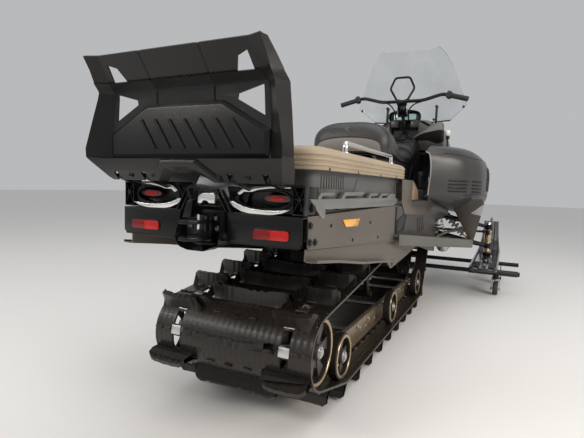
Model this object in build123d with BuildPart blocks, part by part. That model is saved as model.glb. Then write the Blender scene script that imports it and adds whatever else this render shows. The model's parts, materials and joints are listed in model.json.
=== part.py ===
"""Utility snowmobile on a ski dolly.

Frame: +Y forward, +X to the machine's right, +Z up, millimetres.
The origin is on the floor, under the middle of the whole machine.
"""
import os
from math import atan2, cos, hypot, pi, radians, sin, sqrt

from build123d import *

os.makedirs("parts", exist_ok=True)

SIDES = (("left", -1), ("right", 1))
SEAT_GAP = 0.3            # gap between pieces that rest on each other
RUN_FIT = 0.05            # radial clearance of a shaft in its bore

# Track: belt, lugs and the wheels that it runs round
belt_half = 250.0
belt_thick = 7.0
lug_height = 44.0
lug_rows = 54             # rows of lugs round the loop, outer pair and centre in turn
lug_base = 26.0           # thickness of a lug where it leaves the belt
lug_tip = 14.0
lug_split = 84.0          # half-width of the centre lugs
lug_gap = 8.0             # bare belt between centre and outer lugs
lug_start = 1.92          # rows from the loop's start to the first lug
idler_r = 95.0
bogie_r = 73.0
sprocket_r = 88.0
belt_floor = lug_height + belt_thick          # height of the belt's inner face on the floor
idler_y, idler_z = -1268.0, 203.0             # rear axle, raised by the hinged rail ends
bogie_rear_y, bogie_mid_y, bogie_front_y = -1069.0, -415.0, 172.0
bogie_z = belt_floor + bogie_r
drive_y, drive_z = 335.0, 400.0

# Tunnel, the folded aluminium channel over the track
tunnel_half = 266.0
tunnel_wall = 3.0
tunnel_front_y = 505.0
tunnel_top_z = 578.0
flange_width = 24.0

# Rear end
bumper_y = -1475.0        # rear face of the bumper plates
bumper_deep = 24.0
tunnel_rear_y = bumper_y + bumper_deep + 1.0
bumper_half = 258.0
bumper_inner = 67.0
bumper_low_z, bumper_high_z = 510.0, 580.0
reflector_in, reflector_out = 138.0, 231.0
reflector_z, reflector_tall = 534.0, 24.0
lamp_z, lamp_in, lamp_out, lamp_tall = 619.0, 152.0, 226.0, 26.0
pod_half, pod_high_z = 262.0, 662.0
pod_in, pod_deep = 72.0, 92.0

# Hitch in the middle of the bumper
hitch_half = 44.0
hitch_pin_r = 8.5
hitch_low_z, hitch_high_z = 487.0, 592.0
hitch_reach = 78.0        # how far the jaw stands out behind the bumper face

# Snow flap, stored raised; it turns about a rod behind the lamps
flap_axis_y, flap_axis_z = bumper_y - 55.0, 660.0
flap_wall = 6.0
flap_rod_r = 7.0
flap_ear_r = 12.0         # rounded end of the ears that carry the rod
flap_stand_off = 18.0     # rod centre to the flap's near face
rod_from = 74.0           # the rod is left out behind the notch, where the tow pin drops in

# Rear deck: rack tray, storage box, deck and rails
rack_half, rack_rear_y, rack_front_y = 262.0, tunnel_rear_y + 70.0, -560.0
rack_thick = 26.0
box_half, box_rear_y, box_front_y = 244.0, rack_rear_y + 5.0, -470.0
box_wall = 4.0
deck_half, deck_rear_y, deck_front_y = 272.0, box_rear_y - 45.0, box_front_y + 18.0
deck_low_z, deck_high_z = 684.0, 742.0
deck_skin = 6.0
rail_r = 8.0

# Seat and console
seat_rear_y, seat_front_y = deck_front_y + 6.0, 500.0
seat_low_z = 792.0
seat_half_rear, seat_half_front = 196.0, 112.0

# Steering
bar_y, bar_z = 603.0, 1208.0
bar_reach = 400.0
bar_r = 11.0
grip_r = 16.5
column_tilt = 30.0        # degrees that the column leans back from upright
column_r = 12.0
steer_limit = 30.0

# Skis, spindles and arms
ski_x = 550.0             # half the stance
ski_half = 80.0
spindle_y = 975.0
ski_tail_y, ski_tip_y = 505.0, 1638.2
kingpin_r = 13.0
eye_low_z, eye_high_z = 268.0, 398.0         # middle of the arms' outer eyes
eye_tall = 34.0
eye_gap = 5.0             # between an eye and the spindle's shoulders
tie_arm = 90.0            # kingpin to tie rod end

# Dolly under the skis
dolly_rear_y, dolly_front_y = 700.0, 1056.0
dolly_half = 752.0
caster_x = dolly_half - 132.0
dolly_tube_r = 14.0
sleeve_r = 19.0
ski_rest_z = 154.0        # top of the sleeves and of the front tube
caster_r, caster_wide = 37.5, 30.0
caster_trail = 26.0

# Running boards
board_rear_y, board_front_y = -620.0, 420.0
board_rear_x, board_front_x = 276.0, 488.0
board_rear_z, board_front_z = 455.0, 345.0
board_thick = 4.0
board_edge_tall = 34.0


def save(part, name):
    """Label a finished piece and write its file."""
    part.label = name
    export_step(part, f"parts/{name}.step")


def belt_runs(circles):
    """Straight runs and wraps of a belt round circles (y, z, radius) listed anticlockwise."""
    count = len(circles)
    normals = []
    for index, (ay, az, ar) in enumerate(circles):
        by, bz, br = circles[(index + 1) % count]
        span = hypot(by - ay, bz - az)
        dy, dz = (by - ay) / span, (bz - az) / span
        lean = (ar - br) / span
        side = sqrt(1 - lean * lean)
        normals.append((dz * side + dy * lean, -dy * side + dz * lean))
    runs = []
    for index, (ay, az, ar) in enumerate(circles):
        by, bz, br = circles[(index + 1) % count]
        ny, nz = normals[index]
        runs.append(("line", (ay + ar * ny, az + ar * nz), (by + br * ny, bz + br * nz), (ny, nz)))
        my, mz = normals[(index + 1) % count]
        turn_from, turn_to = atan2(nz, ny), atan2(mz, my)
        if turn_to < turn_from:
            turn_to += 2 * pi
        runs.append(("arc", (by, bz), br, (turn_from, turn_to)))
    return runs


def run_length(run):
    """Length of one straight run or wrap."""
    if run[0] == "line":
        return hypot(run[2][0] - run[1][0], run[2][1] - run[1][1])
    return run[2] * (run[3][1] - run[3][0])


def belt_place(runs, distance):
    """Point on the belt at a distance along it, with its outward normal."""
    for run in runs:
        length = run_length(run)
        if distance > length:
            distance -= length
            continue
        share = distance / length
        if run[0] == "line":
            (ay, az), (by, bz) = run[1], run[2]
            return (ay + (by - ay) * share, az + (bz - az) * share), run[3]
        angle = run[3][0] + (run[3][1] - run[3][0]) * share
        ny, nz = cos(angle), sin(angle)
        return (run[1][0] + run[2] * ny, run[1][1] + run[2] * nz), (ny, nz)
    return belt_place(runs, 0.0)


def draw_runs(runs):
    """Draw a belt's outline in the active line block."""
    for run in runs:
        if run[0] == "line":
            Line(run[1], run[2])
            continue
        (cy, cz), radius, (first, last) = run[1], run[2], run[3]
        middle = (first + last) / 2
        stops = [(cy + radius * cos(a), cz + radius * sin(a)) for a in (first, middle, last)]
        ThreePointArc(*stops)


def wheel_path(grow):
    """The four turning circles of the track, each grown by a thickness."""
    return (
        (idler_y, idler_z, idler_r + grow),
        (bogie_rear_y, bogie_z, bogie_r + grow),
        (bogie_front_y, bogie_z, bogie_r + grow),
        (drive_y, drive_z, sprocket_r + grow),
    )


# Track: one closed rubber loop with three staggered rows of lugs
inner_runs = belt_runs(wheel_path(0))
outer_runs = belt_runs(wheel_path(belt_thick))
loop_length = sum(run_length(run) for run in outer_runs)
lug_step = loop_length / lug_rows
lug_root = 4.0            # how deep a lug is rooted in the belt


def lug_outline(row):
    """Corners of one lug's side view."""
    (py, pz), (ny, nz) = belt_place(outer_runs, (row + lug_start) * lug_step % loop_length)
    ty, tz = -nz, ny
    corners = ((-lug_base / 2, -lug_root), (lug_base / 2, -lug_root), (lug_base / 2, 2),
               (lug_tip / 2, lug_height), (-lug_tip / 2, lug_height), (-lug_base / 2, 2))
    return [(py + along * ty + out * ny, pz + along * tz + out * nz) for along, out in corners]


bands = (
    # from x, to x, first row of lugs on this band
    (-belt_half, -lug_split - lug_gap, 1),
    (-lug_split, lug_split, 0),
    (lug_split + lug_gap, belt_half, 1),
)
with BuildPart() as track:
    with BuildSketch(Plane.YZ):
        with BuildLine():
            draw_runs(outer_runs)
        make_face()
        with BuildLine():
            draw_runs(inner_runs)
        make_face(mode=Mode.SUBTRACT)
    extrude(amount=belt_half, both=True)
    for start, end, first_row in bands:
        with BuildSketch(Plane.YZ.offset(start)):
            for row in range(first_row, lug_rows, 2):
                with BuildLine():
                    Polyline(*lug_outline(row), close=True)
                make_face()
        extrude(amount=end - start)
save(track.part, "track")

# Wheels inside the track: rim, web with lightening holes, hub
axle_r = 10.0
hub_r = 22.0
rim_deep = 15.0
wheel_wide = 30.0
web_half = 4.0
wheel_rows = (
    # y, z, radius, holes in the web, x of the pair
    (idler_y, idler_z, idler_r, 6, 218),
    (idler_y, idler_z, idler_r, 6, 96),
    (bogie_rear_y, bogie_z, bogie_r, 5, 218),
    (bogie_mid_y, bogie_z, bogie_r, 5, 218),
    (bogie_front_y, bogie_z, bogie_r, 5, 218),
)
with BuildPart() as track_wheels:
    for wheel_y, wheel_z, radius, holes, offset in wheel_rows:
        outer = radius - SEAT_GAP
        web_mid = (outer - rim_deep + hub_r) / 2
        for sign in (-1, 1):
            middle = Plane(origin=(sign * offset, wheel_y, wheel_z), x_dir=(0, 1, 0), z_dir=(1, 0, 0))
            with BuildSketch(middle):
                Circle(outer)
                Circle(outer - rim_deep, mode=Mode.SUBTRACT)
                Circle(hub_r)
                Circle(axle_r + SEAT_GAP, mode=Mode.SUBTRACT)
            extrude(amount=wheel_wide / 2, both=True)
            with BuildSketch(middle):
                Circle(outer - rim_deep + 1)
                Circle(hub_r - 1, mode=Mode.SUBTRACT)
                with PolarLocations(web_mid, round(holes)):
                    Circle((outer - rim_deep - hub_r) * 0.36, mode=Mode.SUBTRACT)
            extrude(amount=web_half, both=True)
save(track_wheels.part, "track_wheels")

# Drive axle: hexagon shaft with three toothed sprockets
sprocket_teeth = 9
sprocket_wide = 28.0
axle_half = tunnel_half - tunnel_wall - SEAT_GAP
with BuildPart() as drive_axle:
    with BuildSketch(Plane.YZ):
        with Locations((drive_y, drive_z)):
            RegularPolygon(19, 6)
    extrude(amount=axle_half, both=True)
    for offset in (-150.0, 0.0, 150.0):
        with BuildSketch(Plane.YZ.offset(offset - sprocket_wide / 2)):
            with Locations((drive_y, drive_z)):
                Circle(sprocket_r - 12)
                with PolarLocations(sprocket_r - 10, sprocket_teeth):
                    Circle(9.5)
        extrude(amount=sprocket_wide)
save(drive_axle.part, "drive_axle")

# Slide rails with their cross shafts; the rear ends are swung up
rail_x, rail_wide, rail_tall = 165.0, 18.0, 62.0
rail_floor = belt_floor + SEAT_GAP
shaft_half = 238.0
foot_r = 10.0
shock_feet = ((-20.0, 118.0), (-800.0, 118.0))
with BuildPart() as slide_rails:
    for sign in (-1, 1):
        with BuildSketch(Plane.YZ.offset(sign * rail_x - rail_wide / 2)):
            with BuildLine():
                Polyline(
                    (bogie_rear_y + 20, rail_floor), (bogie_front_y - 40, rail_floor),
                    (bogie_front_y + 60, rail_floor + 60), (bogie_front_y + 40, rail_floor + 96),
                    (bogie_front_y - 60, rail_floor + rail_tall + 20),
                    (bogie_mid_y, rail_floor + rail_tall + 20),
                    (bogie_rear_y + 60, rail_floor + rail_tall + 24),
                    (idler_y - 18, idler_z + 26), (idler_y - 24, idler_z - 24),
                    (bogie_rear_y - 30, rail_floor + 26), close=True)
            make_face()
            for slot_y in (-960, -655, -530, -270, -145, 60):
                with Locations((slot_y, rail_floor + 40)):
                    SlotOverall(84, 24, mode=Mode.SUBTRACT)
        extrude(amount=rail_wide)
    for shaft_y, shaft_z in ((idler_y, idler_z), (bogie_rear_y, bogie_z), (bogie_mid_y, bogie_z),
                             (bogie_front_y, bogie_z)):
        with BuildSketch(Plane.YZ):
            with Locations((shaft_y, shaft_z)):
                Circle(axle_r)
        extrude(amount=shaft_half, both=True)
    for foot_y, foot_z in shock_feet:
        with BuildSketch(Plane.YZ):
            with Locations((foot_y, foot_z)):
                Circle(foot_r)
        extrude(amount=rail_x, both=True)
save(slide_rails.part, "slide_rails")

# Suspension arms between the rails and the tunnel sides
arm_tube_r = 13.0
arm_rows = (
    # rail end y, z, tunnel end y, z, half spread of the legs
    (118.0, 184.0, -150.0, 395.0, 128.0),
    (-510.0, 190.0, -600.0, 350.0, 140.0),
)
with BuildPart() as suspension_arms:
    for low_y, low_z, high_y, high_z, spread in arm_rows:
        for sign in (-1, 1):
            with BuildLine() as leg:
                Line((sign * spread, low_y, low_z), (sign * spread, high_y, high_z))
            with BuildSketch(Plane(origin=leg.line @ 0, z_dir=leg.line % 0)):
                Circle(arm_tube_r - 1.5)
            sweep(path=leg.line)
        with BuildSketch(Plane.YZ):
            with Locations((high_y, high_z)):
                Circle(arm_tube_r)
        extrude(amount=axle_half, both=True)
        with BuildSketch(Plane.YZ):
            with Locations((low_y, low_z)):
                Circle(arm_tube_r)
        extrude(amount=rail_x - rail_wide / 2 - SEAT_GAP, both=True)
save(suspension_arms.part, "suspension_arms")

# Rear shock absorbers: rod, spring seats and spring, from a rail shaft to an arm's cross tube
with BuildPart() as rear_shocks:
    for (foot_y, foot_z), (_, _, head_y, head_z, _) in zip(shock_feet, arm_rows):
        span = hypot(head_y - foot_y, head_z - foot_z)
        along = ((head_y - foot_y) / span, (head_z - foot_z) / span)
        first, last = foot_r + SEAT_GAP, span - arm_tube_r - SEAT_GAP
        for radius, start, end in ((9, first, last), (26, 36, 46), (31, 46, 0.7 * span),
                                   (26, 0.7 * span, 0.7 * span + 10), (17, 0.7 * span, last - 22)):
            origin = (0, foot_y + start * along[0], foot_z + start * along[1])
            with BuildSketch(Plane(origin=origin, z_dir=(0, along[0], along[1]))):
                Circle(radius)
            extrude(amount=end - start)
save(rear_shocks.part, "rear_shocks")

# Tunnel: top, two sides with outward flanges and a front wall
tunnel_nose_z = 262.0     # lower edge of the front wall
side_low_rear_z, side_low_board_z = 478.0, 360.0
with BuildPart() as tunnel:
    with BuildSketch(Plane.YZ.offset(tunnel_half - tunnel_wall)):
        with BuildLine():
            Polyline(
                (tunnel_rear_y, tunnel_top_z), (tunnel_front_y, tunnel_top_z),
                (tunnel_front_y, tunnel_nose_z), (250.0, 300.0), (-90.0, 362.0),
                (-540.0, 330.0), (board_rear_y, 330.0), (-700.0, 371.0),
                (tunnel_rear_y, side_low_rear_z), close=True)
        make_face()
    extrude(amount=tunnel_wall)
    with BuildSketch(Plane.YZ.offset(tunnel_half - tunnel_wall)):
        with BuildLine():
            Polyline(
                (tunnel_rear_y, side_low_rear_z), (-700.0, 371.0),
                (-700.0, 371.0 + tunnel_wall), (tunnel_rear_y, side_low_rear_z + tunnel_wall), close=True)
        make_face()
    extrude(amount=tunnel_wall + flange_width)
    mirror(about=Plane.YZ)
    with BuildSketch(Plane.XY.offset(tunnel_top_z - tunnel_wall)):
        with Locations((0, (tunnel_rear_y + tunnel_front_y) / 2)):
            Rectangle(2 * tunnel_half, tunnel_front_y - tunnel_rear_y)
    extrude(amount=tunnel_wall)
    with BuildSketch(Plane.XZ.offset(-tunnel_front_y)):
        with Locations((0, (tunnel_nose_z + tunnel_top_z) / 2)):
            Rectangle(2 * tunnel_half, tunnel_top_z - tunnel_nose_z)
    extrude(amount=tunnel_wall)
save(tunnel.part, "tunnel")

# Rear bumper: two plates, the lamp pods above them and the ears for the flap's rod
pod_low_z = tunnel_top_z + SEAT_GAP
ear_wide = 8.0
ear_places = (118.0, 206.0)
bumper_back = Plane.XZ.offset(-bumper_y)
reflector_mid = (reflector_in + reflector_out) / 2
lamp_mid = (lamp_in + lamp_out) / 2
reflector_recess, lamp_recess = 6.0, 14.0
with BuildPart() as rear_bumper:
    with BuildSketch(bumper_back):
        with BuildLine():
            Polyline(
                (bumper_inner, bumper_low_z + 4), (bumper_half - 14, bumper_low_z),
                (bumper_half, bumper_low_z + 14), (bumper_half, bumper_high_z),
                (bumper_inner, bumper_high_z), close=True)
        make_face()
    extrude(amount=-bumper_deep)
    with BuildSketch(bumper_back):
        with BuildLine():
            Polyline(
                (pod_in, pod_low_z), (pod_half, pod_low_z), (pod_half, pod_high_z - 18),
                (pod_half - 22, pod_high_z), (pod_in + 34, pod_high_z), (pod_in, pod_high_z - 38),
                close=True)
        make_face()
    extrude(amount=-pod_deep)
    with BuildSketch(bumper_back):
        with Locations((reflector_mid, reflector_z)):
            RectangleRounded(reflector_out - reflector_in + 10, reflector_tall + 10, 9)
    extrude(amount=-reflector_recess, mode=Mode.SUBTRACT)
    with BuildSketch(bumper_back):
        with Locations((lamp_mid, lamp_z)):
            SlotOverall(lamp_out - lamp_in + 12, lamp_tall + 12)
    extrude(amount=-lamp_recess, mode=Mode.SUBTRACT)
    for place in ear_places:
        with BuildSketch(Plane.YZ.offset(place)):
            with Locations((flap_axis_y, flap_axis_z)):
                Circle(flap_ear_r)
            with BuildLine():
                Polyline(
                    (flap_axis_y, flap_axis_z + flap_ear_r), (bumper_y + 4, flap_axis_z - 2),
                    (bumper_y + 4, flap_axis_z - 20), (flap_axis_y, flap_axis_z - flap_ear_r), close=True)
            make_face()
            with Locations((flap_axis_y, flap_axis_z)):
                Circle(flap_rod_r + RUN_FIT, mode=Mode.SUBTRACT)
        extrude(amount=ear_wide)
    mirror(about=Plane.YZ)
    with BuildSketch(Plane.XZ.offset(-bumper_y - bumper_deep)):
        with Locations((0, (bumper_low_z + bumper_high_z) / 2)):
            Rectangle(2 * axle_half, 46)
    extrude(amount=-6)
save(rear_bumper.part, "rear_bumper")

# Red lenses: two reflectors on the plates, two oval lamps in the pods
with BuildPart() as rear_lenses:
    with BuildSketch(Plane.XZ.offset(-bumper_y - reflector_recess + SEAT_GAP)):
        with Locations((reflector_mid, reflector_z)):
            RectangleRounded(reflector_out - reflector_in, reflector_tall, 7)
    extrude(amount=11)
    with BuildSketch(Plane.XZ.offset(-bumper_y - lamp_recess + SEAT_GAP)):
        with Locations((lamp_mid, lamp_z)):
            SlotOverall(lamp_out - lamp_in, lamp_tall)
    extrude(amount=18)
    mirror(about=Plane.YZ)
save(rear_lenses.part, "rear_lenses")

# Hitch: guard plate, two jaws with a pin bore, and the latch loop
jaw_thick = 9.0
jaw_gap = 30.0
jaw_mid_z = 536.0
jaw_half = 27.0
bore_y = bumper_y - hitch_reach + 26
with BuildPart() as hitch:
    with BuildSketch(bumper_back):
        with BuildLine():
            Polyline(
                (-hitch_half, hitch_high_z), (-hitch_half, hitch_low_z + 22), (-24, hitch_low_z),
                (24, hitch_low_z), (hitch_half, hitch_low_z + 22), (hitch_half, hitch_high_z), close=True)
        make_face()
    extrude(amount=SEAT_GAP - bumper_deep)
    for level in (jaw_mid_z - jaw_gap / 2 - jaw_thick, jaw_mid_z + jaw_gap / 2):
        with BuildSketch(Plane.XY.offset(level)):
            with BuildLine():
                Polyline((-jaw_half, bumper_y + 3), (-jaw_half, bore_y), (-14, bore_y - 24),
                         (14, bore_y - 24), (jaw_half, bore_y), (jaw_half, bumper_y + 3), close=True)
            make_face()
            with Locations((0, bore_y)):
                Circle(hitch_pin_r, mode=Mode.SUBTRACT)
        extrude(amount=jaw_thick)
    with BuildLine() as loop:
        FilletPolyline((-13, bumper_y + 8, hitch_high_z - 4), (-13, bumper_y - 8, hitch_high_z + 42),
                       (13, bumper_y - 8, hitch_high_z + 42), (13, bumper_y + 8, hitch_high_z - 4),
                       radius=11)
    with BuildSketch(Plane(origin=loop.line @ 0, z_dir=loop.line % 0)):
        Circle(4)
    sweep(path=loop.line)
save(hitch.part, "hitch")

# Snow flap: a moulded panel with swept wings, leaning back above its fold
flap_low_z, flap_fold_z, flap_top_z = 650.0, 850.0, 926.0
flap_lean = 64.0          # how far the top stands behind the fold
flap_flat = 232.0         # half-width of the flat middle
flap_wide_half, flap_wide_z = 290.0, 721.0
wing_back = 30.0          # how far the wings' edges stand behind the middle
near_y = flap_axis_y - flap_stand_off
strip = (
    (-flap_wide_half, near_y - wing_back), (-flap_flat, near_y), (flap_flat, near_y),
    (flap_wide_half, near_y - wing_back), (flap_wide_half, near_y - wing_back - flap_wall),
    (flap_flat, near_y - flap_wall), (-flap_flat, near_y - flap_wall),
    (-flap_wide_half, near_y - wing_back - flap_wall))
windows = (
    # outer low, inner low, inner high, outer high corners
    ((208, 787), (141, 824), (141, 834), (202, 849)),
    ((193, 871), (154, 872), (162, 901), (189, 906)),
)
notch_half_low, notch_half_high, notch_top_z = 66.0, 28.0, 682.0
with BuildPart() as snow_flap:
    with BuildSketch(Plane.XY.offset(flap_low_z)):
        with BuildLine():
            Polyline(*strip, close=True)
        make_face()
    extrude(amount=flap_fold_z - flap_low_z)
    with BuildSketch(Plane.XY.offset(flap_fold_z)) as fold:
        with BuildLine():
            Polyline(*strip, close=True)
        make_face()
    extrude(amount=hypot(flap_lean, flap_top_z - flap_fold_z), dir=(0, -flap_lean, flap_top_z - flap_fold_z))
    with BuildSketch(Plane.XZ.offset(-near_y - 140)):
        with BuildLine():
            Polyline(
                (-272, flap_low_z), (-notch_half_low, flap_low_z), (-notch_half_high, notch_top_z),
                (notch_half_high, notch_top_z), (notch_half_low, flap_low_z), (272, flap_low_z),
                (flap_wide_half, flap_wide_z), (266, 839), (246, flap_top_z), (-246, flap_top_z),
                (-266, 839), (-flap_wide_half, flap_wide_z), close=True)
        make_face()
        for corners in windows:
            for sign in (-1, 1):
                with BuildLine():
                    Polyline(*[(sign * x, z) for x, z in corners], close=True)
                make_face(mode=Mode.SUBTRACT)
        for place in ear_places:
            for sign in (-1, 1):
                with Locations((sign * (place + ear_wide / 2), flap_low_z)):
                    Rectangle(ear_wide + 12, 2 * (flap_axis_z - flap_low_z + 9), mode=Mode.SUBTRACT)
    extrude(amount=300, mode=Mode.INTERSECT)
    # the rod, in two lengths beside the notch, and the ribs that tie it to the panel
    for sign in (-1, 1):
        with BuildSketch(Plane.YZ.offset(sign * rod_from)):
            with Locations((flap_axis_y, flap_axis_z)):
                Circle(flap_rod_r)
        extrude(amount=sign * (ear_places[1] + ear_wide + 10 - rod_from))
    for rib_x in (-165.0, -92.0, 92.0, 165.0):
        with BuildSketch(Plane.YZ.offset(rib_x - 6)):
            with BuildLine():
                Polyline((flap_axis_y + 4, flap_axis_z - 4), (flap_axis_y + 4, flap_axis_z + 5),
                         (near_y - 2, flap_axis_z + 46), (near_y - 2, flap_axis_z - 4), close=True)
            make_face()
        extrude(amount=12)
save(snow_flap.part, "snow_flap")

# Rack tray on the tunnel, with hook loops cut along both edges
rack_low_z = tunnel_top_z + SEAT_GAP
rack_high_z = rack_low_z + rack_thick
loop_pitch = (rack_front_y - rack_rear_y - 140) / 4
with BuildPart() as rack_tray:
    with BuildSketch(Plane.XY.offset(rack_low_z)):
        with Locations((0, (rack_rear_y + rack_front_y) / 2)):
            RectangleRounded(2 * rack_half, rack_front_y - rack_rear_y, 14)
    extrude(amount=rack_thick)
    with BuildSketch(Plane.XY.offset(rack_low_z)):
        for number in range(5):
            for sign in (-1, 1):
                with Locations((sign * (rack_half - 8), rack_rear_y + 70 + number * loop_pitch)):
                    SlotOverall(70, 8, rotation=90, mode=Mode.ADD)
    extrude(amount=rack_thick, mode=Mode.SUBTRACT)
save(rack_tray.part, "rack_tray")

# Storage tub under the deck, open at the top
box_low_z = rack_high_z + SEAT_GAP
deck_under_z = deck_high_z - deck_skin
box_high_z = deck_under_z - SEAT_GAP
box_mid_y = (box_rear_y + box_front_y) / 2
box_long = box_front_y - box_rear_y
with BuildPart() as storage_tub:
    with BuildSketch(Plane.XY.offset(box_low_z)):
        with Locations((0, box_mid_y)):
            RectangleRounded(2 * box_half, box_long, 22)
    extrude(amount=box_high_z - box_low_z)
    with BuildSketch(Plane.XY.offset(box_low_z + box_wall)):
        with Locations((0, box_mid_y)):
            RectangleRounded(2 * (box_half - box_wall), box_long - 2 * box_wall, 18)
    extrude(amount=box_high_z - box_low_z, mode=Mode.SUBTRACT)
save(storage_tub.part, "storage_tub")

# Deck: a ribbed moulded cover whose rim hangs round the tub
deck_mid_y = (deck_rear_y + deck_front_y) / 2
deck_long = deck_front_y - deck_rear_y
deck_bolt_r = 5.5
deck_bolt_x, deck_bolt_y = 180.0, 350.0
pad_half, pad_tall = 196.0, 2.0
with BuildPart() as cargo_deck:
    with BuildSketch(Plane.XY.offset(deck_low_z)):
        with Locations((0, deck_mid_y)):
            RectangleRounded(2 * deck_half, deck_long, 30)
    extrude(amount=deck_high_z - deck_low_z)
    with BuildSketch(Plane.XY.offset(deck_high_z)):
        with Locations((0, deck_mid_y)):
            RectangleRounded(2 * pad_half, deck_long - 60, 20)
    extrude(amount=pad_tall)
    with BuildSketch(Plane.XY.offset(deck_low_z)):
        with Locations((0, box_mid_y)):
            Rectangle(2 * (box_half + SEAT_GAP), box_long + 2 * SEAT_GAP)
    extrude(amount=deck_under_z - deck_low_z, mode=Mode.SUBTRACT)
    for groove_z in (deck_low_z + 16, deck_low_z + 34):
        with BuildSketch(Plane.XY.offset(groove_z)):
            with Locations((0, deck_mid_y)):
                RectangleRounded(2 * deck_half, deck_long, 30)
                RectangleRounded(2 * deck_half - 5, deck_long - 5, 27.5, mode=Mode.SUBTRACT)
        extrude(amount=4, mode=Mode.SUBTRACT)
    with BuildSketch(Plane.XY.offset(deck_under_z)):
        with Locations((0, deck_mid_y)):
            with GridLocations(2 * deck_bolt_x, 2 * deck_bolt_y, 2, 2):
                Circle(deck_bolt_r)
    extrude(amount=deck_skin + pad_tall, mode=Mode.SUBTRACT)
save(cargo_deck.part, "cargo_deck")

# Chrome rails on the deck: two hoops along the sides
hoop_x, hoop_high_z = 214.0, 776.0
hoop_rear_y, hoop_front_y = deck_rear_y + 330.0, deck_front_y - 58.0
with BuildPart() as deck_rails:
    for sign in (-1, 1):
        with BuildLine() as hoop:
            FilletPolyline(
                (sign * hoop_x, hoop_rear_y, deck_high_z + SEAT_GAP), (sign * hoop_x, hoop_rear_y, hoop_high_z),
                (sign * hoop_x, hoop_front_y, hoop_high_z),
                (sign * hoop_x, hoop_front_y, deck_high_z + SEAT_GAP), radius=22)
        with BuildSketch(Plane(origin=hoop.line @ 0, z_dir=hoop.line % 0)):
            Circle(rail_r)
        sweep(path=hoop.line)
save(deck_rails.part, "deck_rails")

# Seat: long cushion with a raised bolster at the back, narrower towards the tank
bolster_z, seat_high_z = 938.0, 862.0
with BuildPart() as seat:
    with BuildSketch(Plane.YZ):
        with BuildLine():
            Polyline(
                (seat_rear_y + 14, seat_low_z), (seat_rear_y, seat_low_z + 50),
                (seat_rear_y + 6, bolster_z - 40), (seat_rear_y + 40, bolster_z),
                (seat_rear_y + 110, bolster_z), (seat_rear_y + 190, seat_high_z + 8),
                (seat_rear_y + 320, seat_high_z - 6), (180, seat_high_z - 12), (seat_front_y - 70, seat_high_z + 10),
                (seat_front_y - 20, seat_high_z + 26), (seat_front_y - 20, seat_low_z), close=True)
        make_face()
    extrude(amount=seat_half_rear, both=True)
    with BuildSketch(Plane.XY.offset(seat_low_z)):
        with BuildLine():
            Polyline(
                (-seat_half_rear + 46, seat_rear_y), (seat_half_rear - 46, seat_rear_y),
                (seat_half_rear, seat_rear_y + 70), (seat_half_rear - 14, seat_rear_y + 260),
                (seat_half_front + 6, 150), (seat_half_front, seat_front_y), (-seat_half_front, seat_front_y),
                (-seat_half_front - 6, 150), (-seat_half_rear + 14, seat_rear_y + 260),
                (-seat_half_rear, seat_rear_y + 70), close=True)
        make_face()
    extrude(amount=200, mode=Mode.INTERSECT)
save(seat.part, "seat")

# Seat base and tank cover between the tunnel and the cushion
base_low_z = tunnel_top_z + SEAT_GAP
console_rear_y, console_front_y = seat_front_y - 20 + SEAT_GAP, 690.0
with BuildPart() as seat_base:
    with BuildSketch(Plane.YZ):
        with BuildLine():
            Polyline(
                (box_front_y + 34, base_low_z), (box_front_y + 34, seat_low_z - SEAT_GAP),
                (console_rear_y, seat_low_z - SEAT_GAP), (console_rear_y, 900.0),
                (console_rear_y + 60, 950.0), (console_front_y - 60, 992.0), (console_front_y, 940.0),
                (console_front_y, base_low_z), close=True)
        make_face()
    extrude(amount=seat_half_front + 30, both=True)
    with BuildSketch(Plane.XY.offset(base_low_z)):
        with BuildLine():
            Polyline((-120, box_front_y), (120, box_front_y), (seat_half_front + 26, -100),
                     (seat_half_front - 4, 480), (seat_half_front + 4, console_front_y),
                     (-seat_half_front - 4, console_front_y), (-seat_half_front + 4, 480),
                     (-seat_half_front - 26, -100), close=True)
        make_face()
    extrude(amount=500, mode=Mode.INTERSECT)
save(seat_base.part, "seat_base")

# Side panels: bulged shells in front of the rider's knees, open towards the engine
panel_wall = 6.0
panel_rows = (
    # y, inner edge x, half-width, top z, shoulder z, waist z, bottom z, bottom inner edge x
    (205.0, 232.0, 262.0, 852.0, 800.0, 646.0, 602.7, 237.2),
    (320.0, 240.0, 420.0, 892.0, 800.0, 620.0, 558.7, 289.2),
    (480.0, 250.0, 512.0, 906.0, 790.0, 600.0, 520.0, 330.0),
    (700.0, 262.0, 540.0, 892.0, 770.0, 590.0, 498.0, 392.0),
    (960.0, 300.0, 506.0, 850.0, 740.0, 580.0, 486.0, 400.0),
    (1240.0, 300.0, 388.0, 786.0, 700.0, 570.0, 500.0, 300.0),
    (1500.0, 196.0, 250.0, 670.0, 640.0, 580.0, 540.0, 196.0),
)
for side, sign in SIDES:
    with BuildPart() as side_panel:
        for y, top_x, wide, top_z, shoulder_z, waist_z, low_z, low_x in panel_rows:
            shoulder_x = top_x + 0.72 * (wide - top_x)
            outer = [(top_x, top_z), (shoulder_x, top_z - 22), (wide, shoulder_z), (wide - 6, waist_z),
                     (low_x + 0.4 * (wide - low_x), low_z), (low_x, low_z)]
            inner = [(top_x, top_z - panel_wall), (shoulder_x - 4, top_z - 22 - panel_wall),
                     (wide - panel_wall, shoulder_z - 3), (wide - 6 - panel_wall, waist_z + 3),
                     (low_x + 0.4 * (wide - low_x) - 3, low_z + panel_wall), (low_x, low_z + panel_wall)]
            with BuildSketch(Plane.XZ.offset(-y)):
                with BuildLine():
                    Polyline(*[(sign * x, z) for x, z in outer + inner[::-1]], close=True)
                make_face()
        loft(ruled=True)
    save(side_panel.part, f"side_panel_{side}")

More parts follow.
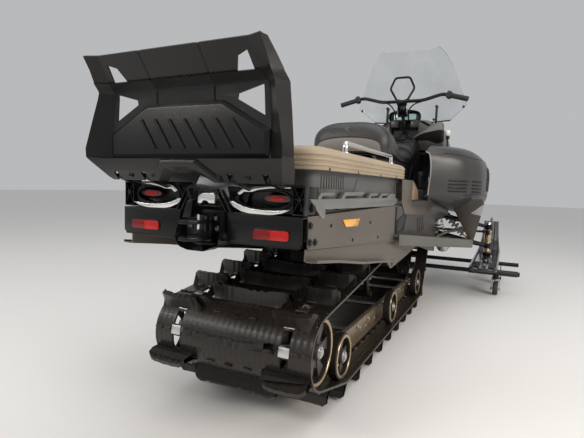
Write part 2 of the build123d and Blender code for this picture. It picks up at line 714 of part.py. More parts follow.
# Hood: one folded shell from the dash to the nose
hood_wall = 5.0
hood_rows = (
    # y, foot x, foot z, shoulder x, shoulder z, top x, top z
    (730.0, 269.4, 887.6, 214.0, 1040.0, 118.0, 1098.0),
    (960.0, 303.0, 850.4, 231.7, 1056.9, 111.3, 1134.7),
    (1240.0, 303.0, 786.4, 222.3, 915.1, 92.7, 985.3),
    (1500.0, 199.0, 670.4, 159.9, 739.3, 64.4, 773.1),
    (1540.0, 181.0, 655.0, 150.0, 712.0, 60.0, 740.0),
)
with BuildPart() as hood:
    for y, foot_x, foot_z, shoulder_x, shoulder_z, top_x, top_z in hood_rows:
        outer = [(foot_x, foot_z), (shoulder_x, shoulder_z), (top_x, top_z)]
        inner = [(foot_x - hood_wall, foot_z), (shoulder_x - hood_wall, shoulder_z - 3),
                 (top_x - 3, top_z - hood_wall)]
        ring = (outer + [(-x, z) for x, z in outer[::-1]] + [(-x, z) for x, z in inner]
                + inner[::-1])
        with BuildSketch(Plane.XZ.offset(-y)):
            with BuildLine():
                Polyline(*ring, close=True)
            make_face()
    loft(ruled=True)
save(hood.part, "hood")

# Steering column line: it leans back by the tilt, through the middle of the bar
lean = radians(column_tilt)
column_dir = (0, -sin(lean), cos(lean))
bar_centre = (0, bar_y, bar_z)


def on_column(distance):
    """Point on the steering axis at a distance below the bar."""
    return (0, bar_y + distance * sin(lean), bar_z - distance * cos(lean))


# Dash: panel under the hood's rear edge with the column's bearing, and the gauge on two necks
bearing_at = 250.0        # bar centre to the top of the bearing
bearing_long = 70.0
dash_y = console_front_y + 46
hood_rear_y, foot_x, foot_z, shoulder_x, shoulder_z, top_x, hood_rear_z = hood_rows[0]
with BuildPart() as dash:
    with BuildSketch(Plane.YZ.offset(-92)):
        with BuildLine():
            Polyline((hood_rear_y - 30, hood_rear_z + 2), (hood_rear_y - 32, hood_rear_z + 52),
                     (hood_rear_y - 8, hood_rear_z + 74), (hood_rear_y + 76, hood_rear_z + 62),
                     (hood_rear_y + 98, hood_rear_z + 21.5), (hood_rear_y - SEAT_GAP, hood_rear_z + 1), close=True)
        make_face()
    extrude(amount=184)
    for neck_x in (-92, 40):
        with BuildSketch(Plane.YZ.offset(neck_x)):
            with BuildLine():
                Polyline((hood_rear_y - 28, hood_rear_z - 48), (hood_rear_y - 28, hood_rear_z + 4),
                         (hood_rear_y - SEAT_GAP, hood_rear_z + 4), (hood_rear_y - SEAT_GAP, hood_rear_z - 13),
                         (dash_y - 3, hood_rear_z - 18), (dash_y - 3, hood_rear_z - 58), close=True)
            make_face()
        extrude(amount=52)
    with BuildSketch(Plane.XZ.offset(-dash_y)):
        with BuildLine():
            Polyline((17.4 - foot_x, foot_z + 17.4), (8 - shoulder_x, shoulder_z - 6),
                     (6 - top_x, hood_rear_z - 10), (top_x - 6, hood_rear_z - 10),
                     (shoulder_x - 8, shoulder_z - 6), (foot_x - 17.4, foot_z + 17.4),
                     (150, foot_z - 15.6), (-150, foot_z - 15.6), close=True)
        make_face()
    extrude(amount=5)
    with BuildSketch(Plane(origin=on_column(bearing_at + bearing_long), z_dir=column_dir)):
        Circle(32)
    extrude(amount=bearing_long)
    with BuildSketch(Plane(origin=on_column(bearing_at + bearing_long + 60), z_dir=column_dir)):
        Circle(column_r + RUN_FIT)
    extrude(amount=bearing_long + 120, mode=Mode.SUBTRACT)
save(dash.part, "dash")

# Windshield: a folded clear sheet, wider at its middle, standing on the hood
screen_thick = 4.0
screen_rows = (
    # z, middle x, middle y, fold x, fold y, half-width, side y
    (1122.0, 112.0, 985.0, 170.0, 968.0, 268.0, 918.0),
    (1215.0, 70.0, 958.0, 206.0, 938.0, 374.0, 876.0),
    (1480.0, 50.0, 862.0, 156.0, 848.0, 272.0, 800.0),
    (1588.0, 40.0, 818.0, 120.0, 806.0, 196.0, 776.0),
)
with BuildPart() as windshield:
    for z, mid_x, mid_y, fold_x, fold_y, wide, side_y in screen_rows:
        half = [(wide, side_y), (fold_x, fold_y), (mid_x, mid_y)]
        near = half + [(-x, y) for x, y in half[::-1]]
        far = [(x, y + screen_thick) for x, y in near[::-1]]
        with BuildSketch(Plane.XY.offset(z)):
            with BuildLine():
                Polyline(*near, *far, close=True)
            make_face()
    loft(ruled=True)
save(windshield.part, "windshield")

# Headlights under the nose's upper edge, standing on the belly pan's front wall
nose_y, nose_z = 1540.0, 620.0
lamp_low_z = nose_z + SEAT_GAP
with BuildPart() as headlights:
    for sign in (-1, 1):
        with BuildSketch(Plane.XZ.offset(-nose_y)):
            with BuildLine():
                Polyline(*[(sign * x, z) for x, z in ((24, lamp_low_z), (24, 700), (130, 700), (160, 668),
                                                      (148, lamp_low_z))], close=True)
            make_face()
        extrude(amount=22)
save(headlights.part, "headlights")

# Belly pan: the lower shell, with upright sides where the arms are carried
pan_wall = 5.0
pan_rows = (
    # y, half-width at the top, half-width at the bottom, top z, bottom z
    (tunnel_front_y + SEAT_GAP, 232.0, 232.0, 560.0, 268.0),
    (800.0, 190.0, 190.0, 560.0, 268.0),
    (1150.0, 190.0, 190.0, 560.0, 300.0),
    (nose_y, 150.0, 84.0, nose_z, 520.0),
)
arm_inner_y = (860.0, 1090.0)
tie_y, tie_z = spindle_y - tie_arm, 372.0
tie_r = 8.0
tie_boss_r, tie_boss_long = 18.0, 22.0
pan_side_x = pan_rows[1][1]
tip_high_x, tip_low_x, tip_low_z = pan_rows[3][1], pan_rows[3][2], pan_rows[3][4]
with BuildPart() as belly_pan:
    for y, high_x, low_x, high_z, low_z in pan_rows:
        outer = [(high_x, high_z), (low_x, low_z), (-low_x, low_z), (-high_x, high_z)]
        inner = [(-high_x + pan_wall, high_z), (-low_x + pan_wall, low_z + pan_wall),
                 (low_x - pan_wall, low_z + pan_wall), (high_x - pan_wall, high_z)]
        with BuildSketch(Plane.XZ.offset(-y)):
            with BuildLine():
                Polyline(*outer, *inner, close=True)
            make_face()
    loft(ruled=True)
    with BuildSketch(Plane.XZ.offset(-nose_y)):
        with BuildLine():
            Polyline((-tip_high_x, nose_z), (tip_high_x, nose_z), (tip_low_x, tip_low_z), (-tip_low_x, tip_low_z),
                     close=True)
        make_face()
    extrude(amount=pan_wall)
    for sign in (-1, 1):
        with BuildSketch(Plane.YZ.offset(sign * (pan_side_x - tie_boss_long / 2) - tie_boss_long / 2)):
            with Locations((tie_y, tie_z)):
                Circle(tie_boss_r)
        extrude(amount=tie_boss_long)
    with BuildSketch(Plane.YZ):
        with Locations((tie_y, tie_z)):
            Circle(tie_r + RUN_FIT)
    extrude(amount=300, both=True, mode=Mode.SUBTRACT)
save(belly_pan.part, "belly_pan")

# Front bumper: a tube loop round the nose, its feet against the belly pan's front sides
nose_tube_r = 12.0
foot_y, foot_z = nose_y - 110.0, 536.0


def pan_half(y, z):
    """Half-width of the belly pan's front stretch at a place and a height."""
    share = (y - pan_rows[2][0]) / (pan_rows[3][0] - pan_rows[2][0])
    high_x, low_x, high_z, low_z = [a + (b - a) * share for a, b in zip(pan_rows[2][1:], pan_rows[3][1:])]
    return low_x + (high_x - low_x) * (z - low_z) / (high_z - low_z)


slope_y = pan_half(foot_y + 1, foot_z) - pan_half(foot_y, foot_z)
slope_z = pan_half(foot_y, foot_z + 1) - pan_half(foot_y, foot_z)
foot_x = pan_half(foot_y, foot_z) + (nose_tube_r + SEAT_GAP) * sqrt(1 + slope_y ** 2 + slope_z ** 2)
with BuildPart() as front_bumper:
    with BuildLine() as loop:
        FilletPolyline((-foot_x, foot_y, foot_z), (-foot_x - 5, nose_y + 50, foot_z + 24),
                       (-110, nose_y + 66, foot_z + 104), (110, nose_y + 66, foot_z + 104),
                       (foot_x + 5, nose_y + 50, foot_z + 24), (foot_x, foot_y, foot_z), radius=34)
    with BuildSketch(Plane(origin=loop.line @ 0, z_dir=loop.line % 0)):
        Circle(nose_tube_r)
    sweep(path=loop.line)
save(front_bumper.part, "front_bumper")

# Running boards: sloping perforated plates with a raised edge and a toe hold in front
board_slope = (board_front_z - board_rear_z) / (board_front_y - board_rear_y)
toe_y, toe_z = 560.0, 424.0
board_in = tunnel_half + SEAT_GAP
for side, sign in SIDES:
    plane = Plane(origin=(0, board_rear_y, board_rear_z),
                  x_dir=(1, 0, 0), z_dir=(0, -board_slope, 1))
    reach = (board_front_y - board_rear_y) * sqrt(1 + board_slope ** 2)
    with BuildPart() as running_board:
        with BuildSketch(plane):
            with BuildLine():
                Polyline((sign * board_in, 0), (sign * (board_rear_x + 10), 0), (sign * board_front_x, reach),
                         (sign * board_in, reach), close=True)
            make_face()
            for step in range(7):
                along = 330 + step * 100
                wide = (board_front_x - board_rear_x) * along / reach - 34
                with Locations((sign * (board_in + 18 + wide / 2), along)):
                    SlotOverall(max(wide, 30), 24, mode=Mode.SUBTRACT)
        extrude(amount=board_thick)
        with BuildSketch(plane.offset(-board_edge_tall + board_thick)):
            with BuildLine():
                Polyline((sign * board_in, 0), (sign * (board_rear_x + 10), 0), (sign * board_front_x, reach),
                         (sign * (board_front_x - 7), reach), (sign * (board_rear_x + 3), 3),
                         (sign * board_in, 3), close=True)
            make_face()
        extrude(amount=board_edge_tall + 8)
        # toe hold: a tube from the edge up and in to the tunnel's front
        with BuildLine() as toe:
            FilletPolyline((sign * (board_front_x - 10), board_front_y - 30, board_front_z - 4),
                           (sign * (board_front_x - 10), toe_y - 20, toe_z),
                           (sign * (board_in + 60), toe_y - 20, toe_z - 40),
                           (sign * (board_in + 9.7), board_front_y + 40, board_front_z + 10), radius=26)
        with BuildSketch(Plane(origin=toe.line @ 0, z_dir=toe.line % 0)):
            Circle(9)
        sweep(path=toe.line)
    save(running_board.part, f"running_board_{side}")

# Engine: one plain block over the belly pan
engine_half, engine_rear_y, engine_front_y = 150.0, 700.0, 1080.0
engine_low_z, engine_high_z = 400.0, 760.0
with BuildPart() as engine:
    with BuildSketch(Plane.XY.offset(engine_low_z)):
        with Locations((0, (engine_rear_y + engine_front_y) / 2)):
            RectangleRounded(2 * engine_half, engine_front_y - engine_rear_y, 20)
    extrude(amount=engine_high_z - engine_low_z)
    for mount_y in (760.0, 1020.0):
        with BuildSketch(Plane.YZ):
            with Locations((mount_y, 500)):
                Circle(16)
        extrude(amount=pan_side_x - pan_wall - SEAT_GAP, both=True)
save(engine.part, "engine")

# Front arms: two V arms a side, from pivot tubes on the belly pan to eyes on the kingpin
pivot_r = 13.0
pivot_x = pan_side_x + pivot_r + SEAT_GAP
arm_sets = (
    # eye z, pivot tube z, leg radius
    (eye_low_z, 330.0, 13.0),
    (eye_high_z, 470.0, 11.0),
)
shock_seat_x = 420.0
shock_seat_half = 17.0
with BuildPart() as front_arms:
    for sign in (-1, 1):
        for eye_z, inner_z, leg_r in arm_sets:
            with BuildSketch(Plane.XY.offset(eye_z - eye_tall / 2)):
                with Locations((sign * ski_x, spindle_y)):
                    Circle(kingpin_r + 11)
            extrude(amount=eye_tall)
            for inner_y in arm_inner_y:
                with BuildLine() as leg:
                    Line((sign * ski_x, spindle_y, eye_z), (sign * pivot_x, inner_y, inner_z))
                with BuildSketch(Plane(origin=leg.line @ 0, z_dir=leg.line % 0)):
                    Circle(leg_r)
                sweep(path=leg.line)
            with BuildSketch(Plane.XZ.offset(-arm_inner_y[1] - 24)):
                with Locations((sign * pivot_x, inner_z)):
                    Circle(pivot_r)
            extrude(amount=arm_inner_y[1] - arm_inner_y[0] + 48)
        seat_z = eye_low_z + (ski_x - shock_seat_x) / (ski_x - pivot_x) * (arm_sets[0][1] - eye_low_z)
        with BuildSketch(Plane.XY.offset(seat_z - shock_seat_half)):
            with Locations((sign * shock_seat_x, spindle_y)):
                Rectangle(34, 110)
        extrude(amount=2 * shock_seat_half)
        with BuildSketch(Plane.XY.offset(eye_low_z - eye_tall)):
            with Locations((sign * ski_x, spindle_y)):
                Circle(kingpin_r + RUN_FIT)
        extrude(amount=eye_high_z - eye_low_z + 2 * eye_tall, mode=Mode.SUBTRACT)
save(front_arms.part, "front_arms")

# Front shock absorbers, from the lower arms to the chassis side
shock_foot = (shock_seat_x, seat_z + shock_seat_half + SEAT_GAP)
shock_head = (pan_side_x + 14 + SEAT_GAP, 534.0)
with BuildPart() as front_shocks:
    for sign in (-1, 1):
        span = hypot(shock_head[0] - shock_foot[0], shock_head[1] - shock_foot[1])
        along = ((shock_head[0] - shock_foot[0]) / span, (shock_head[1] - shock_foot[1]) / span)
        with BuildSketch(Plane.XY.offset(shock_foot[1])):
            with Locations((sign * shock_foot[0], spindle_y)):
                Circle(12)
        extrude(amount=18)
        for radius, start, end in ((8, 10, span), (22, 34, 42), (27, 42, 0.72 * span),
                                   (22, 0.72 * span, 0.72 * span + 8), (15, 0.72 * span, span - 20)):
            origin = (sign * (shock_foot[0] + start * along[0]), spindle_y, shock_foot[1] + start * along[1])
            with BuildSketch(Plane(origin=origin, z_dir=(sign * along[0], 0, along[1]))):
                Circle(radius)
            extrude(amount=end - start)
        with BuildSketch(Plane.XZ.offset(-spindle_y - 12)):
            with Locations((sign * shock_head[0], shock_head[1])):
                Circle(14)
        extrude(amount=24)
save(front_shocks.part, "front_shocks")

# Exhaust silencer below the right footwell
silencer_x, silencer_z = 306.0, 292.0
with BuildPart() as silencer:
    with BuildSketch(Plane.XZ.offset(-545)):
        with Locations((silencer_x, silencer_z)):
            Circle(36)
    extrude(amount=-135)
    with BuildLine() as pipe:
        FilletPolyline((silencer_x, 660, silencer_z), (silencer_x, 830, silencer_z),
                       (pan_side_x + SEAT_GAP, 830, silencer_z), radius=40)
    with BuildSketch(Plane(origin=pipe.line @ 0, z_dir=pipe.line % 0)):
        Circle(16)
    sweep(path=pipe.line)
save(silencer.part, "silencer")

# Handlebar: riser, bent tube with a strap hoop above it, and the column
riser_low, riser_high = 100.0, 8.0
bar_flat = 120.0          # half of the bar's straight middle
bend_x, bend_high_y, bend_high_z = 256.0, bar_y - 4, bar_z + 34
bar_end_y, bar_end_z = bar_y - 40, bar_z - 12
bar_end_dir = Vector(bar_reach - bend_x, bend_high_y - bar_end_y, bend_high_z - bar_end_z).normalized()
with BuildPart() as handlebar:
    with BuildSketch(Plane.YZ.offset(-bar_flat)):
        with Locations((bar_y, bar_z)):
            Circle(bar_r)
    extrude(amount=2 * bar_flat)
    for sign in (-1, 1):
        with BuildLine() as bar:
            FilletPolyline((sign * bar_flat, bar_y, bar_z), (sign * (bar_flat + 12), bar_y, bar_z),
                           (sign * bend_x, bend_high_y, bend_high_z), (sign * bar_reach, bar_end_y, bar_end_z),
                           radius=60)
        with BuildSketch(Plane(origin=bar.line @ 0, z_dir=bar.line % 0)):
            Circle(bar_r)
        sweep(path=bar.line)
    with BuildSketch(Plane(origin=on_column(bearing_at + bearing_long + 20), z_dir=column_dir)):
        Circle(column_r)
    extrude(amount=bearing_at + bearing_long)
    with BuildSketch(Plane(origin=on_column(riser_low), x_dir=(1, 0, 0), z_dir=column_dir)):
        RectangleRounded(66, 40, 10)
    extrude(amount=riser_low + riser_high)
    with BuildLine() as hoop:
        FilletPolyline((-34, bar_y, bar_z + 8), (-78, bar_y - 6, bar_z + 82), (-46, bar_y - 12, bar_z + 150),
                       (46, bar_y - 12, bar_z + 150), (78, bar_y - 6, bar_z + 82), (34, bar_y, bar_z + 8),
                       radius=18)
    with BuildSketch(Plane(origin=hoop.line @ 0, z_dir=hoop.line % 0)):
        Circle(7)
    sweep(path=hoop.line)
save(handlebar.part, "handlebar")

# Controls: a grip on each end of the bar, a switch pod beside it and a lever in front
grip_long, grip_cap = 105.0, 5.0
pod_from = grip_long - grip_cap + SEAT_GAP
pod_long = 32.0
lever_rows = (
    # side, how far the lever reaches out along the grip, lever radius
    (-1, 118.0, 5.0),
    (1, 62.0, 4.0),
)
with BuildPart() as bar_controls:
    for sign, lever_reach, lever_r in lever_rows:
        end = Vector(sign * bar_reach, bar_end_y, bar_end_z)
        inward = Vector(-sign * bar_end_dir.X, bar_end_dir.Y, bar_end_dir.Z)
        with BuildSketch(Plane(origin=end - inward * grip_cap, z_dir=inward)):
            Circle(grip_r)
        extrude(amount=grip_long)
        with BuildSketch(Plane(origin=end + inward * pod_from, z_dir=inward)):
            RectangleRounded(46, 42, 10)
        extrude(amount=pod_long)
        with BuildLine() as lever:
            pivot = end + inward * (pod_from + pod_long / 2)
            FilletPolyline(pivot + Vector(0, 16, 0), pivot + Vector(-sign * 4, 56, -2),
                           pivot + Vector(sign * lever_reach, 50 - 0.2 * lever_reach, -0.26 * lever_reach),
                           radius=12)
        with BuildSketch(Plane(origin=lever.line @ 0, z_dir=lever.line % 0)):
            Circle(lever_r)
        sweep(path=lever.line)
        with BuildSketch(Plane(origin=end - inward * SEAT_GAP, z_dir=inward)):
            Circle(bar_r + RUN_FIT)
        extrude(amount=pod_from + pod_long + 10, mode=Mode.SUBTRACT)
save(bar_controls.part, "bar_controls")

# Skis: a curved runner with side ribs, a keel and a tube loop at the tip
ski_low_z = ski_rest_z + SEAT_GAP
keel_tall, keel_half = 8.0, 9.0
runner_thick = 14.0
runner_z = ski_low_z + keel_tall
rib_tall, rib_wide = 30.0, 12.0
bend_y, tip_rise = 1290.0, 232.0
saddle_half, saddle_long = 27.0, 150.0
saddle_top_z = 206.0
tip_run = ski_tip_y - 16 - bend_y
curl_r = (tip_run ** 2 + tip_rise ** 2) / (2 * tip_rise)
curl_mid = atan2(tip_run, curl_r - tip_rise) / 2


def curl(radius, angle):
    """Point on the ski's upward bend, at a radius from its centre."""
    return (bend_y + radius * sin(angle), runner_z + curl_r - radius * cos(angle))


for side, sign in SIDES:
    middle = sign * ski_x
    with BuildPart() as ski:
        for start, end, low, high in ((-ski_half, ski_half, 0, runner_thick),
                                      (-ski_half, rib_wide - ski_half, 1, rib_tall),
                                      (ski_half - rib_wide, ski_half, 1, rib_tall)):
            with BuildSketch(Plane.YZ.offset(middle + start)):
                with BuildLine():
                    Line((ski_tail_y, runner_z + low), (bend_y, runner_z + low))
                    ThreePointArc(curl(curl_r - low, 0), curl(curl_r - low, curl_mid),
                                  curl(curl_r - low, 2 * curl_mid))
                    Line(curl(curl_r - low, 2 * curl_mid), curl(curl_r - high, 2 * curl_mid))
                    ThreePointArc(curl(curl_r - high, 2 * curl_mid), curl(curl_r - high, curl_mid),
                                  curl(curl_r - high, 0))
                    Line((bend_y, runner_z + high), (ski_tail_y + high - low, runner_z + high))
                    Line((ski_tail_y + high - low, runner_z + high), (ski_tail_y, runner_z + low))
                make_face()
            extrude(amount=end - start)
        with BuildSketch(Plane.XY.offset(ski_low_z)):
            with BuildLine():
                Polyline(
                    (middle - ski_half + 14, ski_tail_y), (middle + ski_half - 14, ski_tail_y),
                    (middle + ski_half, ski_tail_y + 30), (middle + ski_half, bend_y + 30),
                    (middle + 52, ski_tip_y), (middle - 52, ski_tip_y), (middle - ski_half, bend_y + 30),
                    (middle - ski_half, ski_tail_y + 30), close=True)
            make_face()
        extrude(amount=400, mode=Mode.INTERSECT)
        with BuildSketch(Plane.YZ.offset(middle - keel_half)):
            with BuildLine():
                Polyline((ski_tail_y + 90, runner_z + 2), (ski_tail_y + 110, ski_low_z),
                         (bend_y - 30, ski_low_z), (bend_y + 10, runner_z + 2), close=True)
            make_face()
        extrude(amount=2 * keel_half)
        with BuildSketch(Plane.YZ.offset(middle - saddle_half)):
            with BuildLine():
                Polyline((spindle_y - saddle_long, runner_z + runner_thick - 1), (spindle_y - 50, saddle_top_z),
                         (spindle_y + 50, saddle_top_z),
                         (spindle_y + saddle_long, runner_z + runner_thick - 1), close=True)
            make_face()
        extrude(amount=2 * saddle_half)
        with BuildLine() as loop:
            FilletPolyline((middle, bend_y - 60, runner_z + 8), (middle, bend_y + 40, runner_z + 150),
                           (middle, ski_tip_y - 60, runner_z + tip_rise + 36),
                           (middle, ski_tip_y - 20, runner_z + tip_rise - 14), radius=28)
        with BuildSketch(Plane(origin=loop.line @ 0, z_dir=loop.line % 0)):
            Circle(9)
        sweep(path=loop.line)
    save(ski.part, f"ski_{side}")

    # spindle: foot on the ski's saddle, kingpin through both eyes, steering arm
    eye_low_top = eye_low_z + eye_tall / 2
    eye_high_low = eye_high_z - eye_tall / 2
    with BuildPart() as spindle:
        with BuildSketch(Plane.XY.offset(saddle_top_z)):
            with Locations((middle, spindle_y)):
                RectangleRounded(2 * saddle_half, 86, 12)
        extrude(amount=22)
        with BuildSketch(Plane.XY.offset(saddle_top_z)):
            with Locations((middle, spindle_y)):
                Circle(kingpin_r + 9)
        extrude(amount=eye_low_z - eye_tall / 2 - eye_gap - saddle_top_z)
        with BuildSketch(Plane.XY.offset(saddle_top_z)):
            with Locations((middle, spindle_y)):
                Circle(kingpin_r)
        extrude(amount=eye_high_z + eye_tall / 2 + 8 - saddle_top_z)
        with BuildSketch(Plane.XY.offset(eye_low_top + eye_gap)):
            with Locations((middle, spindle_y)):
                Circle(kingpin_r + 9)
        extrude(amount=eye_high_low - eye_low_top - 2 * eye_gap)
        with BuildSketch(Plane.XY.offset(eye_high_z + eye_tall / 2 + eye_gap)):
            with Locations((middle, spindle_y)):
                Circle(kingpin_r + 7)
        extrude(amount=8)
        with BuildSketch(Plane.XY.offset(tie_z - 22)):
            with BuildLine():
                Polyline((middle - 14, spindle_y), (middle - 11, tie_y - 12), (middle + 11, tie_y - 12),
                         (middle + 14, spindle_y), close=True)
            make_face()
        extrude(amount=22 - 12 - SEAT_GAP)
    save(spindle.part, f"spindle_{side}")

# Tie rods: both rods and their joint in the middle slide as one
with BuildPart() as tie_rods:
    with BuildSketch(Plane.YZ):
        with Locations((tie_y, tie_z)):
            Circle(tie_r)
    extrude(amount=ski_x - 10, both=True)
    for sign in (-1, 1):
        with BuildSketch(Plane.XY.offset(tie_z - 12)):
            with Locations((sign * ski_x, tie_y)):
                Circle(14)
        extrude(amount=24)
    with BuildSketch(Plane.XY.offset(tie_z - 10)):
        with Locations((0, tie_y)):
            RectangleRounded(90, 34, 10)
    extrude(amount=20)
save(tie_rods.part, "tie_rods")

# Dolly: two cross tubes with rubber sleeves, tied by side tubes, on four casters
side_tube_r, side_tube_x = 11.0, caster_x - 20.0
rear_tube_z = ski_rest_z - sleeve_r
front_tube_z = ski_rest_z - dolly_tube_r
sleeve_from = dolly_half - 297.0
stem_r = 8.0
cheek_x = caster_wide / 2 + 7.5  # wheel centre to the middle of a fork's cheek
boss_r, boss_low_z = 17.0, 96.0
with BuildPart() as dolly_frame:
    for tube_y, tube_z in ((dolly_rear_y, rear_tube_z), (dolly_front_y, front_tube_z)):
        with BuildSketch(Plane.YZ):
            with Locations((tube_y, tube_z)):
                Circle(dolly_tube_r)
        extrude(amount=dolly_half, both=True)
    for sign in (-1, 1):
        with BuildSketch(Plane.YZ.offset(sign * sleeve_from)):
            with Locations((dolly_rear_y, rear_tube_z)):
                Circle(sleeve_r)
        extrude(amount=sign * (dolly_half - 10 - sleeve_from))
        with BuildLine() as side_tube:
            Line((sign * side_tube_x, dolly_rear_y, rear_tube_z - 4),
                 (sign * side_tube_x, dolly_front_y, rear_tube_z - 4))
        with BuildSketch(Plane(origin=side_tube.line @ 0, z_dir=side_tube.line % 0)):
            Circle(side_tube_r)
        sweep(path=side_tube.line)
        # swivel boss of the rear caster
        with BuildSketch(Plane.XY.offset(boss_low_z)):
            with Locations((sign * caster_x, dolly_rear_y)):
                Circle(boss_r)
        extrude(amount=rear_tube_z - boss_low_z)
        with BuildSketch(Plane.XY.offset(boss_low_z)):
            with Locations((sign * caster_x, dolly_rear_y)):
                Circle(stem_r + RUN_FIT)
        extrude(amount=26, mode=Mode.SUBTRACT)
        # fixed fork of the front caster
        for cheek in (-1, 1):
            with BuildSketch(Plane.YZ.offset(sign * caster_x + cheek * cheek_x - 2.5)):
                with BuildLine():
                    Polyline((dolly_front_y - 11, caster_r), (dolly_front_y - 18, 92),
                             (dolly_front_y - 18, front_tube_z),
                             (dolly_front_y + 18, front_tube_z), (dolly_front_y + 18, 92),
                             (dolly_front_y + 11, caster_r), (dolly_front_y + 7, caster_r - 9),
                             (dolly_front_y - 7, caster_r - 9), close=True)
                make_face()
            extrude(amount=5)
        with BuildSketch(Plane.YZ.offset(sign * caster_x - cheek_x)):
            with Locations((dolly_front_y, caster_r)):
                Circle(5)
        extrude(amount=2 * cheek_x)
save(dolly_frame.part, "dolly_frame")

# Casters: swivel forks at the back, a wheel in each of the four
for side, sign in SIDES:
    place = sign * caster_x
    axle_back_y = dolly_rear_y - caster_trail
    with BuildPart() as caster_fork:
        with BuildSketch(Plane.XY.offset(86)):
            with Locations((place, dolly_rear_y)):
                Circle(21)
            with Locations((place, dolly_rear_y - 10)):
                RectangleRounded(2 * cheek_x + 5, 44, 4)
        extrude(amount=boss_low_z - SEAT_GAP - 86)
        with BuildSketch(Plane.XY.offset(86)):
            with Locations((place, dolly_rear_y)):
                Circle(stem_r)
        extrude(amount=boss_low_z + 24 - 86)
        for cheek in (-1, 1):
            with BuildSketch(Plane.YZ.offset(place + cheek * cheek_x - 2.5)):
                with BuildLine():
                    Polyline((axle_back_y - 10, caster_r - 6), (dolly_rear_y - 32, 88), (dolly_rear_y - 32, 92),
                             (dolly_rear_y + 12, 92), (dolly_rear_y + 12, 88), (axle_back_y + 10, caster_r - 6),
                             (axle_back_y, caster_r - 12), close=True)
                make_face()
            extrude(amount=5)
        with BuildSketch(Plane.YZ.offset(place - cheek_x)):
            with Locations((axle_back_y, caster_r)):
                Circle(5)
        extrude(amount=2 * cheek_x)
    save(caster_fork.part, f"caster_fork_{side}")
    for end, axle_y in (("rear", axle_back_y), ("front", dolly_front_y)):
        with BuildPart() as caster_wheel:
            with BuildSketch(Plane.YZ.offset(place - caster_wide / 2)):
                with Locations((axle_y, caster_r)):
                    Circle(caster_r)
                    Circle(5 + RUN_FIT, mode=Mode.SUBTRACT)
            extrude(amount=caster_wide)
            fillet(caster_wheel.edges().filter_by(GeomType.CIRCLE).group_by(SortBy.RADIUS)[-1], 5)
        save(caster_wheel.part, f"caster_wheel_{end}_{side}")
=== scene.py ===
import bpy
import bmesh
import json
from math import atan2, cos, hypot, pi, radians, sin, sqrt
from mathutils import Matrix, Vector


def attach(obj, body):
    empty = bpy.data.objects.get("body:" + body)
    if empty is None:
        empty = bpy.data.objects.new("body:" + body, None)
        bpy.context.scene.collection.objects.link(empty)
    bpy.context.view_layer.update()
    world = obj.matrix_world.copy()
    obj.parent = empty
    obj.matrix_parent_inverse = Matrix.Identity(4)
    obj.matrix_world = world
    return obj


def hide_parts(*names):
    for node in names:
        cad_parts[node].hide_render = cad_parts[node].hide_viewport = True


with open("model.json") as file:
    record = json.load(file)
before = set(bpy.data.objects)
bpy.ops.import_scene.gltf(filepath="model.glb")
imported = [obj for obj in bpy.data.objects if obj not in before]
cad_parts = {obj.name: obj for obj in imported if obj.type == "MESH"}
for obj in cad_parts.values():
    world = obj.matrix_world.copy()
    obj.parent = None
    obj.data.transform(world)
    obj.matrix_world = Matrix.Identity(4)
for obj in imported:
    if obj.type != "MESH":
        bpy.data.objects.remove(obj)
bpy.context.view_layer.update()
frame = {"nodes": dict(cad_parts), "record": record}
NODES = frame["nodes"]
SIDES = (("left", -1), ("right", 1))
COLUMN_LEAN = (0, 0.5, -0.866)          # the way down the steering column
DRIVE_Y, DRIVE_Z = 0.335, 0.400         # the drive axle
CASTER_X, CASTER_Z = 0.620, 0.0375      # a dolly wheel's middle
SKI_X, KINGPIN_Y = 0.550, 0.975         # a ski's middle, and the kingpin it turns about
REAR_CASTER_Y, FRONT_CASTER_Y = 0.674, 1.056


# Workshop helpers: start a primitive, choose parts of it, finish it

def deselect():
    """Nothing is left selected, as at the start of every piece."""
    if bpy.context.object and bpy.context.object.mode != "OBJECT":
        bpy.ops.object.mode_set(mode="OBJECT")
    bpy.ops.object.select_all(action="DESELECT")


def take(obj):
    """Make one object the active and only selected one."""
    deselect()
    obj.select_set(True)
    bpy.context.view_layer.objects.active = obj
    return obj


def settle(obj):
    """Put an object's place, turn and scale into its mesh."""
    take(obj)
    bpy.ops.object.transform_apply(location=True, rotation=True, scale=True)
    return obj


def modify(obj, kind, **settings):
    """Add a modifier, set it and apply it."""
    take(obj)
    modifier = obj.modifiers.new(kind.lower(), kind)
    for key, value in settings.items():
        setattr(modifier, key, value)
    bpy.ops.object.modifier_apply(modifier=modifier.name)
    return obj


def soften(obj, width=0.002, segments=2, angle=35):
    """Round the sharp edges and shade the piece smooth."""
    modify(obj, "BEVEL", width=width, segments=segments, limit_method="ANGLE", angle_limit=radians(angle),
        use_clamp_overlap=True)
    return smooth(obj)


def smooth(obj, angle=35):
    """Shade smooth, sharp only over an angle."""
    take(obj)
    bpy.ops.object.shade_smooth_by_angle(angle=radians(angle))
    return obj


def choose(obj, test, mode="FACE"):
    """In edit mode, select the faces or edges whose middle passes a test."""
    take(obj)
    bpy.ops.object.mode_set(mode="EDIT")
    bpy.ops.mesh.select_mode(type=mode)
    bpy.ops.mesh.select_all(action="DESELECT")
    mesh = bmesh.from_edit_mesh(obj.data)
    if mode == "FACE":
        found = [(face, face.calc_center_median(), face.normal) for face in mesh.faces]
    else:
        found = [(edge, (edge.verts[0].co + edge.verts[1].co) / 2, None) for edge in mesh.edges]
    for item, place, normal in found:
        if test(place, normal):
            item.select_set(True)
    mesh.select_flush_mode()
    bmesh.update_edit_mesh(obj.data)


def leave_edit():
    bpy.ops.object.mode_set(mode="OBJECT")


def thicken(obj, thickness, side):
    """Give a sheet its thickness; side -1, 0 or 1 says where it grows."""
    return modify(obj, "SOLIDIFY", thickness=thickness, offset=side)


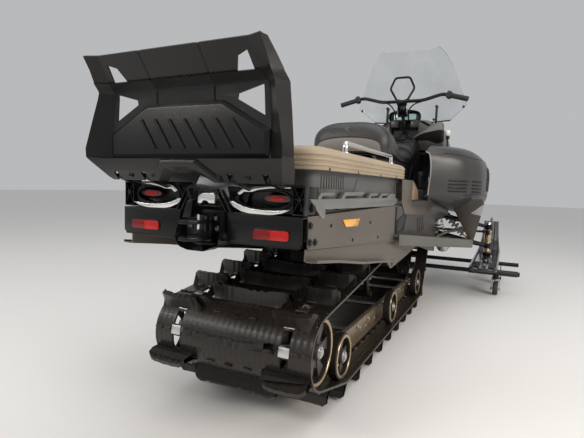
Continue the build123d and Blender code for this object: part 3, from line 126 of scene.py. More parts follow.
def cut_with(obj, cutter):
    """Take a cutter's shape out of a piece, and drop the cutter."""
    modify(obj, "BOOLEAN", object=cutter, operation="DIFFERENCE", solver="EXACT")
    bpy.data.objects.remove(cutter)
    return obj


def cap(obj, test):
    """Close an open end with a face over the edges that pass a test."""
    choose(obj, test, "EDGE")
    bpy.ops.mesh.edge_face_add()
    leave_edit()


def sink(obj, test, rim, shift):
    """Leave a rim round the faces that pass a test, and move what is inside it."""
    choose(obj, test)
    bpy.ops.mesh.inset(thickness=rim)
    bpy.ops.transform.translate(value=shift)
    leave_edit()


def pocket(obj, test, rim, slope, depth):
    """Press a pocket with sloped walls into the faces that pass a test."""
    choose(obj, test)
    bpy.ops.mesh.inset(thickness=rim)
    bpy.ops.mesh.inset(thickness=slope, depth=-depth)
    leave_edit()


def edit_all():
    """Go into edit mode with the whole piece selected."""
    bpy.ops.object.mode_set(mode="EDIT")
    bpy.ops.mesh.select_all(action="SELECT")


def face_out(obj, weld=False):
    """Turn every face outward, after welding doubled points if asked."""
    take(obj)
    edit_all()
    if weld:
        bpy.ops.mesh.remove_doubles(threshold=0.00001)
    bpy.ops.mesh.normals_make_consistent(inside=False)
    leave_edit()


def flat_face(name, places):
    """One flat face through a list of places."""
    deselect()
    bpy.ops.mesh.primitive_circle_add(vertices=len(places), radius=0.1, fill_type="NGON")
    obj = bpy.context.object
    obj.name = name
    for spot, place in zip(obj.data.vertices, places):
        spot.co = Vector(place)
    return obj


def extrude_solid(shift):
    """Extrude the active face into a closed solid with its faces outward."""
    edit_all()
    bpy.ops.mesh.extrude_region_move(TRANSFORM_OT_translate={"value": shift})
    bpy.ops.mesh.select_all(action="SELECT")
    bpy.ops.mesh.normals_make_consistent(inside=False)
    leave_edit()


def sided(sign, points):
    """Points of the right side as they are, or mirrored to the left with sign -1."""
    return [(sign * x, *rest) for x, *rest in points]


def disc(radius, x, steps):
    """A ring of points about the X axis."""
    return [(x, radius * cos(2 * pi * step / steps), radius * sin(2 * pi * step / steps))
        for step in range(steps)]


def block(name, corner, opposite, edge=0.002, segments=2):
    """A box between two opposite corners, with rounded edges."""
    deselect()
    low = Vector([min(pair) for pair in zip(corner, opposite)])
    high = Vector([max(pair) for pair in zip(corner, opposite)])
    bpy.ops.mesh.primitive_cube_add(size=1, location=(low + high) / 2, scale=high - low)
    obj = bpy.context.object
    obj.name = name
    settle(obj)
    return soften(obj, edge, segments) if edge else obj


def rod(name, start, end, radius, sides=24, edge=0.0, end_radius=None):
    """A round bar between two points, tapered if a second radius is given."""
    deselect()
    start, end = Vector(start), Vector(end)
    turn = (end - start).to_track_quat("Z", "Y").to_euler()
    bpy.ops.mesh.primitive_cone_add(vertices=sides, radius1=radius, radius2=end_radius or radius,
        depth=(end - start).length, location=(start + end) / 2, rotation=turn)
    obj = bpy.context.object
    obj.name = name
    settle(obj)
    return soften(obj, edge, 2) if edge else smooth(obj)


def ring(name, centre, axis, radius, thick, sides=48, around=12):
    """A torus about an axis."""
    deselect()
    turn = Vector(axis).to_track_quat("Z", "Y").to_euler()
    bpy.ops.mesh.primitive_torus_add(major_segments=sides, minor_segments=around, major_radius=radius,
        minor_radius=thick, location=centre, rotation=turn)
    obj = bpy.context.object
    obj.name = name
    settle(obj)
    return smooth(obj)


def bent_tube(name, points, radius, closed=False, rounds=6, bend=0.02):
    """A tube along straight runs with rounded corners."""
    curve = bpy.data.curves.new(name, "CURVE")
    curve.dimensions = "3D"
    curve.bevel_depth = radius
    curve.bevel_resolution = 4
    curve.use_fill_caps = True
    path = []
    points = [Vector(p) for p in points]
    for index, point in enumerate(points):
        if not closed and index in (0, len(points) - 1):
            path.append(point)
            continue
        before, after = points[index - 1], points[(index + 1) % len(points)]
        cut = min(bend, (before - point).length * 0.45, (after - point).length * 0.45)
        start = point + (before - point).normalized() * cut
        stop = point + (after - point).normalized() * cut
        for step in range(rounds + 1):
            share = step / rounds
            path.append(start * (1 - share) ** 2 + point * 2 * share * (1 - share) + stop * share ** 2)
    spline = curve.splines.new("POLY")
    spline.points.add(len(path) - 1)
    for spot, place in zip(spline.points, path):
        spot.co = (*place, 1)
    spline.use_cyclic_u = closed
    obj = bpy.data.objects.new(name, curve)
    bpy.context.scene.collection.objects.link(obj)
    take(obj)
    bpy.ops.object.convert(target="MESH")
    return smooth(bpy.context.object, 40)


def skin(name, rows, thick=0.0, closed=False, side=1):
    """A sheet made by extruding one edge line through stations; each row lists its points."""
    deselect()
    bpy.ops.mesh.primitive_circle_add(vertices=len(rows[0]), radius=0.1)
    obj = bpy.context.object
    obj.name = name
    bpy.ops.object.mode_set(mode="EDIT")
    mesh = bmesh.from_edit_mesh(obj.data)
    mesh.verts.ensure_lookup_table()
    for spot, place in zip(mesh.verts, rows[0]):
        spot.co = Vector(place)
    if not closed:
        mesh.edges.ensure_lookup_table()
        last = [e for e in mesh.edges if {e.verts[0].index, e.verts[1].index} == {0, len(rows[0]) - 1}]
        mesh.edges.remove(last[0])
    bmesh.update_edit_mesh(obj.data)
    bpy.ops.mesh.select_all(action="SELECT")
    for row in rows[1:]:
        count = len(mesh.verts)
        bpy.ops.mesh.extrude_edges_move()
        mesh = bmesh.from_edit_mesh(obj.data)
        mesh.verts.ensure_lookup_table()
        for spot, place in zip(list(mesh.verts)[count:], row):
            spot.co = Vector(place)
        bmesh.update_edit_mesh(obj.data)
    bpy.ops.mesh.select_all(action="SELECT")
    bpy.ops.mesh.normals_make_consistent(inside=False)
    leave_edit()
    if thick:
        thicken(obj, thick, side)
    return smooth(obj)


def merge(name, pieces):
    """Join finished pieces into one object."""
    pieces = [p for p in pieces if p]
    deselect()
    for piece in pieces:
        piece.select_set(True)
    bpy.context.view_layer.objects.active = pieces[0]
    if len(pieces) > 1:
        bpy.ops.object.join()
    obj = bpy.context.object
    obj.name = name
    return obj


def copy_of(obj, move=(0, 0, 0), name=None):
    """A copy with its own mesh, moved to its place."""
    twin = obj.copy()
    twin.data = obj.data.copy()
    bpy.context.scene.collection.objects.link(twin)
    twin.location = Vector(move)
    if name:
        twin.name = name
    return settle(twin)


def mirrored(obj):
    """The other side's copy of a piece."""
    twin = obj.copy()
    twin.data = obj.data.copy()
    bpy.context.scene.collection.objects.link(twin)
    twin.scale = (-1, 1, 1)
    settle(twin)
    edit_all()
    bpy.ops.mesh.flip_normals()
    leave_edit()
    return twin


def dress(obj, material, body, slot, *nodes):
    """Give a finished piece its material and its body, and hide what it stands for; the slot is not used."""
    obj.data.materials.clear()
    obj.data.materials.append(material)
    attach(obj, body)
    if nodes:
        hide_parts(*nodes)
    return obj


def assemble(name, parts, material, slot, *nodes, body="chassis"):
    """Join the parts into one piece and dress it."""
    return dress(merge(name, parts), material, body, slot, *nodes)


def ring_tube(name, centre, inner, outer, tall, axis=(0, 0, 1)):
    """A short open tube standing along an axis."""
    rows = []
    half = tall / 2
    for radius, place in ((outer, -half + 0.001), (outer - 0.001, -half), (inner + 0.001, -half),
            (inner, -half + 0.001), (inner, half - 0.001), (inner + 0.001, half), (outer - 0.001, half),
            (outer, half - 0.001), (outer, -half + 0.001)):
        rows.append([(across, up, place) for _, across, up in disc(radius, 0.0, 40)])
    tube = skin(name, rows, closed=True)
    turn = Vector((0, 0, 1)).rotation_difference(Vector(axis)).to_matrix().to_4x4()
    tube.data.transform(Matrix.Translation(Vector(centre)) @ turn)
    face_out(tube, weld=True)
    return smooth(tube)


# Surface effects shared by the materials

def effect(name, inputs, outputs):
    """A new shader node group with named sockets."""
    group = bpy.data.node_groups.new(name, "ShaderNodeTree")
    for label, kind, value in inputs:
        socket = group.interface.new_socket(name=label, in_out="INPUT", socket_type=kind)
        if value is not None:
            socket.default_value = value
    for label, kind in outputs:
        group.interface.new_socket(name=label, in_out="OUTPUT", socket_type=kind)
    return group, group.nodes.new("NodeGroupInput"), group.nodes.new("NodeGroupOutput")


def maths(group, operation, first, second, clamp=False):
    """A maths node; each of its two inputs is a socket or a number."""
    node = group.nodes.new("ShaderNodeMath")
    node.operation = operation
    node.use_clamp = clamp
    for slot_number, value in enumerate((first, second)):
        if hasattr(value, "is_output"):
            group.links.new(value, node.inputs[slot_number])
        elif value is not None:
            node.inputs[slot_number].default_value = value
    return node.outputs[0]


def make_tone_drift():
    """Slow change of colour and roughness over a surface."""
    group, start, end = effect("tone drift", (("Coordinate", "NodeSocketVector", None),
            ("Base", "NodeSocketColor", (0.5, 0.5, 0.5, 1)), ("Scale", "NodeSocketFloat", 6.0),
            ("Amount", "NodeSocketFloat", 0.15), ("Roughness", "NodeSocketFloat", 0.5)),
        (("Color", "NodeSocketColor"), ("Roughness", "NodeSocketFloat")))
    noise = group.nodes.new("ShaderNodeTexNoise")
    noise.inputs["Detail"].default_value = 5
    noise.inputs["Roughness"].default_value = 0.6
    group.links.new(start.outputs["Coordinate"], noise.inputs["Vector"])
    group.links.new(start.outputs["Scale"], noise.inputs["Scale"])
    swing = maths(group, "SUBTRACT", noise.outputs["Fac"], 0.5)
    swing = maths(group, "MULTIPLY", swing, start.outputs["Amount"])
    shade = group.nodes.new("ShaderNodeHueSaturation")
    group.links.new(start.outputs["Base"], shade.inputs["Color"])
    group.links.new(maths(group, "ADD", maths(group, "MULTIPLY", swing, 2.4), 1.0), shade.inputs["Value"])
    group.links.new(shade.outputs["Color"], end.inputs["Color"])
    group.links.new(maths(group, "ADD", start.outputs["Roughness"], swing, True), end.inputs["Roughness"])
    return group


def make_moulding_grain():
    """Fine pebbled grain of moulded plastic, as a height."""
    group, start, end = effect("moulding grain", (("Coordinate", "NodeSocketVector", None),
            ("Scale", "NodeSocketFloat", 900.0)), (("Height", "NodeSocketFloat"),))
    cells = group.nodes.new("ShaderNodeTexVoronoi")
    cells.feature = "SMOOTH_F1"
    group.links.new(start.outputs["Coordinate"], cells.inputs["Vector"])
    group.links.new(start.outputs["Scale"], cells.inputs["Scale"])
    noise = group.nodes.new("ShaderNodeTexNoise")
    noise.inputs["Detail"].default_value = 3
    group.links.new(start.outputs["Coordinate"], noise.inputs["Vector"])
    group.links.new(maths(group, "MULTIPLY", start.outputs["Scale"], 0.4), noise.inputs["Scale"])
    group.links.new(maths(group, "ADD", cells.outputs["Distance"], noise.outputs["Fac"]),
        end.inputs["Height"])
    return group


def make_scuffs():
    """Thin pale scratches and rubbed patches, as a mask."""
    group, start, end = effect("scuffs", (("Coordinate", "NodeSocketVector", None),
            ("Scale", "NodeSocketFloat", 30.0), ("Threshold", "NodeSocketFloat", 0.62)),
        (("Mask", "NodeSocketFloat"),))
    stretch = group.nodes.new("ShaderNodeMapping")
    stretch.inputs["Scale"].default_value = (1.0, 0.25, 2.5)
    stretch.inputs["Rotation"].default_value = (0.3, 0.2, 0.5)
    group.links.new(start.outputs["Coordinate"], stretch.inputs["Vector"])
    noise = group.nodes.new("ShaderNodeTexNoise")
    noise.inputs["Detail"].default_value = 8
    noise.inputs["Roughness"].default_value = 0.7
    group.links.new(stretch.outputs["Vector"], noise.inputs["Vector"])
    group.links.new(start.outputs["Scale"], noise.inputs["Scale"])
    over = maths(group, "SUBTRACT", noise.outputs["Fac"], start.outputs["Threshold"])
    group.links.new(maths(group, "MULTIPLY", over, 6.0, True), end.inputs["Mask"])
    return group


def make_fine_lines():
    """Parallel fine lines along one direction, as a height."""
    group, start, end = effect("fine lines", (("Coordinate", "NodeSocketVector", None),
            ("Scale", "NodeSocketFloat", 200.0)), (("Height", "NodeSocketFloat"),))
    wave = group.nodes.new("ShaderNodeTexWave")
    wave.bands_direction = "X"
    wave.inputs["Distortion"].default_value = 0.6
    wave.inputs["Detail"].default_value = 2
    group.links.new(start.outputs["Coordinate"], wave.inputs["Vector"])
    group.links.new(start.outputs["Scale"], wave.inputs["Scale"])
    group.links.new(wave.outputs["Fac"], end.inputs["Height"])
    return group


TONE, GRAIN, SCUFF, LINES = make_tone_drift(), make_moulding_grain(), make_scuffs(), make_fine_lines()


def surface(name, base, rough, metal=0.0, drift=0.15, drift_scale=6.0, grain=0.0, grain_scale=900.0,
        lines=0.0, line_scale=200.0, line_turn=(0, 0, 0), scuff=0.0, scuff_colour=(0.4, 0.4, 0.4),
        scuff_scale=30.0, coat=0.0, specular=0.5):
    """A material for one finish, put together from the shared effects."""
    material = bpy.data.materials.new(name)
    material.use_nodes = True
    tree = material.node_tree
    shader = tree.nodes["Principled BSDF"]
    shader.inputs["Metallic"].default_value = metal
    shader.inputs["Specular IOR Level"].default_value = specular
    shader.inputs["Coat Weight"].default_value = coat
    shader.inputs["Coat Roughness"].default_value = 0.08
    place = tree.nodes.new("ShaderNodeTexCoord").outputs["Object"]
    tone = tree.nodes.new("ShaderNodeGroup")
    tone.node_tree = TONE
    tree.links.new(place, tone.inputs["Coordinate"])
    tone.inputs["Base"].default_value = (*base, 1)
    tone.inputs["Scale"].default_value = drift_scale
    tone.inputs["Amount"].default_value = drift
    tone.inputs["Roughness"].default_value = rough
    colour = tone.outputs["Color"]
    tree.links.new(tone.outputs["Roughness"], shader.inputs["Roughness"])
    if scuff:
        marks = tree.nodes.new("ShaderNodeGroup")
        marks.node_tree = SCUFF
        tree.links.new(place, marks.inputs["Coordinate"])
        marks.inputs["Scale"].default_value = scuff_scale
        mix = tree.nodes.new("ShaderNodeMix")
        mix.data_type = "RGBA"
        tree.links.new(maths(tree, "MULTIPLY", marks.outputs["Mask"], scuff), mix.inputs["Factor"])
        tree.links.new(colour, mix.inputs[6])
        mix.inputs[7].default_value = (*scuff_colour, 1)
        colour = mix.outputs[2]
    tree.links.new(colour, shader.inputs["Base Color"])
    heights = []
    if grain:
        pebble = tree.nodes.new("ShaderNodeGroup")
        pebble.node_tree = GRAIN
        tree.links.new(place, pebble.inputs["Coordinate"])
        pebble.inputs["Scale"].default_value = grain_scale
        heights.append((pebble.outputs["Height"], grain))
    if lines:
        turned = tree.nodes.new("ShaderNodeMapping")
        turned.inputs["Rotation"].default_value = line_turn
        tree.links.new(place, turned.inputs["Vector"])
        strokes = tree.nodes.new("ShaderNodeGroup")
        strokes.node_tree = LINES
        tree.links.new(turned.outputs["Vector"], strokes.inputs["Coordinate"])
        strokes.inputs["Scale"].default_value = line_scale
        heights.append((strokes.outputs["Height"], lines))
    normal = None
    for height, depth in heights:
        bump = tree.nodes.new("ShaderNodeBump")
        bump.inputs["Strength"].default_value = 0.6
        bump.inputs["Distance"].default_value = depth
        tree.links.new(height, bump.inputs["Height"])
        if normal:
            tree.links.new(normal, bump.inputs["Normal"])
        normal = bump.outputs["Normal"]
    if normal:
        tree.links.new(normal, shader.inputs["Normal"])
    return material


def clear_sheet(name, colour, weight):
    """Clear plastic and glass; weight is the share of light that passes."""
    material = surface(name, colour, 0.05, drift=0.1, specular=0.6)
    shader = material.node_tree.nodes["Principled BSDF"]
    shader.inputs["Transmission Weight"].default_value = weight
    shader.inputs["IOR"].default_value = 1.2
    return material


RUBBER = surface("track rubber", (0.021, 0.0165, 0.0135), 0.30, drift=0.32, drift_scale=11, grain=0.0002,
    grain_scale=420, lines=0.0008, line_scale=17, scuff=0.28, scuff_colour=(0.15, 0.12, 0.095),
    scuff_scale=14, specular=0.42)
WHEEL = surface("track wheel plastic", (0.055, 0.052, 0.05), 0.5, drift=0.2, grain=0.0002, scuff=0.3,
    scuff_colour=(0.25, 0.2, 0.15))
STEEL = surface("bare steel", (0.62, 0.61, 0.6), 0.3, metal=1.0, drift=0.2, drift_scale=14, lines=0.0001,
    line_scale=600, scuff=0.3, scuff_colour=(0.35, 0.33, 0.3))
RAIL = surface("bronze slide rail", (0.34, 0.27, 0.19), 0.42, metal=0.75, drift=0.2, grain=0.0001, scuff=0.3,
    scuff_colour=(0.55, 0.5, 0.42))
FRAME = surface("satin black frame paint", (0.006, 0.006, 0.0062), 0.24, drift=0.12, grain=0.0001,
    grain_scale=1400, scuff=0.06, scuff_colour=(0.10, 0.10, 0.10), specular=0.28)
SPRING = surface("shock spring paint", (0.16, 0.16, 0.17), 0.35, metal=0.3, drift=0.15, grain=0.0001)
TUNNEL = surface("satin tunnel aluminium", (0.200, 0.176, 0.148), 0.40, metal=0.7, drift=0.18, drift_scale=3,
    lines=0.00008, line_scale=900, line_turn=(0, 0, 1.57), scuff=0.12, scuff_colour=(0.45, 0.43, 0.4))
TRIM = surface("grained black plastic", (0.0072, 0.0068, 0.0066), 0.29, drift=0.2, drift_scale=4,
    grain=0.0003, grain_scale=700, scuff=0.08, scuff_colour=(0.08, 0.075, 0.07), scuff_scale=9, specular=0.34)
RED = surface("red lens", (0.52, 0.010, 0.008), 0.2, drift=0.1, coat=0.25, lines=0.0006, line_scale=120,
    specular=0.3)
TUB = surface("dark grey tub", (0.105, 0.103, 0.102), 0.5, drift=0.15, grain=0.0003, grain_scale=800)
DECK = surface("tan deck plastic", (0.37, 0.295, 0.205), 0.52, drift=0.16, drift_scale=5, grain=0.0003,
    grain_scale=700, scuff=0.15, scuff_colour=(0.62, 0.56, 0.45))
CHROME = surface("polished rail", (0.85, 0.85, 0.86), 0.1, metal=1.0, drift=0.06, drift_scale=20)
SEAT = surface("dark seat vinyl", (0.034, 0.033, 0.033), 0.42, drift=0.12, grain=0.0006, grain_scale=480)
BODY = surface("dark grey body panel", (0.042, 0.041, 0.041), 0.30, drift=0.12, drift_scale=3, grain=0.0002,
    grain_scale=900, scuff=0.08, scuff_colour=(0.2, 0.2, 0.2))
SCREEN = clear_sheet("clear windshield", (0.86, 0.89, 0.9), 0.93)
LAMP = clear_sheet("lamp glass", (0.9, 0.92, 0.95), 0.6)
BOARD = surface("running board aluminium", (0.20, 0.188, 0.168), 0.42, metal=0.75, drift=0.2, lines=0.0001,
    line_scale=700, line_turn=(0, 0, 1.57), scuff=0.25, scuff_colour=(0.7, 0.68, 0.62))
CAST = surface("cast engine", (0.12, 0.12, 0.125), 0.6, metal=0.6, drift=0.2, grain=0.0006, grain_scale=350)
GRIP = surface("grip rubber", (0.022, 0.022, 0.022), 0.7, drift=0.2, grain=0.0005, grain_scale=420)
SKI = surface("glossy ski plastic", (0.018, 0.018, 0.020), 0.16, drift=0.08, coat=0.7, scuff=0.12,
    scuff_colour=(0.2, 0.2, 0.2))
FORK = surface("zinc caster steel", (0.5, 0.5, 0.51), 0.35, metal=0.9, drift=0.2, drift_scale=20)
CASTER = surface("caster rubber", (0.035, 0.035, 0.036), 0.6, drift=0.25, grain=0.0003)
FINISHES = {"track_rubber": RUBBER, "wheel_plastic": WHEEL, "steel_bright": STEEL, "rail_metal": RAIL,
    "frame_black": FRAME, "shock_metal": SPRING, "tunnel_metal": TUNNEL, "trim_black": TRIM, "lens_red": RED,
    "tub_grey": TUB, "deck_tan": DECK, "rail_chrome": CHROME, "seat_cover": SEAT, "body_grey": BODY,
    "screen_clear": SCREEN, "lamp_clear": LAMP, "board_metal": BOARD, "engine_cast": CAST,
    "grip_rubber": GRIP, "ski_gloss": SKI, "fork_steel": FORK, "caster_rubber": CASTER}
for part in frame["record"]["subparts"]:
    node = NODES[part["node"]]
    node.data.materials.clear()
    node.data.materials.append(FINISHES[part["material_slot"]])


# Floor, light and camera

def plain(name, colour):
    """Plain pale material of the floor."""
    material = bpy.data.materials.new(name)
    material.use_nodes = True
    shader = material.node_tree.nodes["Principled BSDF"]
    shader.inputs["Base Color"].default_value = (*colour, 1)
    shader.inputs["Roughness"].default_value = 0.7
    return material


deselect()
bpy.ops.mesh.primitive_plane_add(size=40, location=(0, 0, -0.0005))
floor = settle(bpy.context.object)
floor.name = "studio_floor"
floor.data.materials.append(plain("pale floor", (0.80, 0.79, 0.77)))

world = bpy.data.worlds.new("studio world")
bpy.context.scene.world = world
world.use_nodes = True
world.node_tree.nodes["Background"].inputs["Color"].default_value = (0.93, 0.94, 0.96, 1)
world.node_tree.nodes["Background"].inputs["Strength"].default_value = 0.52


def lamp(name, place, aim, size, power, colour=(1, 1, 1)):
    """A soft rectangular lamp that points at a spot."""
    deselect()
    bpy.ops.object.light_add(type="AREA", location=place)
    obj = bpy.context.object
    obj.name = name
    obj.data.shape = "RECTANGLE"
    obj.data.size, obj.data.size_y = size
    obj.data.energy = power
    obj.data.color = colour
    obj.rotation_euler = (Vector(aim) - Vector(place)).to_track_quat("-Z", "Y").to_euler()
    return obj


lamp("overhead lamp", (0.6, -0.6, 3.6), (0, 0, 0.6), (3.2, 4.2), 60)
lamp("rear lamp", (-2.2, -3.6, 2.4), (0, -0.8, 0.5), (1.6, 0.9), 46, (1.0, 0.96, 0.9))
lamp("right lamp", (3.2, -1.4, 1.7), (0.2, -0.3, 0.5), (2.4, 0.8), 60, (1.0, 0.92, 0.82))

camera_data = bpy.data.cameras.new("photo camera")
camera = bpy.data.objects.new("photo camera", camera_data)
bpy.context.scene.collection.objects.link(camera)
camera_data.sensor_width = 36.0
camera_data.lens = 27.32
camera.matrix_world = Matrix(((0.8985, -0.0612, 0.4349, 0.658), (0.4381, 0.0569, -0.8971, -2.344),
        (0.0301, 0.9965, 0.0779, 0.649), (0, 0, 0, 1)))
bpy.context.scene.camera = camera
bpy.context.scene.view_settings.view_transform = "Standard"


# Snow flap: a folded moulded panel with wings, a raised middle and four windows

def flap_row(z, middle, fold_x, ridge_x, ridge, side_x, side):
    """One level of the flap: its points from the left flange to the right flange."""
    groove = 0.0035 if z > 0.78 else 0.0
    half = ((side_x, side), (ridge_x, ridge), (fold_x, middle), (0.083, middle), (0.080, middle + groove),
        (0.077, middle), (0.0, middle))
    return [Vector((-x, y, z)) for x, y in half[:-1]] + [Vector((x, y, z)) for x, y in half[::-1]]


def cut_prism(obj, outline, y_low, y_high):
    """Cut a straight opening with an x, z outline through a standing panel."""
    cutter = flat_face("cutter", [(x, y_low, z) for x, z in outline])
    extrude_solid((0, y_high - y_low, 0))
    return cut_with(obj, cutter)


def plate(name, outline, depth, edge=0.002, plane="XZ", at=0.0):
    """A flat plate from an outline, given thickness along its plane's normal."""
    spread = {"XZ": lambda a, b: (a, at, b), "YZ": lambda a, b: (at, a, b),
        "XY": lambda a, b: (a, b, at)}[plane]
    push = {"XZ": (0, depth, 0), "YZ": (depth, 0, 0), "XY": (0, 0, depth)}[plane]
    obj = flat_face(name, [spread(a, b) for a, b in outline])
    extrude_solid(push)
    return soften(obj, edge) if edge else obj


EAR_SLOT = 0.014          # width of the slots round the bumper's ears


def make_snow_flap():
    rows = [flap_row(*row) for row in (
        # z, y of the middle, x of the fold, x and y of the wing's ridge, x and y of its side flange
        (0.6480, -1.5350, 0.212, 0.240, -1.530, 0.2525, -1.503),
        (0.6550, -1.5415, 0.214, 0.244, -1.541, 0.2560, -1.508),
        (0.6720, -1.5560, 0.218, 0.253, -1.560, 0.2640, -1.524),
        (0.6900, -1.5700, 0.221, 0.262, -1.580, 0.2715, -1.543),
        (0.6980, -1.5740, 0.222, 0.2665, -1.588, 0.2745, -1.552),
        (0.7015, -1.5530, 0.222, 0.2675, -1.590, 0.2755, -1.555),
        (0.7210, -1.5500, 0.222, 0.268, -1.591, 0.2755, -1.556),
        (0.7900, -1.5500, 0.219, 0.2525, -1.583, 0.2650, -1.546),
        (0.8400, -1.5500, 0.214, 0.241, -1.577, 0.2560, -1.538),
        (0.8530, -1.5510, 0.213, 0.239, -1.576, 0.2540, -1.536),
        (0.8580, -1.5560, 0.211, 0.2385, -1.579, 0.2532, -1.541),
        (0.8720, -1.5770, 0.206, 0.2375, -1.592, 0.2500, -1.556),
        (0.8750, -1.5730, 0.206, 0.2373, -1.592, 0.2495, -1.557),
        (0.9000, -1.5920, 0.203, 0.235, -1.606, 0.2430, -1.577),
        (0.9255, -1.6130, 0.200, 0.233, -1.625, 0.2368, -1.603),
    )]
    panel = skin("snow_flap_panel", rows)
    thicken(panel, 0.005, -1)
    for sign in (-1, 1):
        cut_prism(panel, sided(sign, ((0.202, 0.851), (0.140, 0.835), (0.138, 0.824), (0.206, 0.787))), -1.62,
            -1.50)
        cut_prism(panel, sided(sign, ((0.188, 0.908), (0.162, 0.900), (0.150, 0.8745), (0.192, 0.8745))),
            -1.66, -1.52)
        for place in (0.122, 0.210):
            low_x, high_x = place - EAR_SLOT / 2, place + EAR_SLOT / 2
            cut_prism(panel, sided(sign, ((low_x, 0.64), (low_x, 0.6670), (high_x, 0.6670), (high_x, 0.64))),
                -1.60, -1.50)
    cut_prism(panel, [(-0.081, 0.640), (-0.043, 0.6815), (0.043, 0.6815), (0.081, 0.640)], -1.60, -1.50)
    soften(panel, 0.0012, 2, 28)
    middle = plate("raised_middle", [(-0.220, 0.7005), (-0.220, 0.758), (-0.106, 0.823), (0.106, 0.823),
            (0.220, 0.758), (0.220, 0.7005)], 0.009, 0.0, at=-1.559)
    border = {round(spot.co.x, 4) for spot in middle.data.vertices}
    choose(middle, lambda p, n: n.y < -0.9)
    bpy.ops.mesh.inset(thickness=0.010)
    leave_edit()
    for spot in middle.data.vertices:
        if spot.co.y < -1.558 and round(spot.co.x, 4) in border:
            spot.co.y += 0.006
    soften(middle, 0.0010, 2, 20)
    ribs = []
    for number in range(7):
        start = -0.125 + number * 0.042
        ribs.append(plate(f"raised_bar_{number}", [(start, 0.790 - 0.001 * number),
                (start + 0.009, 0.790 - 0.001 * number), (start + 0.052, 0.722), (start + 0.043, 0.722)],
                0.0055, 0.0016, at=-1.5630))
    arch_rows = []
    for low_x, top_x, top_z, lift in ((0.098, 0.053, 0.6950, -0.001), (0.092, 0.049, 0.6900, 0.006),
            (0.080, 0.043, 0.6815, 0.006), (0.066, 0.036, 0.6690, -0.012)):
        half = [(low_x, 0.6490), (low_x * 0.6 + top_x * 0.4, 0.6490 + (top_z - 0.6490) * 0.42),
            (top_x + 0.004, top_z - 0.005), (top_x - 0.003, top_z), (top_x * 0.4, top_z)]
        arch_rows.append([(x, -1.536 - (z - 0.648) * 0.82 - lift, z) for x, z in half]
            + [(-x, -1.536 - (z - 0.648) * 0.82 - lift, z) for x, z in half[::-1]])
    arch = skin("notch_rim", arch_rows)
    thicken(arch, 0.004, 0)
    soften(arch, 0.001, 2, 30)
    hinge = [rod("flap_rod", (sign * 0.074, -1.530, 0.660), (sign * 0.222, -1.530, 0.660), 0.007, 20, 0.001)
        for sign in (-1, 1)]
    for place in (-0.165, -0.092, 0.092, 0.165):
        hinge.append(plate("flap_rib", [(-1.526, 0.654), (-1.526, 0.666), (-1.549, 0.706), (-1.549, 0.656)],
                0.012, 0.001, "YZ", place - 0.006))
    whole = merge("snow_flap_moulding", [panel, middle] + ribs + [arch] + hinge)
    return dress(smooth(whole, 16), TRIM, "rear_flap", "trim_black", "snow_flap")


make_snow_flap()


# Track: one belt with windows, clips and three staggered rows of lugs

TRACK_CIRCLES = (
    # y, z, radius of the belt's outer face
    (-1.268, 0.203, 0.102),
    (-1.069, 0.124, 0.080),
    (0.172, 0.124, 0.080),
    (0.335, 0.400, 0.095),
)
ROWS = 54
BELT_HALF, CLIP_X = 0.249, 0.173      # half the belt's width, and the middle of its windows


def belt_runs():
    """Straight runs and wraps of the belt's outer face."""
    count, normals, runs = len(TRACK_CIRCLES), [], []
    for index, (ay, az, ar) in enumerate(TRACK_CIRCLES):
        by, bz, br = TRACK_CIRCLES[(index + 1) % count]
        span = hypot(by - ay, bz - az)
        dy, dz, lean = (by - ay) / span, (bz - az) / span, (ar - br) / span
        side = sqrt(1 - lean * lean)
        normals.append((dz * side + dy * lean, -dy * side + dz * lean))
    for index, (ay, az, ar) in enumerate(TRACK_CIRCLES):
        by, bz, br = TRACK_CIRCLES[(index + 1) % count]
        (ny, nz), (my, mz) = normals[index], normals[(index + 1) % count]
        runs.append(("line", (ay + ar * ny, az + ar * nz), (by + br * ny, bz + br * nz), (ny, nz)))
        first, last = atan2(nz, ny), atan2(mz, my)
        runs.append(("arc", (by, bz), br, (first, last if last > first else last + 2 * pi)))
    return runs


def run_length(run):
    if run[0] == "line":
        return hypot(run[2][0] - run[1][0], run[2][1] - run[1][1])
    return run[2] * (run[3][1] - run[3][0])


RUNS = belt_runs()
LOOP = sum(run_length(run) for run in RUNS)
STEP = LOOP / ROWS


def on_belt(distance):
    """Point on the belt's outer face and its outward normal, at a distance along the loop."""
    distance = distance % LOOP
    for run in RUNS:
        length = run_length(run)
        if distance <= length:
            share = distance / length
            if run[0] == "line":
                (ay, az), (by, bz) = run[1], run[2]
                return (ay + (by - ay) * share, az + (bz - az) * share), run[3]
            angle = run[3][0] + (run[3][1] - run[3][0]) * share
            return (run[1][0] + run[2] * cos(angle), run[1][1] + run[2] * sin(angle)), (cos(angle),
                sin(angle))
        distance -= length
    return on_belt(0)


def wrap(obj, distance):
    """Lay a piece that was built flat (x across, y along, z out) round the belt at a distance."""
    for spot in obj.data.vertices:
        (py, pz), (ny, nz) = on_belt(distance + spot.co.y)
        spot.co = Vector((spot.co.x, py + spot.co.z * ny, pz + spot.co.z * nz))
    obj.data.update()
    return obj


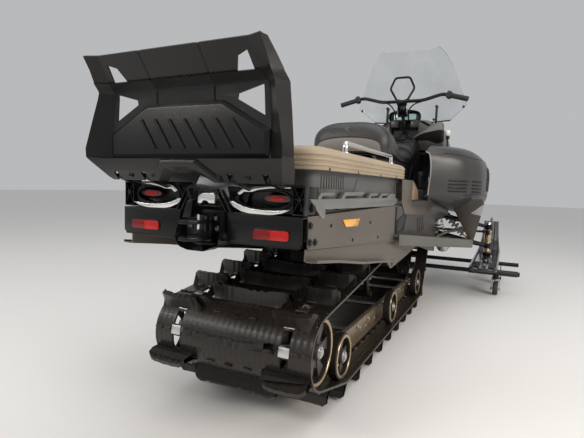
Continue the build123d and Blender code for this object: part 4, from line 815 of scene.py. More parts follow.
def lug(name, left, right, wavy):
    """One tall lug: broad at its root, thin at its tip, with grooved faces and sloped, curled ends."""
    count = 24 if wavy else 14
    deselect()
    bpy.ops.mesh.primitive_grid_add(x_subdivisions=count, y_subdivisions=6, size=1)
    obj = bpy.context.object
    obj.name = name
    shape = ((0.0125, -0.002), (0.0085, 0.010), (0.0065, 0.028), (0.0052, 0.0435), (-0.0052, 0.0435),
        (-0.0075, 0.018), (-0.0125, -0.002))
    for spot in obj.data.vertices:
        column, row = round((spot.co.x + 0.5) * count), round((spot.co.y + 0.5) * 6)
        share = column / count
        along, out = shape[row]
        hook = -0.010 * (abs(2 * share - 1) ** 3)
        drop = 0.0
        if out > 0.02:
            drop = -0.009 * max(0.0, (abs(2 * share - 1) - 0.86) / 0.14) * (out / 0.0435)
        if wavy and out > 0.04:
            drop -= 0.004 * (1 - abs(2 * share - 1)) + (0.005 if column in (4, 13, 15, 17) else 0.0)
        groove = 0.0008 * (1 if column % 3 == 0 else -1) if 0 < out < 0.05 else 0.0
        lean = 0.016 * (out / 0.0435) if out > 0 else 0.0
        x = left + (right - left) * share
        if wavy:
            x -= lean * (2 * share - 1) ** 3
        else:
            x += lean * max(0.0, 1 - share * 3)
        spot.co = Vector((x, along + (hook if out > 0 else 0) + groove, out + drop))
    bpy.ops.object.mode_set(mode="EDIT")
    bpy.ops.mesh.select_mode(type="EDGE")
    bpy.ops.mesh.select_all(action="DESELECT")
    bpy.ops.mesh.select_non_manifold()
    bpy.ops.mesh.edge_face_add()
    bpy.ops.mesh.select_all(action="SELECT")
    bpy.ops.mesh.normals_make_consistent(inside=False)
    leave_edit()
    return obj


def belt_pitch():
    """One pitch of the belt, laid flat, with a window each side and the bars between them."""
    pieces = []
    for low, high in ((-BELT_HALF, -0.186), (-0.160, 0.160), (0.186, BELT_HALF)):
        piece = block("belt_band", (low, -STEP / 2 - 0.0002, -0.007), (high, STEP / 2 + 0.0002, -0.0005), 0.0)
        take(piece)
        edit_all()
        bpy.ops.mesh.subdivide(number_cuts=3)
        leave_edit()
        pieces.append(piece)
    for sign in (-1, 1):
        pieces += [
            block("belt_bar", (sign * CLIP_X - 0.0135, -0.017, -0.0068),
                (sign * CLIP_X + 0.0135, 0.017, 0.001), 0.0012),
            block("guide_lug", (sign * 0.148 - 0.008, -0.012, -0.026), (sign * 0.148 + 0.008, 0.012, -0.006),
                0.003)]
        for stiff in (-0.235, -0.205, -0.12, -0.06, 0.0):
            pieces.append(block("belt_rib", (sign * abs(stiff) - 0.012, -0.0035, -0.001),
                    (sign * abs(stiff) + 0.012, 0.0035, 0.0035), 0.001))
    return merge("belt_pitch", pieces)


def make_track():
    pitch = belt_pitch()
    wide, edge_left = lug("centre_lug", -0.146, 0.146, True), lug("outer_lug", 0.108, BELT_HALF, False)
    edge_right = mirrored(edge_left)
    clip_parts = []
    for sign in (-1, 1):
        clip_parts.append(block("clip_top", (sign * CLIP_X - 0.0155, -0.0125, 0.0008),
                (sign * CLIP_X + 0.0155, 0.0125, 0.0030), 0.0008))
        for hook in (-0.0150, 0.0135):
            clip_parts.append(block("clip_side", (sign * CLIP_X + hook - 0.0006, -0.0115, -0.009),
                    (sign * CLIP_X + hook + 0.0018, 0.0115, 0.0024), 0.0006))
    clip = merge("clip", clip_parts)
    rubber, metal = [], []
    for row in range(ROWS):
        centre = (row + 1.92) * STEP
        rubber.append(wrap(copy_of(pitch), centre))
        for source in ([wide] if row % 2 == 0 else [edge_left, edge_right]):
            rubber.append(wrap(copy_of(source), centre))
        metal.append(wrap(copy_of(clip), centre))
    belt = merge("rubber_track", rubber)
    clips = merge("track_clips", metal)
    for spare in (pitch, wide, edge_left, edge_right, clip):
        bpy.data.objects.remove(spare)
    dress(smooth(belt, 40), RUBBER, "chassis", "track_rubber", "track")
    dress(smooth(clips, 40), STEEL, "chassis", "steel_bright")


make_track()

# Rear bumper: plates, lamp pods with their crescents (silver blades that paint in the highlight under each
# lamp), end caps and the hitch

def bolt(name, centre, axis, radius=0.006, tall=0.004):
    """A round-head bolt with a washer and a socket in its head."""
    deselect()
    turn = Vector(axis).to_track_quat("Z", "Y").to_euler()
    direction = Vector(axis).normalized()
    bpy.ops.mesh.primitive_cylinder_add(vertices=20, radius=radius * 1.45, depth=0.0016,
        location=Vector(centre) + direction * 0.0008, rotation=turn)
    washer = bpy.context.object
    settle(washer)
    deselect()
    bpy.ops.mesh.primitive_cylinder_add(vertices=20, radius=radius, depth=tall,
        location=Vector(centre) + direction * (tall / 2 + 0.001), rotation=turn)
    head = bpy.context.object
    settle(head)
    sink(head, lambda p, n: n.dot(direction) > 0.9, radius * 0.5, -direction * tall * 0.6)
    soften(head, radius * 0.18, 2, 40)
    return merge(name, [head, washer])


def turned_oval(x_in, x_out, low, high, count=40):
    """Points of a long oval in x, z with full ends."""
    middle, half_x = (x_in + x_out) / 2, (x_out - x_in) / 2
    centre, half_z = (low + high) / 2, (high - low) / 2
    points = []
    for step in range(count):
        angle = 2 * pi * step / count
        c, s = cos(angle), sin(angle)
        px = abs(c) ** 0.75 * (1 if c > 0 else -1)
        points.append((middle + half_x * px, centre + half_z * s))
    return points


def soft_box(x_in, x_out, low, high, corner, rounds=7):
    """Outline of a rectangle with rounded corners in x, z."""
    points = []
    for cx, cz, start in ((x_out - corner, high - corner, 0), (x_in + corner, high - corner, 1),
            (x_in + corner, low + corner, 2), (x_out - corner, low + corner, 3)):
        for step in range(rounds):
            angle = (start + step / (rounds - 1)) * pi / 2
            points.append((cx + corner * cos(angle), cz + corner * sin(angle)))
    return points


def make_bumper():
    plates, silver, red, shaded_halves, smoke = [], [], [], [], []
    for sign in (-1, 1):
        plates += [
            plate("bumper_plate",
                sided(sign, ((0.066, 0.507), (0.252, 0.507), (0.262, 0.516), (0.262, 0.577), (0.066, 0.580))),
                0.003, 0.0012, at=-1.475),
            plate("bumper_lip_low",
                sided(sign, ((0.066, 0.5065), (0.254, 0.5065), (0.256, 0.5105), (0.066, 0.5105))), 0.024,
                0.001, at=-1.4755),
            plate("bumper_lip_high",
                sided(sign, ((0.066, 0.576), (0.262, 0.573), (0.262, 0.5775), (0.066, 0.5805))), 0.090, 0.001,
                at=-1.4755)]
        pod = plate("lamp_pod",
            sided(sign, ((0.070, 0.5805), (0.235, 0.5805), (0.240, 0.645), (0.105, 0.647), (0.070, 0.606))),
            0.070, 0.0, at=-1.460)
        bowl = turned_oval(0.0865, 0.2285, 0.5895, 0.6365)
        cut_prism(pod, sided(sign, bowl), -1.47, -1.437)
        plates.append(soften(pod, 0.0015, 2, 30))
        rim = flat_face("lamp_rim",
            [(sign * x, -1.4625, z) for x, z in turned_oval(0.0855, 0.2295, 0.5885, 0.6375)])
        edit_all()
        bpy.ops.mesh.inset(thickness=0.004)
        bpy.ops.mesh.extrude_region_move(TRANSFORM_OT_translate={"value": (0, 0.020, 0)})
        bpy.ops.mesh.inset(thickness=0.006)
        bpy.ops.transform.translate(value=(0, 0.004, 0))
        bpy.ops.mesh.select_all(action="SELECT")
        bpy.ops.mesh.normals_make_consistent(inside=False)
        leave_edit()
        thicken(rim, 0.0015, 0)
        plates.append(smooth(rim, 40))
        # crescent under each lamp bowl: a bright silver blade that is a painted highlight along the bowl's
        # lower rim
        blade = [(0.070, 0.603), (0.084, 0.592), (0.104, 0.5835), (0.128, 0.5785), (0.156, 0.5770),
            (0.186, 0.5790), (0.212, 0.5840), (0.232, 0.5925), (0.216, 0.5912), (0.190, 0.5885),
            (0.158, 0.5885), (0.132, 0.5905), (0.108, 0.5950), (0.090, 0.6020), (0.080, 0.6070)]
        silver += [
            plate("lamp_highlight_crescent", sided(sign, blade), 0.006, 0.0012, at=-1.474),
            plate("lamp_brow", sided(sign, ((0.090, 0.625), (0.106, 0.637), (0.134, 0.6415), (0.170, 0.6435),
                (0.228, 0.6430), (0.228, 0.6395), (0.176, 0.6385), (0.146, 0.6345), (0.128, 0.6290),
                (0.108, 0.6290), (0.096, 0.6210))), 0.008, 0.0008, at=-1.469)]
        lens = plate("lamp_lens", sided(sign, turned_oval(0.153, 0.2255, 0.6065, 0.6245, 32)), 0.012, 0.0,
            at=-1.4535)
        smoke.append(soften(lens, 0.0045, 4, 30))
        red.append(plate("lens_lit", sided(sign, turned_oval(0.166, 0.208, 0.6100, 0.6210, 24)), 0.003,
                0.0010, at=-1.4548))
        # reflectors: the half nearer the camera is red, and the farther half is darker red as painted shade
        near, far = ((0.1405, 0.186), (0.1865, 0.2305)) if sign < 0 else ((0.1865, 0.2305), (0.1405, 0.186))
        for ends, pile in ((near, red), (far, shaded_halves)):
            mark = plate("reflector", sided(sign, soft_box(*ends, 0.5225, 0.5450, 0.0065)), 0.005, 0.0,
                at=-1.4795)
            pile.append(soften(mark, 0.0015, 2, 30))
        red.append(block("reflector_bridge", (sign * 0.1863 - 0.008, -1.4792, 0.5228),
                (sign * 0.1863 + 0.008, -1.476, 0.5447), 0.0))
        plates.append(plate("reflector_frame", sided(sign, soft_box(0.1375, 0.2335, 0.5195, 0.5480, 0.009)),
                0.0022, 0.0008, at=-1.4768))
        # end cap with its star of ribs
        plates.append(plate("cap_back", sided(sign,
                ((0.234, 0.581), (0.2615, 0.581), (0.264, 0.644), (0.236, 0.646))), 0.060, 0.0015, at=-1.452))
        star = (0.250, 0.616)
        for px, pz in ((0.236, 0.644), (0.2625, 0.642), (0.236, 0.588), (0.262, 0.586), (0.262, 0.616),
                (0.237, 0.616)):
            dx, dz = px - star[0], pz - star[1]
            span = hypot(dx, dz)
            ux, uz = -dz / span * 0.0009, dx / span * 0.0009
            plates.append(plate("cap_rib", sided(sign, ((star[0] + ux, star[1] + uz), (px + ux, pz + uz),
                    (px - ux, pz - uz), (star[0] - ux, star[1] - uz))), 0.018, 0.0, at=-1.4685))
        plates.append(rod("cap_hub", (sign * star[0], -1.470, star[1]), (sign * star[0], -1.45, star[1]),
                0.0055, 20, 0.0008))
        for edge_low, edge_high in (((0.234, 0.5805), (0.2625, 0.5835)), ((0.235, 0.6425), (0.2645, 0.6455)),
                ((0.2335, 0.581), (0.2360, 0.645)), ((0.2610, 0.581), (0.2638, 0.645))):
            plates.append(block("cap_edge", (sign * edge_low[0], -1.4705, edge_low[1]),
                    (sign * edge_high[0], -1.448, edge_high[1]), 0.0006))
        for ear_x in (0.118, 0.206):
            plates.append(plate("flap_ear", [(-1.5385, 0.652), (-1.540, 0.662), (-1.536, 0.670),
                    (-1.527, 0.672), (-1.469, 0.660), (-1.469, 0.630), (-1.530, 0.648)], 0.008, 0.0012, "YZ",
                    ear_x if sign > 0 else -ear_x - 0.008))
    plates.append(block("bumper_beam", (-0.262, -1.4505, 0.522), (0.262, -1.4445, 0.568), 0.001))
    body = merge("rear_bumper_shell", plates)
    dress(smooth(body, 35), FRAME, "chassis", "frame_black", "rear_bumper")
    assemble("lamp_highlight_crescents", silver, SILVER, "steel_bright")
    assemble("red_lenses", red, RED, "lens_red", "rear_lenses")
    assemble("shaded_reflector_halves", shaded_halves, SHADED_RED, "lens_red")
    assemble("lamp_lenses", smoke, SMOKE, "lens_red")


def make_hitch():
    parts, bright, studs = [], [], []
    guard = plate("hitch_guard", [(-0.068, 0.580), (-0.068, 0.514), (-0.053, 0.491), (-0.028, 0.4845),
            (0.018, 0.4845), (0.060, 0.503), (0.0625, 0.581), (0.046, 0.592), (-0.050, 0.592)], 0.052, 0.0,
        at=-1.5035)
    sink(guard, lambda p, n: n.y < -0.9, 0.009, (0, 0.040, 0))
    for spot in guard.data.vertices:
        if spot.co.z > 0.53 and spot.co.y < -1.49:
            spot.co.y = -1.4790
    parts.append(soften(guard, 0.002, 3, 28))
    for level in (0.512, 0.551):
        parts.append(plate("jaw", [(-0.027, -1.466), (-0.027, -1.527), (-0.014, -1.551), (0.014, -1.551),
                (0.027, -1.527), (0.027, -1.466)], 0.009, 0.0, "XY", level))
        cut_with(parts[-1], rod("pin_bore", (0, -1.527, level - 0.01), (0, -1.527, level + 0.02), 0.0086, 32))
        soften(parts[-1], 0.0016, 2, 40)
    parts += [
        plate("jaw_web", [(-1.468, 0.500), (-1.468, 0.572), (-1.482, 0.566), (-1.482, 0.506)], 0.054, 0.002,
            "YZ", -0.027),
        plate("latch_arm", [(-0.056, 0.560), (-0.041, 0.604), (-0.024, 0.606), (-0.030, 0.562)], 0.012,
            0.0018, at=-1.4885),
        bent_tube("latch_loop", [(-0.032, -1.478, 0.596), (-0.046, -1.482, 0.632), (-0.030, -1.482, 0.6385),
            (-0.006, -1.482, 0.632), (-0.016, -1.478, 0.596)], 0.0042, bend=0.008),
        rod("pin_barrel", (0.010, -1.487, 0.530), (0.010, -1.487, 0.570), 0.0095, 28, 0.002)]
    for sign in (-1, 1):
        for shift in (0.0, 0.014):
            parts.append(plate("guard_brace", [(sign * (0.064 + shift), 0.580),
                    (sign * (0.036 + shift), 0.632), (sign * (0.039 + shift), 0.632),
                    (sign * (0.068 + shift), 0.580)], 0.012, 0.0008, at=-1.480))
    guard_wall = [(0.066, 0.580), (0.100, 0.580), (0.118, 0.640), (0.050, 0.640)]
    for sign in (-1, 1):
        parts.append(plate("pod_wing", sided(sign, guard_wall), 0.004, 0.001, at=-1.452))
    bright += [
        plate("silver_tag", [(-0.013, 0.533), (-0.006, 0.533), (-0.006, 0.570), (-0.013, 0.570)], 0.0015,
            0.0004, at=-1.4845),
        plate("latch_clasp", [(-0.014, 0.599), (-0.004, 0.596), (0.004, 0.605), (0.014, 0.604),
            (0.020, 0.598), (0.036, 0.598), (0.038, 0.616), (0.030, 0.624), (0.004, 0.623), (-0.012, 0.617)],
            0.008, 0.002, at=-1.484),
        plate("centre_plate", [(-0.104, 0.600), (0.104, 0.600), (0.104, 0.630), (0.082, 0.668),
            (-0.082, 0.668), (-0.104, 0.630)], 0.003, 0.0008, at=-1.383)]
    for x, z in ((-0.046, 0.540), (-0.033, 0.527), (0.032, 0.562), (0.036, 0.538)):
        studs.append(bolt("hitch_bolt", (x, -1.4602, z), (0, -1, 0), 0.0072, 0.009))
    assemble("hitch_casting", parts, FRAME, "frame_black", "hitch")
    assemble("hitch_fittings", bright, SILVER, "steel_bright")
    assemble("hitch_studs", studs, BLACKCHROME, "steel_bright")


SILVER = surface("brushed silver trim", (0.78, 0.78, 0.77), 0.22, metal=0.9, drift=0.1, drift_scale=20,
    lines=0.00005, line_scale=800)
# darker red of the reflectors' far halves: painted shade
SHADED_RED = surface("red reflector half with painted shade", (0.21, 0.006, 0.005), 0.2, drift=0.1, coat=0.25, lines=0.0006,
    line_scale=150, specular=0.3)
SMOKE = surface("smoked lamp lens", (0.10, 0.010, 0.006), 0.08, drift=0.3, drift_scale=30, coat=0.8,
    lines=0.0010, line_scale=60)
BLACKCHROME = surface("black chrome", (0.22, 0.22, 0.23), 0.16, metal=1.0, drift=0.15, drift_scale=20)
AMBER = surface("amber reflector", (0.95, 0.42, 0.01), 0.2, drift=0.08, coat=0.8, lines=0.0005,
    line_scale=130)
make_bumper()
make_hitch()


# Tunnel: folded sides with a crease, bolts, small rivets and an amber reflector

WALL_X = 0.2662           # x of the tunnel's outer face


def make_tunnel():
    parts, fixings, amber = [], [], []
    for sign in (-1, 1):
        rows = []
        for y, crease, low in ((-1.450, 0.506, 0.478), (-1.30, 0.494, 0.4585), (-1.10, 0.479, 0.4245),
                (-0.90, 0.464, 0.3995), (-0.70, 0.448, 0.372), (-0.62, 0.441, 0.3305), (-0.30, 0.430, 0.345),
                (-0.09, 0.425, 0.3625), (0.25, 0.42, 0.3005), (0.505, 0.41, 0.2625)):
            rows.append([(sign * 0.262, y, 0.577), (sign * 0.2645, y, 0.5725), (sign * 0.266, y, 0.566),
                    (sign * 0.266, y, crease + 0.005), (sign * 0.2685, y, crease + 0.002),
                    (sign * 0.2685, y, crease - 0.001), (sign * 0.2600, y, crease - 0.004),
                    (sign * 0.2600, y, low)])
        wall = skin("tunnel_wall", rows)
        thicken(wall, 0.003, -1)
        parts.append(smooth(wall, 25))
        lip = skin("tunnel_lip", [[(sign * 0.2600, y, z), (sign * 0.268, y, z - 0.001), (sign * 0.289, y, z),
                (sign * 0.290, y, z + 0.006)] for y, z in ((-1.450, 0.4775), (-1.30, 0.4575), (-1.10, 0.4240),
                (-0.90, 0.3990), (-0.70, 0.3715))])
        thicken(lip, 0.0025, 0)
        parts.append(smooth(lip, 25))
        for y, z in ((-1.441, 0.5585), (-1.441, 0.520), (-1.412, 0.518)):
            fixings.append(bolt("tunnel_bolt", (sign * WALL_X, y, z), (sign, 0, 0), 0.0062, 0.004))
        for y, z in ((-1.311, 0.549), (-1.135, 0.496), (-0.96, 0.535), (-0.86, 0.478)):
            fixings.append(bolt("tunnel_rivet", (sign * WALL_X, y, z), (sign, 0, 0), 0.0032, 0.0015))
        amber.append(plate("amber_reflector", [(-1.229, 0.559), (-1.076, 0.555), (-1.100, 0.533),
                (-1.203, 0.538)], sign * 0.003, 0.001, "YZ", sign * WALL_X))
    top = block("tunnel_top", (-0.2645, -1.450, 0.5752), (0.2645, 0.505, 0.5780), 0.001)
    nose = block("tunnel_nose", (-0.2645, 0.502, 0.2625), (0.2645, 0.505, 0.5780), 0.001)
    assemble("tunnel_channel", parts + [top, nose], TUNNEL, "tunnel_metal", "tunnel")
    assemble("tunnel_bolts", fixings, BLACKBOLT, "frame_black")
    assemble("amber_reflectors", amber, AMBER, "lens_red")


BLACKBOLT = surface("black zinc bolts", (0.03, 0.03, 0.032), 0.3, metal=0.6, drift=0.1)
make_tunnel()


# Rack tray: side rails with raised hooks, a diagonal bracket and a ribbed floor

def make_rack():
    metal = []
    for sign in (-1, 1):
        metal.append(plate("rack_rail", [(-1.405, 0.6165), (-1.362, 0.5905), (-0.700, 0.5785),
                (-0.615, 0.5785), (-0.562, 0.590), (-0.562, 0.604), (-0.620, 0.6095)], sign * 0.014, 0.002,
                "YZ", sign * 0.2475))
        for rear, long, tall in ((-1.395, 0.115, 0.0145), (-1.225, 0.20, 0.017), (-0.975, 0.115, 0.0145),
                (-0.835, 0.115, 0.0145)):
            top = 0.617 - (rear + 1.405) * 0.009
            hook = plate("rack_hook", [(rear, top - 0.004), (rear + 0.026, top + tall),
                    (rear + long, top + tall), (rear + long + 0.006, top + tall - 0.005),
                    (rear + long - 0.004, top + tall * 0.5), (rear + long - 0.018, top + tall * 0.5),
                    (rear + long - 0.018, top + 0.006), (rear + 0.034, top + 0.006),
                    (rear + 0.022, top - 0.004)], sign * 0.012, 0.0022, "YZ", sign * 0.2490)
            metal.append(hook)
        metal += [
            plate("rack_bracket", [(-1.446, 0.6175), (-1.405, 0.6165), (-1.352, 0.592), (-1.3505, 0.570),
                (-1.372, 0.5695)], sign * 0.012, 0.0015, "YZ", sign * 0.2545),
            plate("rack_tab", [(-0.728, 0.6095), (-0.698, 0.6255), (-0.606, 0.6235), (-0.600, 0.6075)],
                sign * 0.014, 0.0015, "YZ", sign * 0.2475)]
    for number in range(9):
        rear = -1.36 + number * 0.094
        metal.append(block("rack_rib", (-0.237, rear, 0.5795), (0.237, rear + 0.055, 0.602), 0.004))
    metal.append(block("rack_floor", (-0.237, -1.379, 0.5790), (0.237, -0.561, 0.5830), 0.001))
    bolts = [bolt("rack_bolt", (sign * 0.2640, -1.425, 0.596), (sign, 0, 0), 0.0075, 0.004)
        for sign in (-1, 1)]
    assemble("rack_frame", metal, RACK, "tunnel_metal", "rack_tray")
    assemble("rack_bolts", bolts, BLACKBOLT, "frame_black")


RACK = surface("light rack casting", (0.27, 0.262, 0.245), 0.4, metal=0.65, drift=0.15, lines=0.00006,
    line_scale=800, scuff=0.15, scuff_colour=(0.6, 0.58, 0.55))
make_rack()


# Storage tub and the ribbed deck over it

def loop_points(half_x, rear, front, corner, z, rounds=7):
    """A rectangle with rounded corners at one height."""
    points = []
    for cx, cy, start in ((half_x - corner, front - corner, 0.0), (-half_x + corner, front - corner, pi / 2),
            (-half_x + corner, rear + corner, pi), (half_x - corner, rear + corner, 1.5 * pi)):
        for step in range(rounds):
            angle = start + step / (rounds - 1) * pi / 2
            points.append((cx + corner * cos(angle), cy + corner * sin(angle), z))
    return points


TUB_X = 0.2430            # x of the tub's side


def make_tub():
    rows = [loop_points(half, -1.372 + (0.242 - half), -0.472 - (0.242 - half), 0.030, z)
        for half, z in ((0.236, 0.6045), (0.240, 0.608), (0.2415, 0.640), (0.2425, 0.690), (0.2435, 0.730),
            (0.2435, 0.7355), (0.2395, 0.7355), (0.2385, 0.730), (0.2365, 0.640), (0.235, 0.613),
            (0.225, 0.6095))]
    shell = skin("tub_shell", rows, closed=True)
    cap(shell, lambda p, n: p.z < 0.605)
    cap(shell, lambda p, n: abs(p.z - 0.6095) < 0.0006)
    smooth(shell, 40)
    detail = []
    for sign in (-1, 1):
        for number in range(10):
            rear = -1.33 + number * 0.018
            detail.append(block("tub_grille", (sign * TUB_X - 0.0012, rear, 0.640),
                    (sign * TUB_X + 0.0012, rear + 0.009, 0.676), 0.0008))
        detail += [
            plate("tub_panel", [(-1.08, 0.622), (-1.04, 0.672), (-0.66, 0.672), (-0.60, 0.622)],
                sign * 0.0025, 0.001, "YZ", sign * 0.2415),
            block("tub_post", (sign * TUB_X - 0.003, -0.545, 0.606), (sign * TUB_X + 0.003, -0.500, 0.684),
                0.002)]
    assemble("tub", [shell] + detail, TUB, "tub_grey", "storage_tub")


def make_deck():
    profile = (
        # inset from the edge, height: up the outside, over the top and back inside
        (0.004, 0.6840), (0.0015, 0.6855), (0.0005, 0.6895), (0.0032, 0.6915), (0.0032, 0.6935),
        (0.0005, 0.6955), (0.0, 0.7000), (0.0032, 0.7030), (0.0032, 0.7050), (0.0, 0.7080),
        (0.0, 0.7125), (0.0032, 0.7155), (0.0032, 0.7175), (0.0002, 0.7205), (0.0005, 0.7260),
        (0.004, 0.7320), (0.010, 0.7372), (0.020, 0.7405), (0.038, 0.7420), (0.078, 0.7422),
        (0.0815, 0.7440), (0.10, 0.7440))
    rows = [loop_points(0.272 - inset, -1.420 + inset, -0.452 - inset, max(0.055 - inset * 0.3, 0.02), z)
        for inset, z in profile]
    skirt = skin("deck_rim", rows, closed=True)
    cap(skirt, lambda p, n: abs(p.z - 0.7440) < 0.0002 and abs(p.x) < 0.1722 and -1.3202 < p.y < -0.5518)
    thicken(skirt, 0.003, -1)
    for x in (-0.180, 0.180):
        for y in (-1.286, -0.586):
            cut_with(skirt, rod("deck_bolt_hole", (x, y, 0.70), (x, y, 0.76), 0.0055, 24))
    smooth(skirt, 32)
    dark, ribs = [], []
    for number in range(6):
        x = -0.1375 + number * 0.055
        ribs.append(block("deck_rib", (x - 0.016, -1.27, 0.7438), (x + 0.016, -0.605, 0.7448), 0.0008))
    for sign in (-1, 1):
        for y in (-1.348, -1.123, -0.875, -0.65):
            dark.append(
                rod("deck_screw", (sign * 0.2715, y, 0.6873), (sign * 0.2728, y, 0.6873), 0.0042, 16, 0.0005))
    assemble("deck_cover", [skirt] + ribs, DECK, "deck_tan", "cargo_deck")
    assemble("deck_screws", dark, BLACKBOLT, "frame_black")


make_tub()
make_deck()


# Seat: an inflated cushion with piped seams and a lighter panel behind

def flow(points, steps):
    """Points run smoothly through a list of points, as a spline would."""
    points = [Vector(p) for p in points]
    run = []
    for index in range(len(points) - 1):
        before, start = points[max(index - 1, 0)], points[index]
        stop, after = points[index + 1], points[min(index + 2, len(points) - 1)]
        for step in range(steps):
            t = step / steps
            run.append(0.5 * (2 * start + (stop - before) * t + (2 * before - 5 * start + 4 * stop - after)
                    * t ** 2 + (3 * start - before - 3 * stop + after) * t ** 3))
    return run + [points[-1]]


def flow_rows(rows, along, across):
    """A smooth grid through a coarse one: more rows, and more points in each."""
    columns = [flow([row[place] for row in rows], along) for place in range(len(rows[0]))]
    return [flow([column[place] for column in columns], across) for place in range(len(columns[0]))]


def seat_section(y, half, low, wide_z, top, power=2.6, shrink=0.0):
    """A closed ring round the seat at one station."""
    half, top, low = half - shrink, top - shrink, low + shrink * 0.3
    ring_points = []
    for step in range(25):
        angle = pi * step / 24
        c, s = cos(angle), sin(angle)
        ring_points.append((half * abs(c) ** (2 / power) * (1 if c > 0 else -1), y,
                wide_z + (top - wide_z) * abs(s) ** (2 / power)))
    for share in (1.0, 0.75, 0.5, 0.25, 0.0, -0.25, -0.5, -0.75, -1.0):
        ring_points.append((-(half - 0.012) * share, y, low))
    return ring_points


SEAT_ROWS = (
    # y, half-width, widest height, top
    (-0.440, 0.138, 0.835, 0.888), (-0.432, 0.160, 0.835, 0.914), (-0.414, 0.178, 0.834, 0.931),
    (-0.385, 0.189, 0.832, 0.938), (-0.345, 0.193, 0.830, 0.937), (-0.300, 0.193, 0.828, 0.917),
    (-0.260, 0.191, 0.826, 0.887), (-0.215, 0.186, 0.824, 0.868), (-0.120, 0.170, 0.822, 0.860),
    (0.020, 0.145, 0.820, 0.857), (0.180, 0.122, 0.820, 0.853), (0.320, 0.115, 0.820, 0.860),
    (0.420, 0.113, 0.822, 0.876), (0.466, 0.110, 0.824, 0.884), (0.474, 0.102, 0.826, 0.872),
)


def make_seat():
    rows = [seat_section(y, half, 0.7945, wide_z, top, 2.9 if y < -0.2 else 2.5, 0.0035)
        for y, half, wide_z, top in SEAT_ROWS]
    cushion = skin("seat_cushion", rows, closed=True)
    for end in (rows[0], rows[-1]):
        y = end[0][1]
        cap(cushion, lambda p, n: abs(p.y - y) < 1e-5)
    face_out(cushion)
    modify(cushion, "REMESH", mode="VOXEL", voxel_size=0.0065)
    modify(cushion, "SMOOTH", factor=0.5, iterations=6)
    start = [v.co.copy() for v in cushion.data.vertices]
    pins = cushion.vertex_groups.new(name="underside")
    pins.add([v.index for v in cushion.data.vertices if v.co.z < 0.800], 1.0, "ADD")
    cloth = cushion.modifiers.new("inflation", "CLOTH")
    cloth.settings.use_pressure = True
    cloth.settings.uniform_pressure_force = 4.0
    cloth.settings.effector_weights.gravity = 0
    cloth.settings.vertex_group_mass = "underside"
    cloth.settings.quality = 4
    for number in range(1, 21):
        bpy.context.scene.frame_set(number)
    shaped = cushion.evaluated_get(bpy.context.evaluated_depsgraph_get()).to_mesh()
    moved = [v.co.copy() for v in shaped.vertices]
    cushion.modifiers.remove(cloth)
    cushion.vertex_groups.remove(pins)
    bpy.context.scene.frame_set(1)
    for spot, before, after in zip(cushion.data.vertices, start, moved):
        shift = after - before
        spot.co = before + (
            shift.normalized() * min(shift.length, 0.006) if shift.length > 1e-7 else shift)
        spot.co.z = max(spot.co.z, 0.7923)
    # sewn channels pressed in across the top and along both sides
    for spot in cushion.data.vertices:
        _, y, z = spot.co
        if z > 0.815:
            across = min(abs(y - place) for place in (-0.262, -0.060, 0.150, 0.345))
            spot.co.z -= 0.0045 * max(0.0, 1 - (across / 0.014) ** 2) * (1 if z > 0.84 else 0.3)
    modify(cushion, "SUBSURF", levels=1, render_levels=1)
    smooth(cushion, 60)
    lines = []

    def sewn(name, points, radius=0.0022, lift=0.0):
        """A piping line laid on the cushion through rough points."""
        path = []
        for point in flow(points, 8):
            _, place, normal, _ = cushion.closest_point_on_mesh(Vector(point))
            path.append(place + normal * lift)
        return bent_tube(name, path, radius, rounds=2, bend=0.002)

    for sign in (-1, 1):
        lines.append(sewn("side_piping", [(sign * (half - 0.004), y, top - (top - wide_z) * 0.42)
                for y, half, wide_z, top in SEAT_ROWS[3:-1]]))
        lines.append(sewn("top_piping",
                [(sign * (half - 0.045), y, top + 0.01) for y, half, wide_z, top in SEAT_ROWS[4:-1]], 0.0016))
    arch = [(0.160 * cos(a), -0.455, 0.800 + 0.070 * max(0.0, sin(a)) ** 0.5)
        for a in [pi * step / 16 for step in range(17)]]
    lines.append(sewn("rear_piping", arch, 0.0022))
    crown = [(0.186 * cos(a), -0.405, 0.812 + 0.135 * max(0.0, sin(a)) ** 0.55)
        for a in [pi * step / 16 for step in range(17)]]
    lines.append(sewn("crown_piping", crown, 0.0022))
    dress(cushion, SEAT, "chassis", "seat_cover", "seat")
    assemble("seat_piping", lines, PIPING, "seat_cover")
    panel_rows = []
    for share in (0.0, 0.25, 0.5, 0.75, 1.0):
        row = []
        for step in range(21):
            a = pi * step / 20
            target = Vector((0.150 * cos(a), -0.47, 0.805 + 0.058 * max(0.0, sin(a)) ** 0.5 * share))
            _, place, normal, _ = cushion.closest_point_on_mesh(target)
            row.append(Vector((target.x, place.y - 0.0022 - 0.003 * sin(pi * share) * sin(a), target.z)))
        panel_rows.append(row)
    back = skin("seat_back_panel", panel_rows)
    thicken(back, 0.004, -1)
    dress(smooth(back, 50), SEATBACK, "chassis", "seat_cover")


PIPING = surface("seat piping", (0.035, 0.034, 0.034), 0.35, drift=0.08)
SEATBACK = surface("lighter seat panel", (0.20, 0.185, 0.165), 0.48, drift=0.12, grain=0.0005,
    grain_scale=520)
make_seat()


# Seat base and the tank cover in front of the seat

def console_section(y, half, low, top, shoulder):
    """Half-round-topped upright section of the base and tank cover."""
    return [(-half, y, low), (-half, y, low + (shoulder - low) * 0.5), (-half, y, shoulder), (-half * 0.86, y,
            shoulder + (top - shoulder) * 0.6), (-half * 0.5, y, top - (top - shoulder) * 0.1), (0, y, top),
        (half * 0.5, y, top - (top - shoulder) * 0.1), (half * 0.86, y, shoulder + (top - shoulder) * 0.6),
        (half, y, shoulder), (half, y, low + (shoulder - low) * 0.5), (half, y, low)]


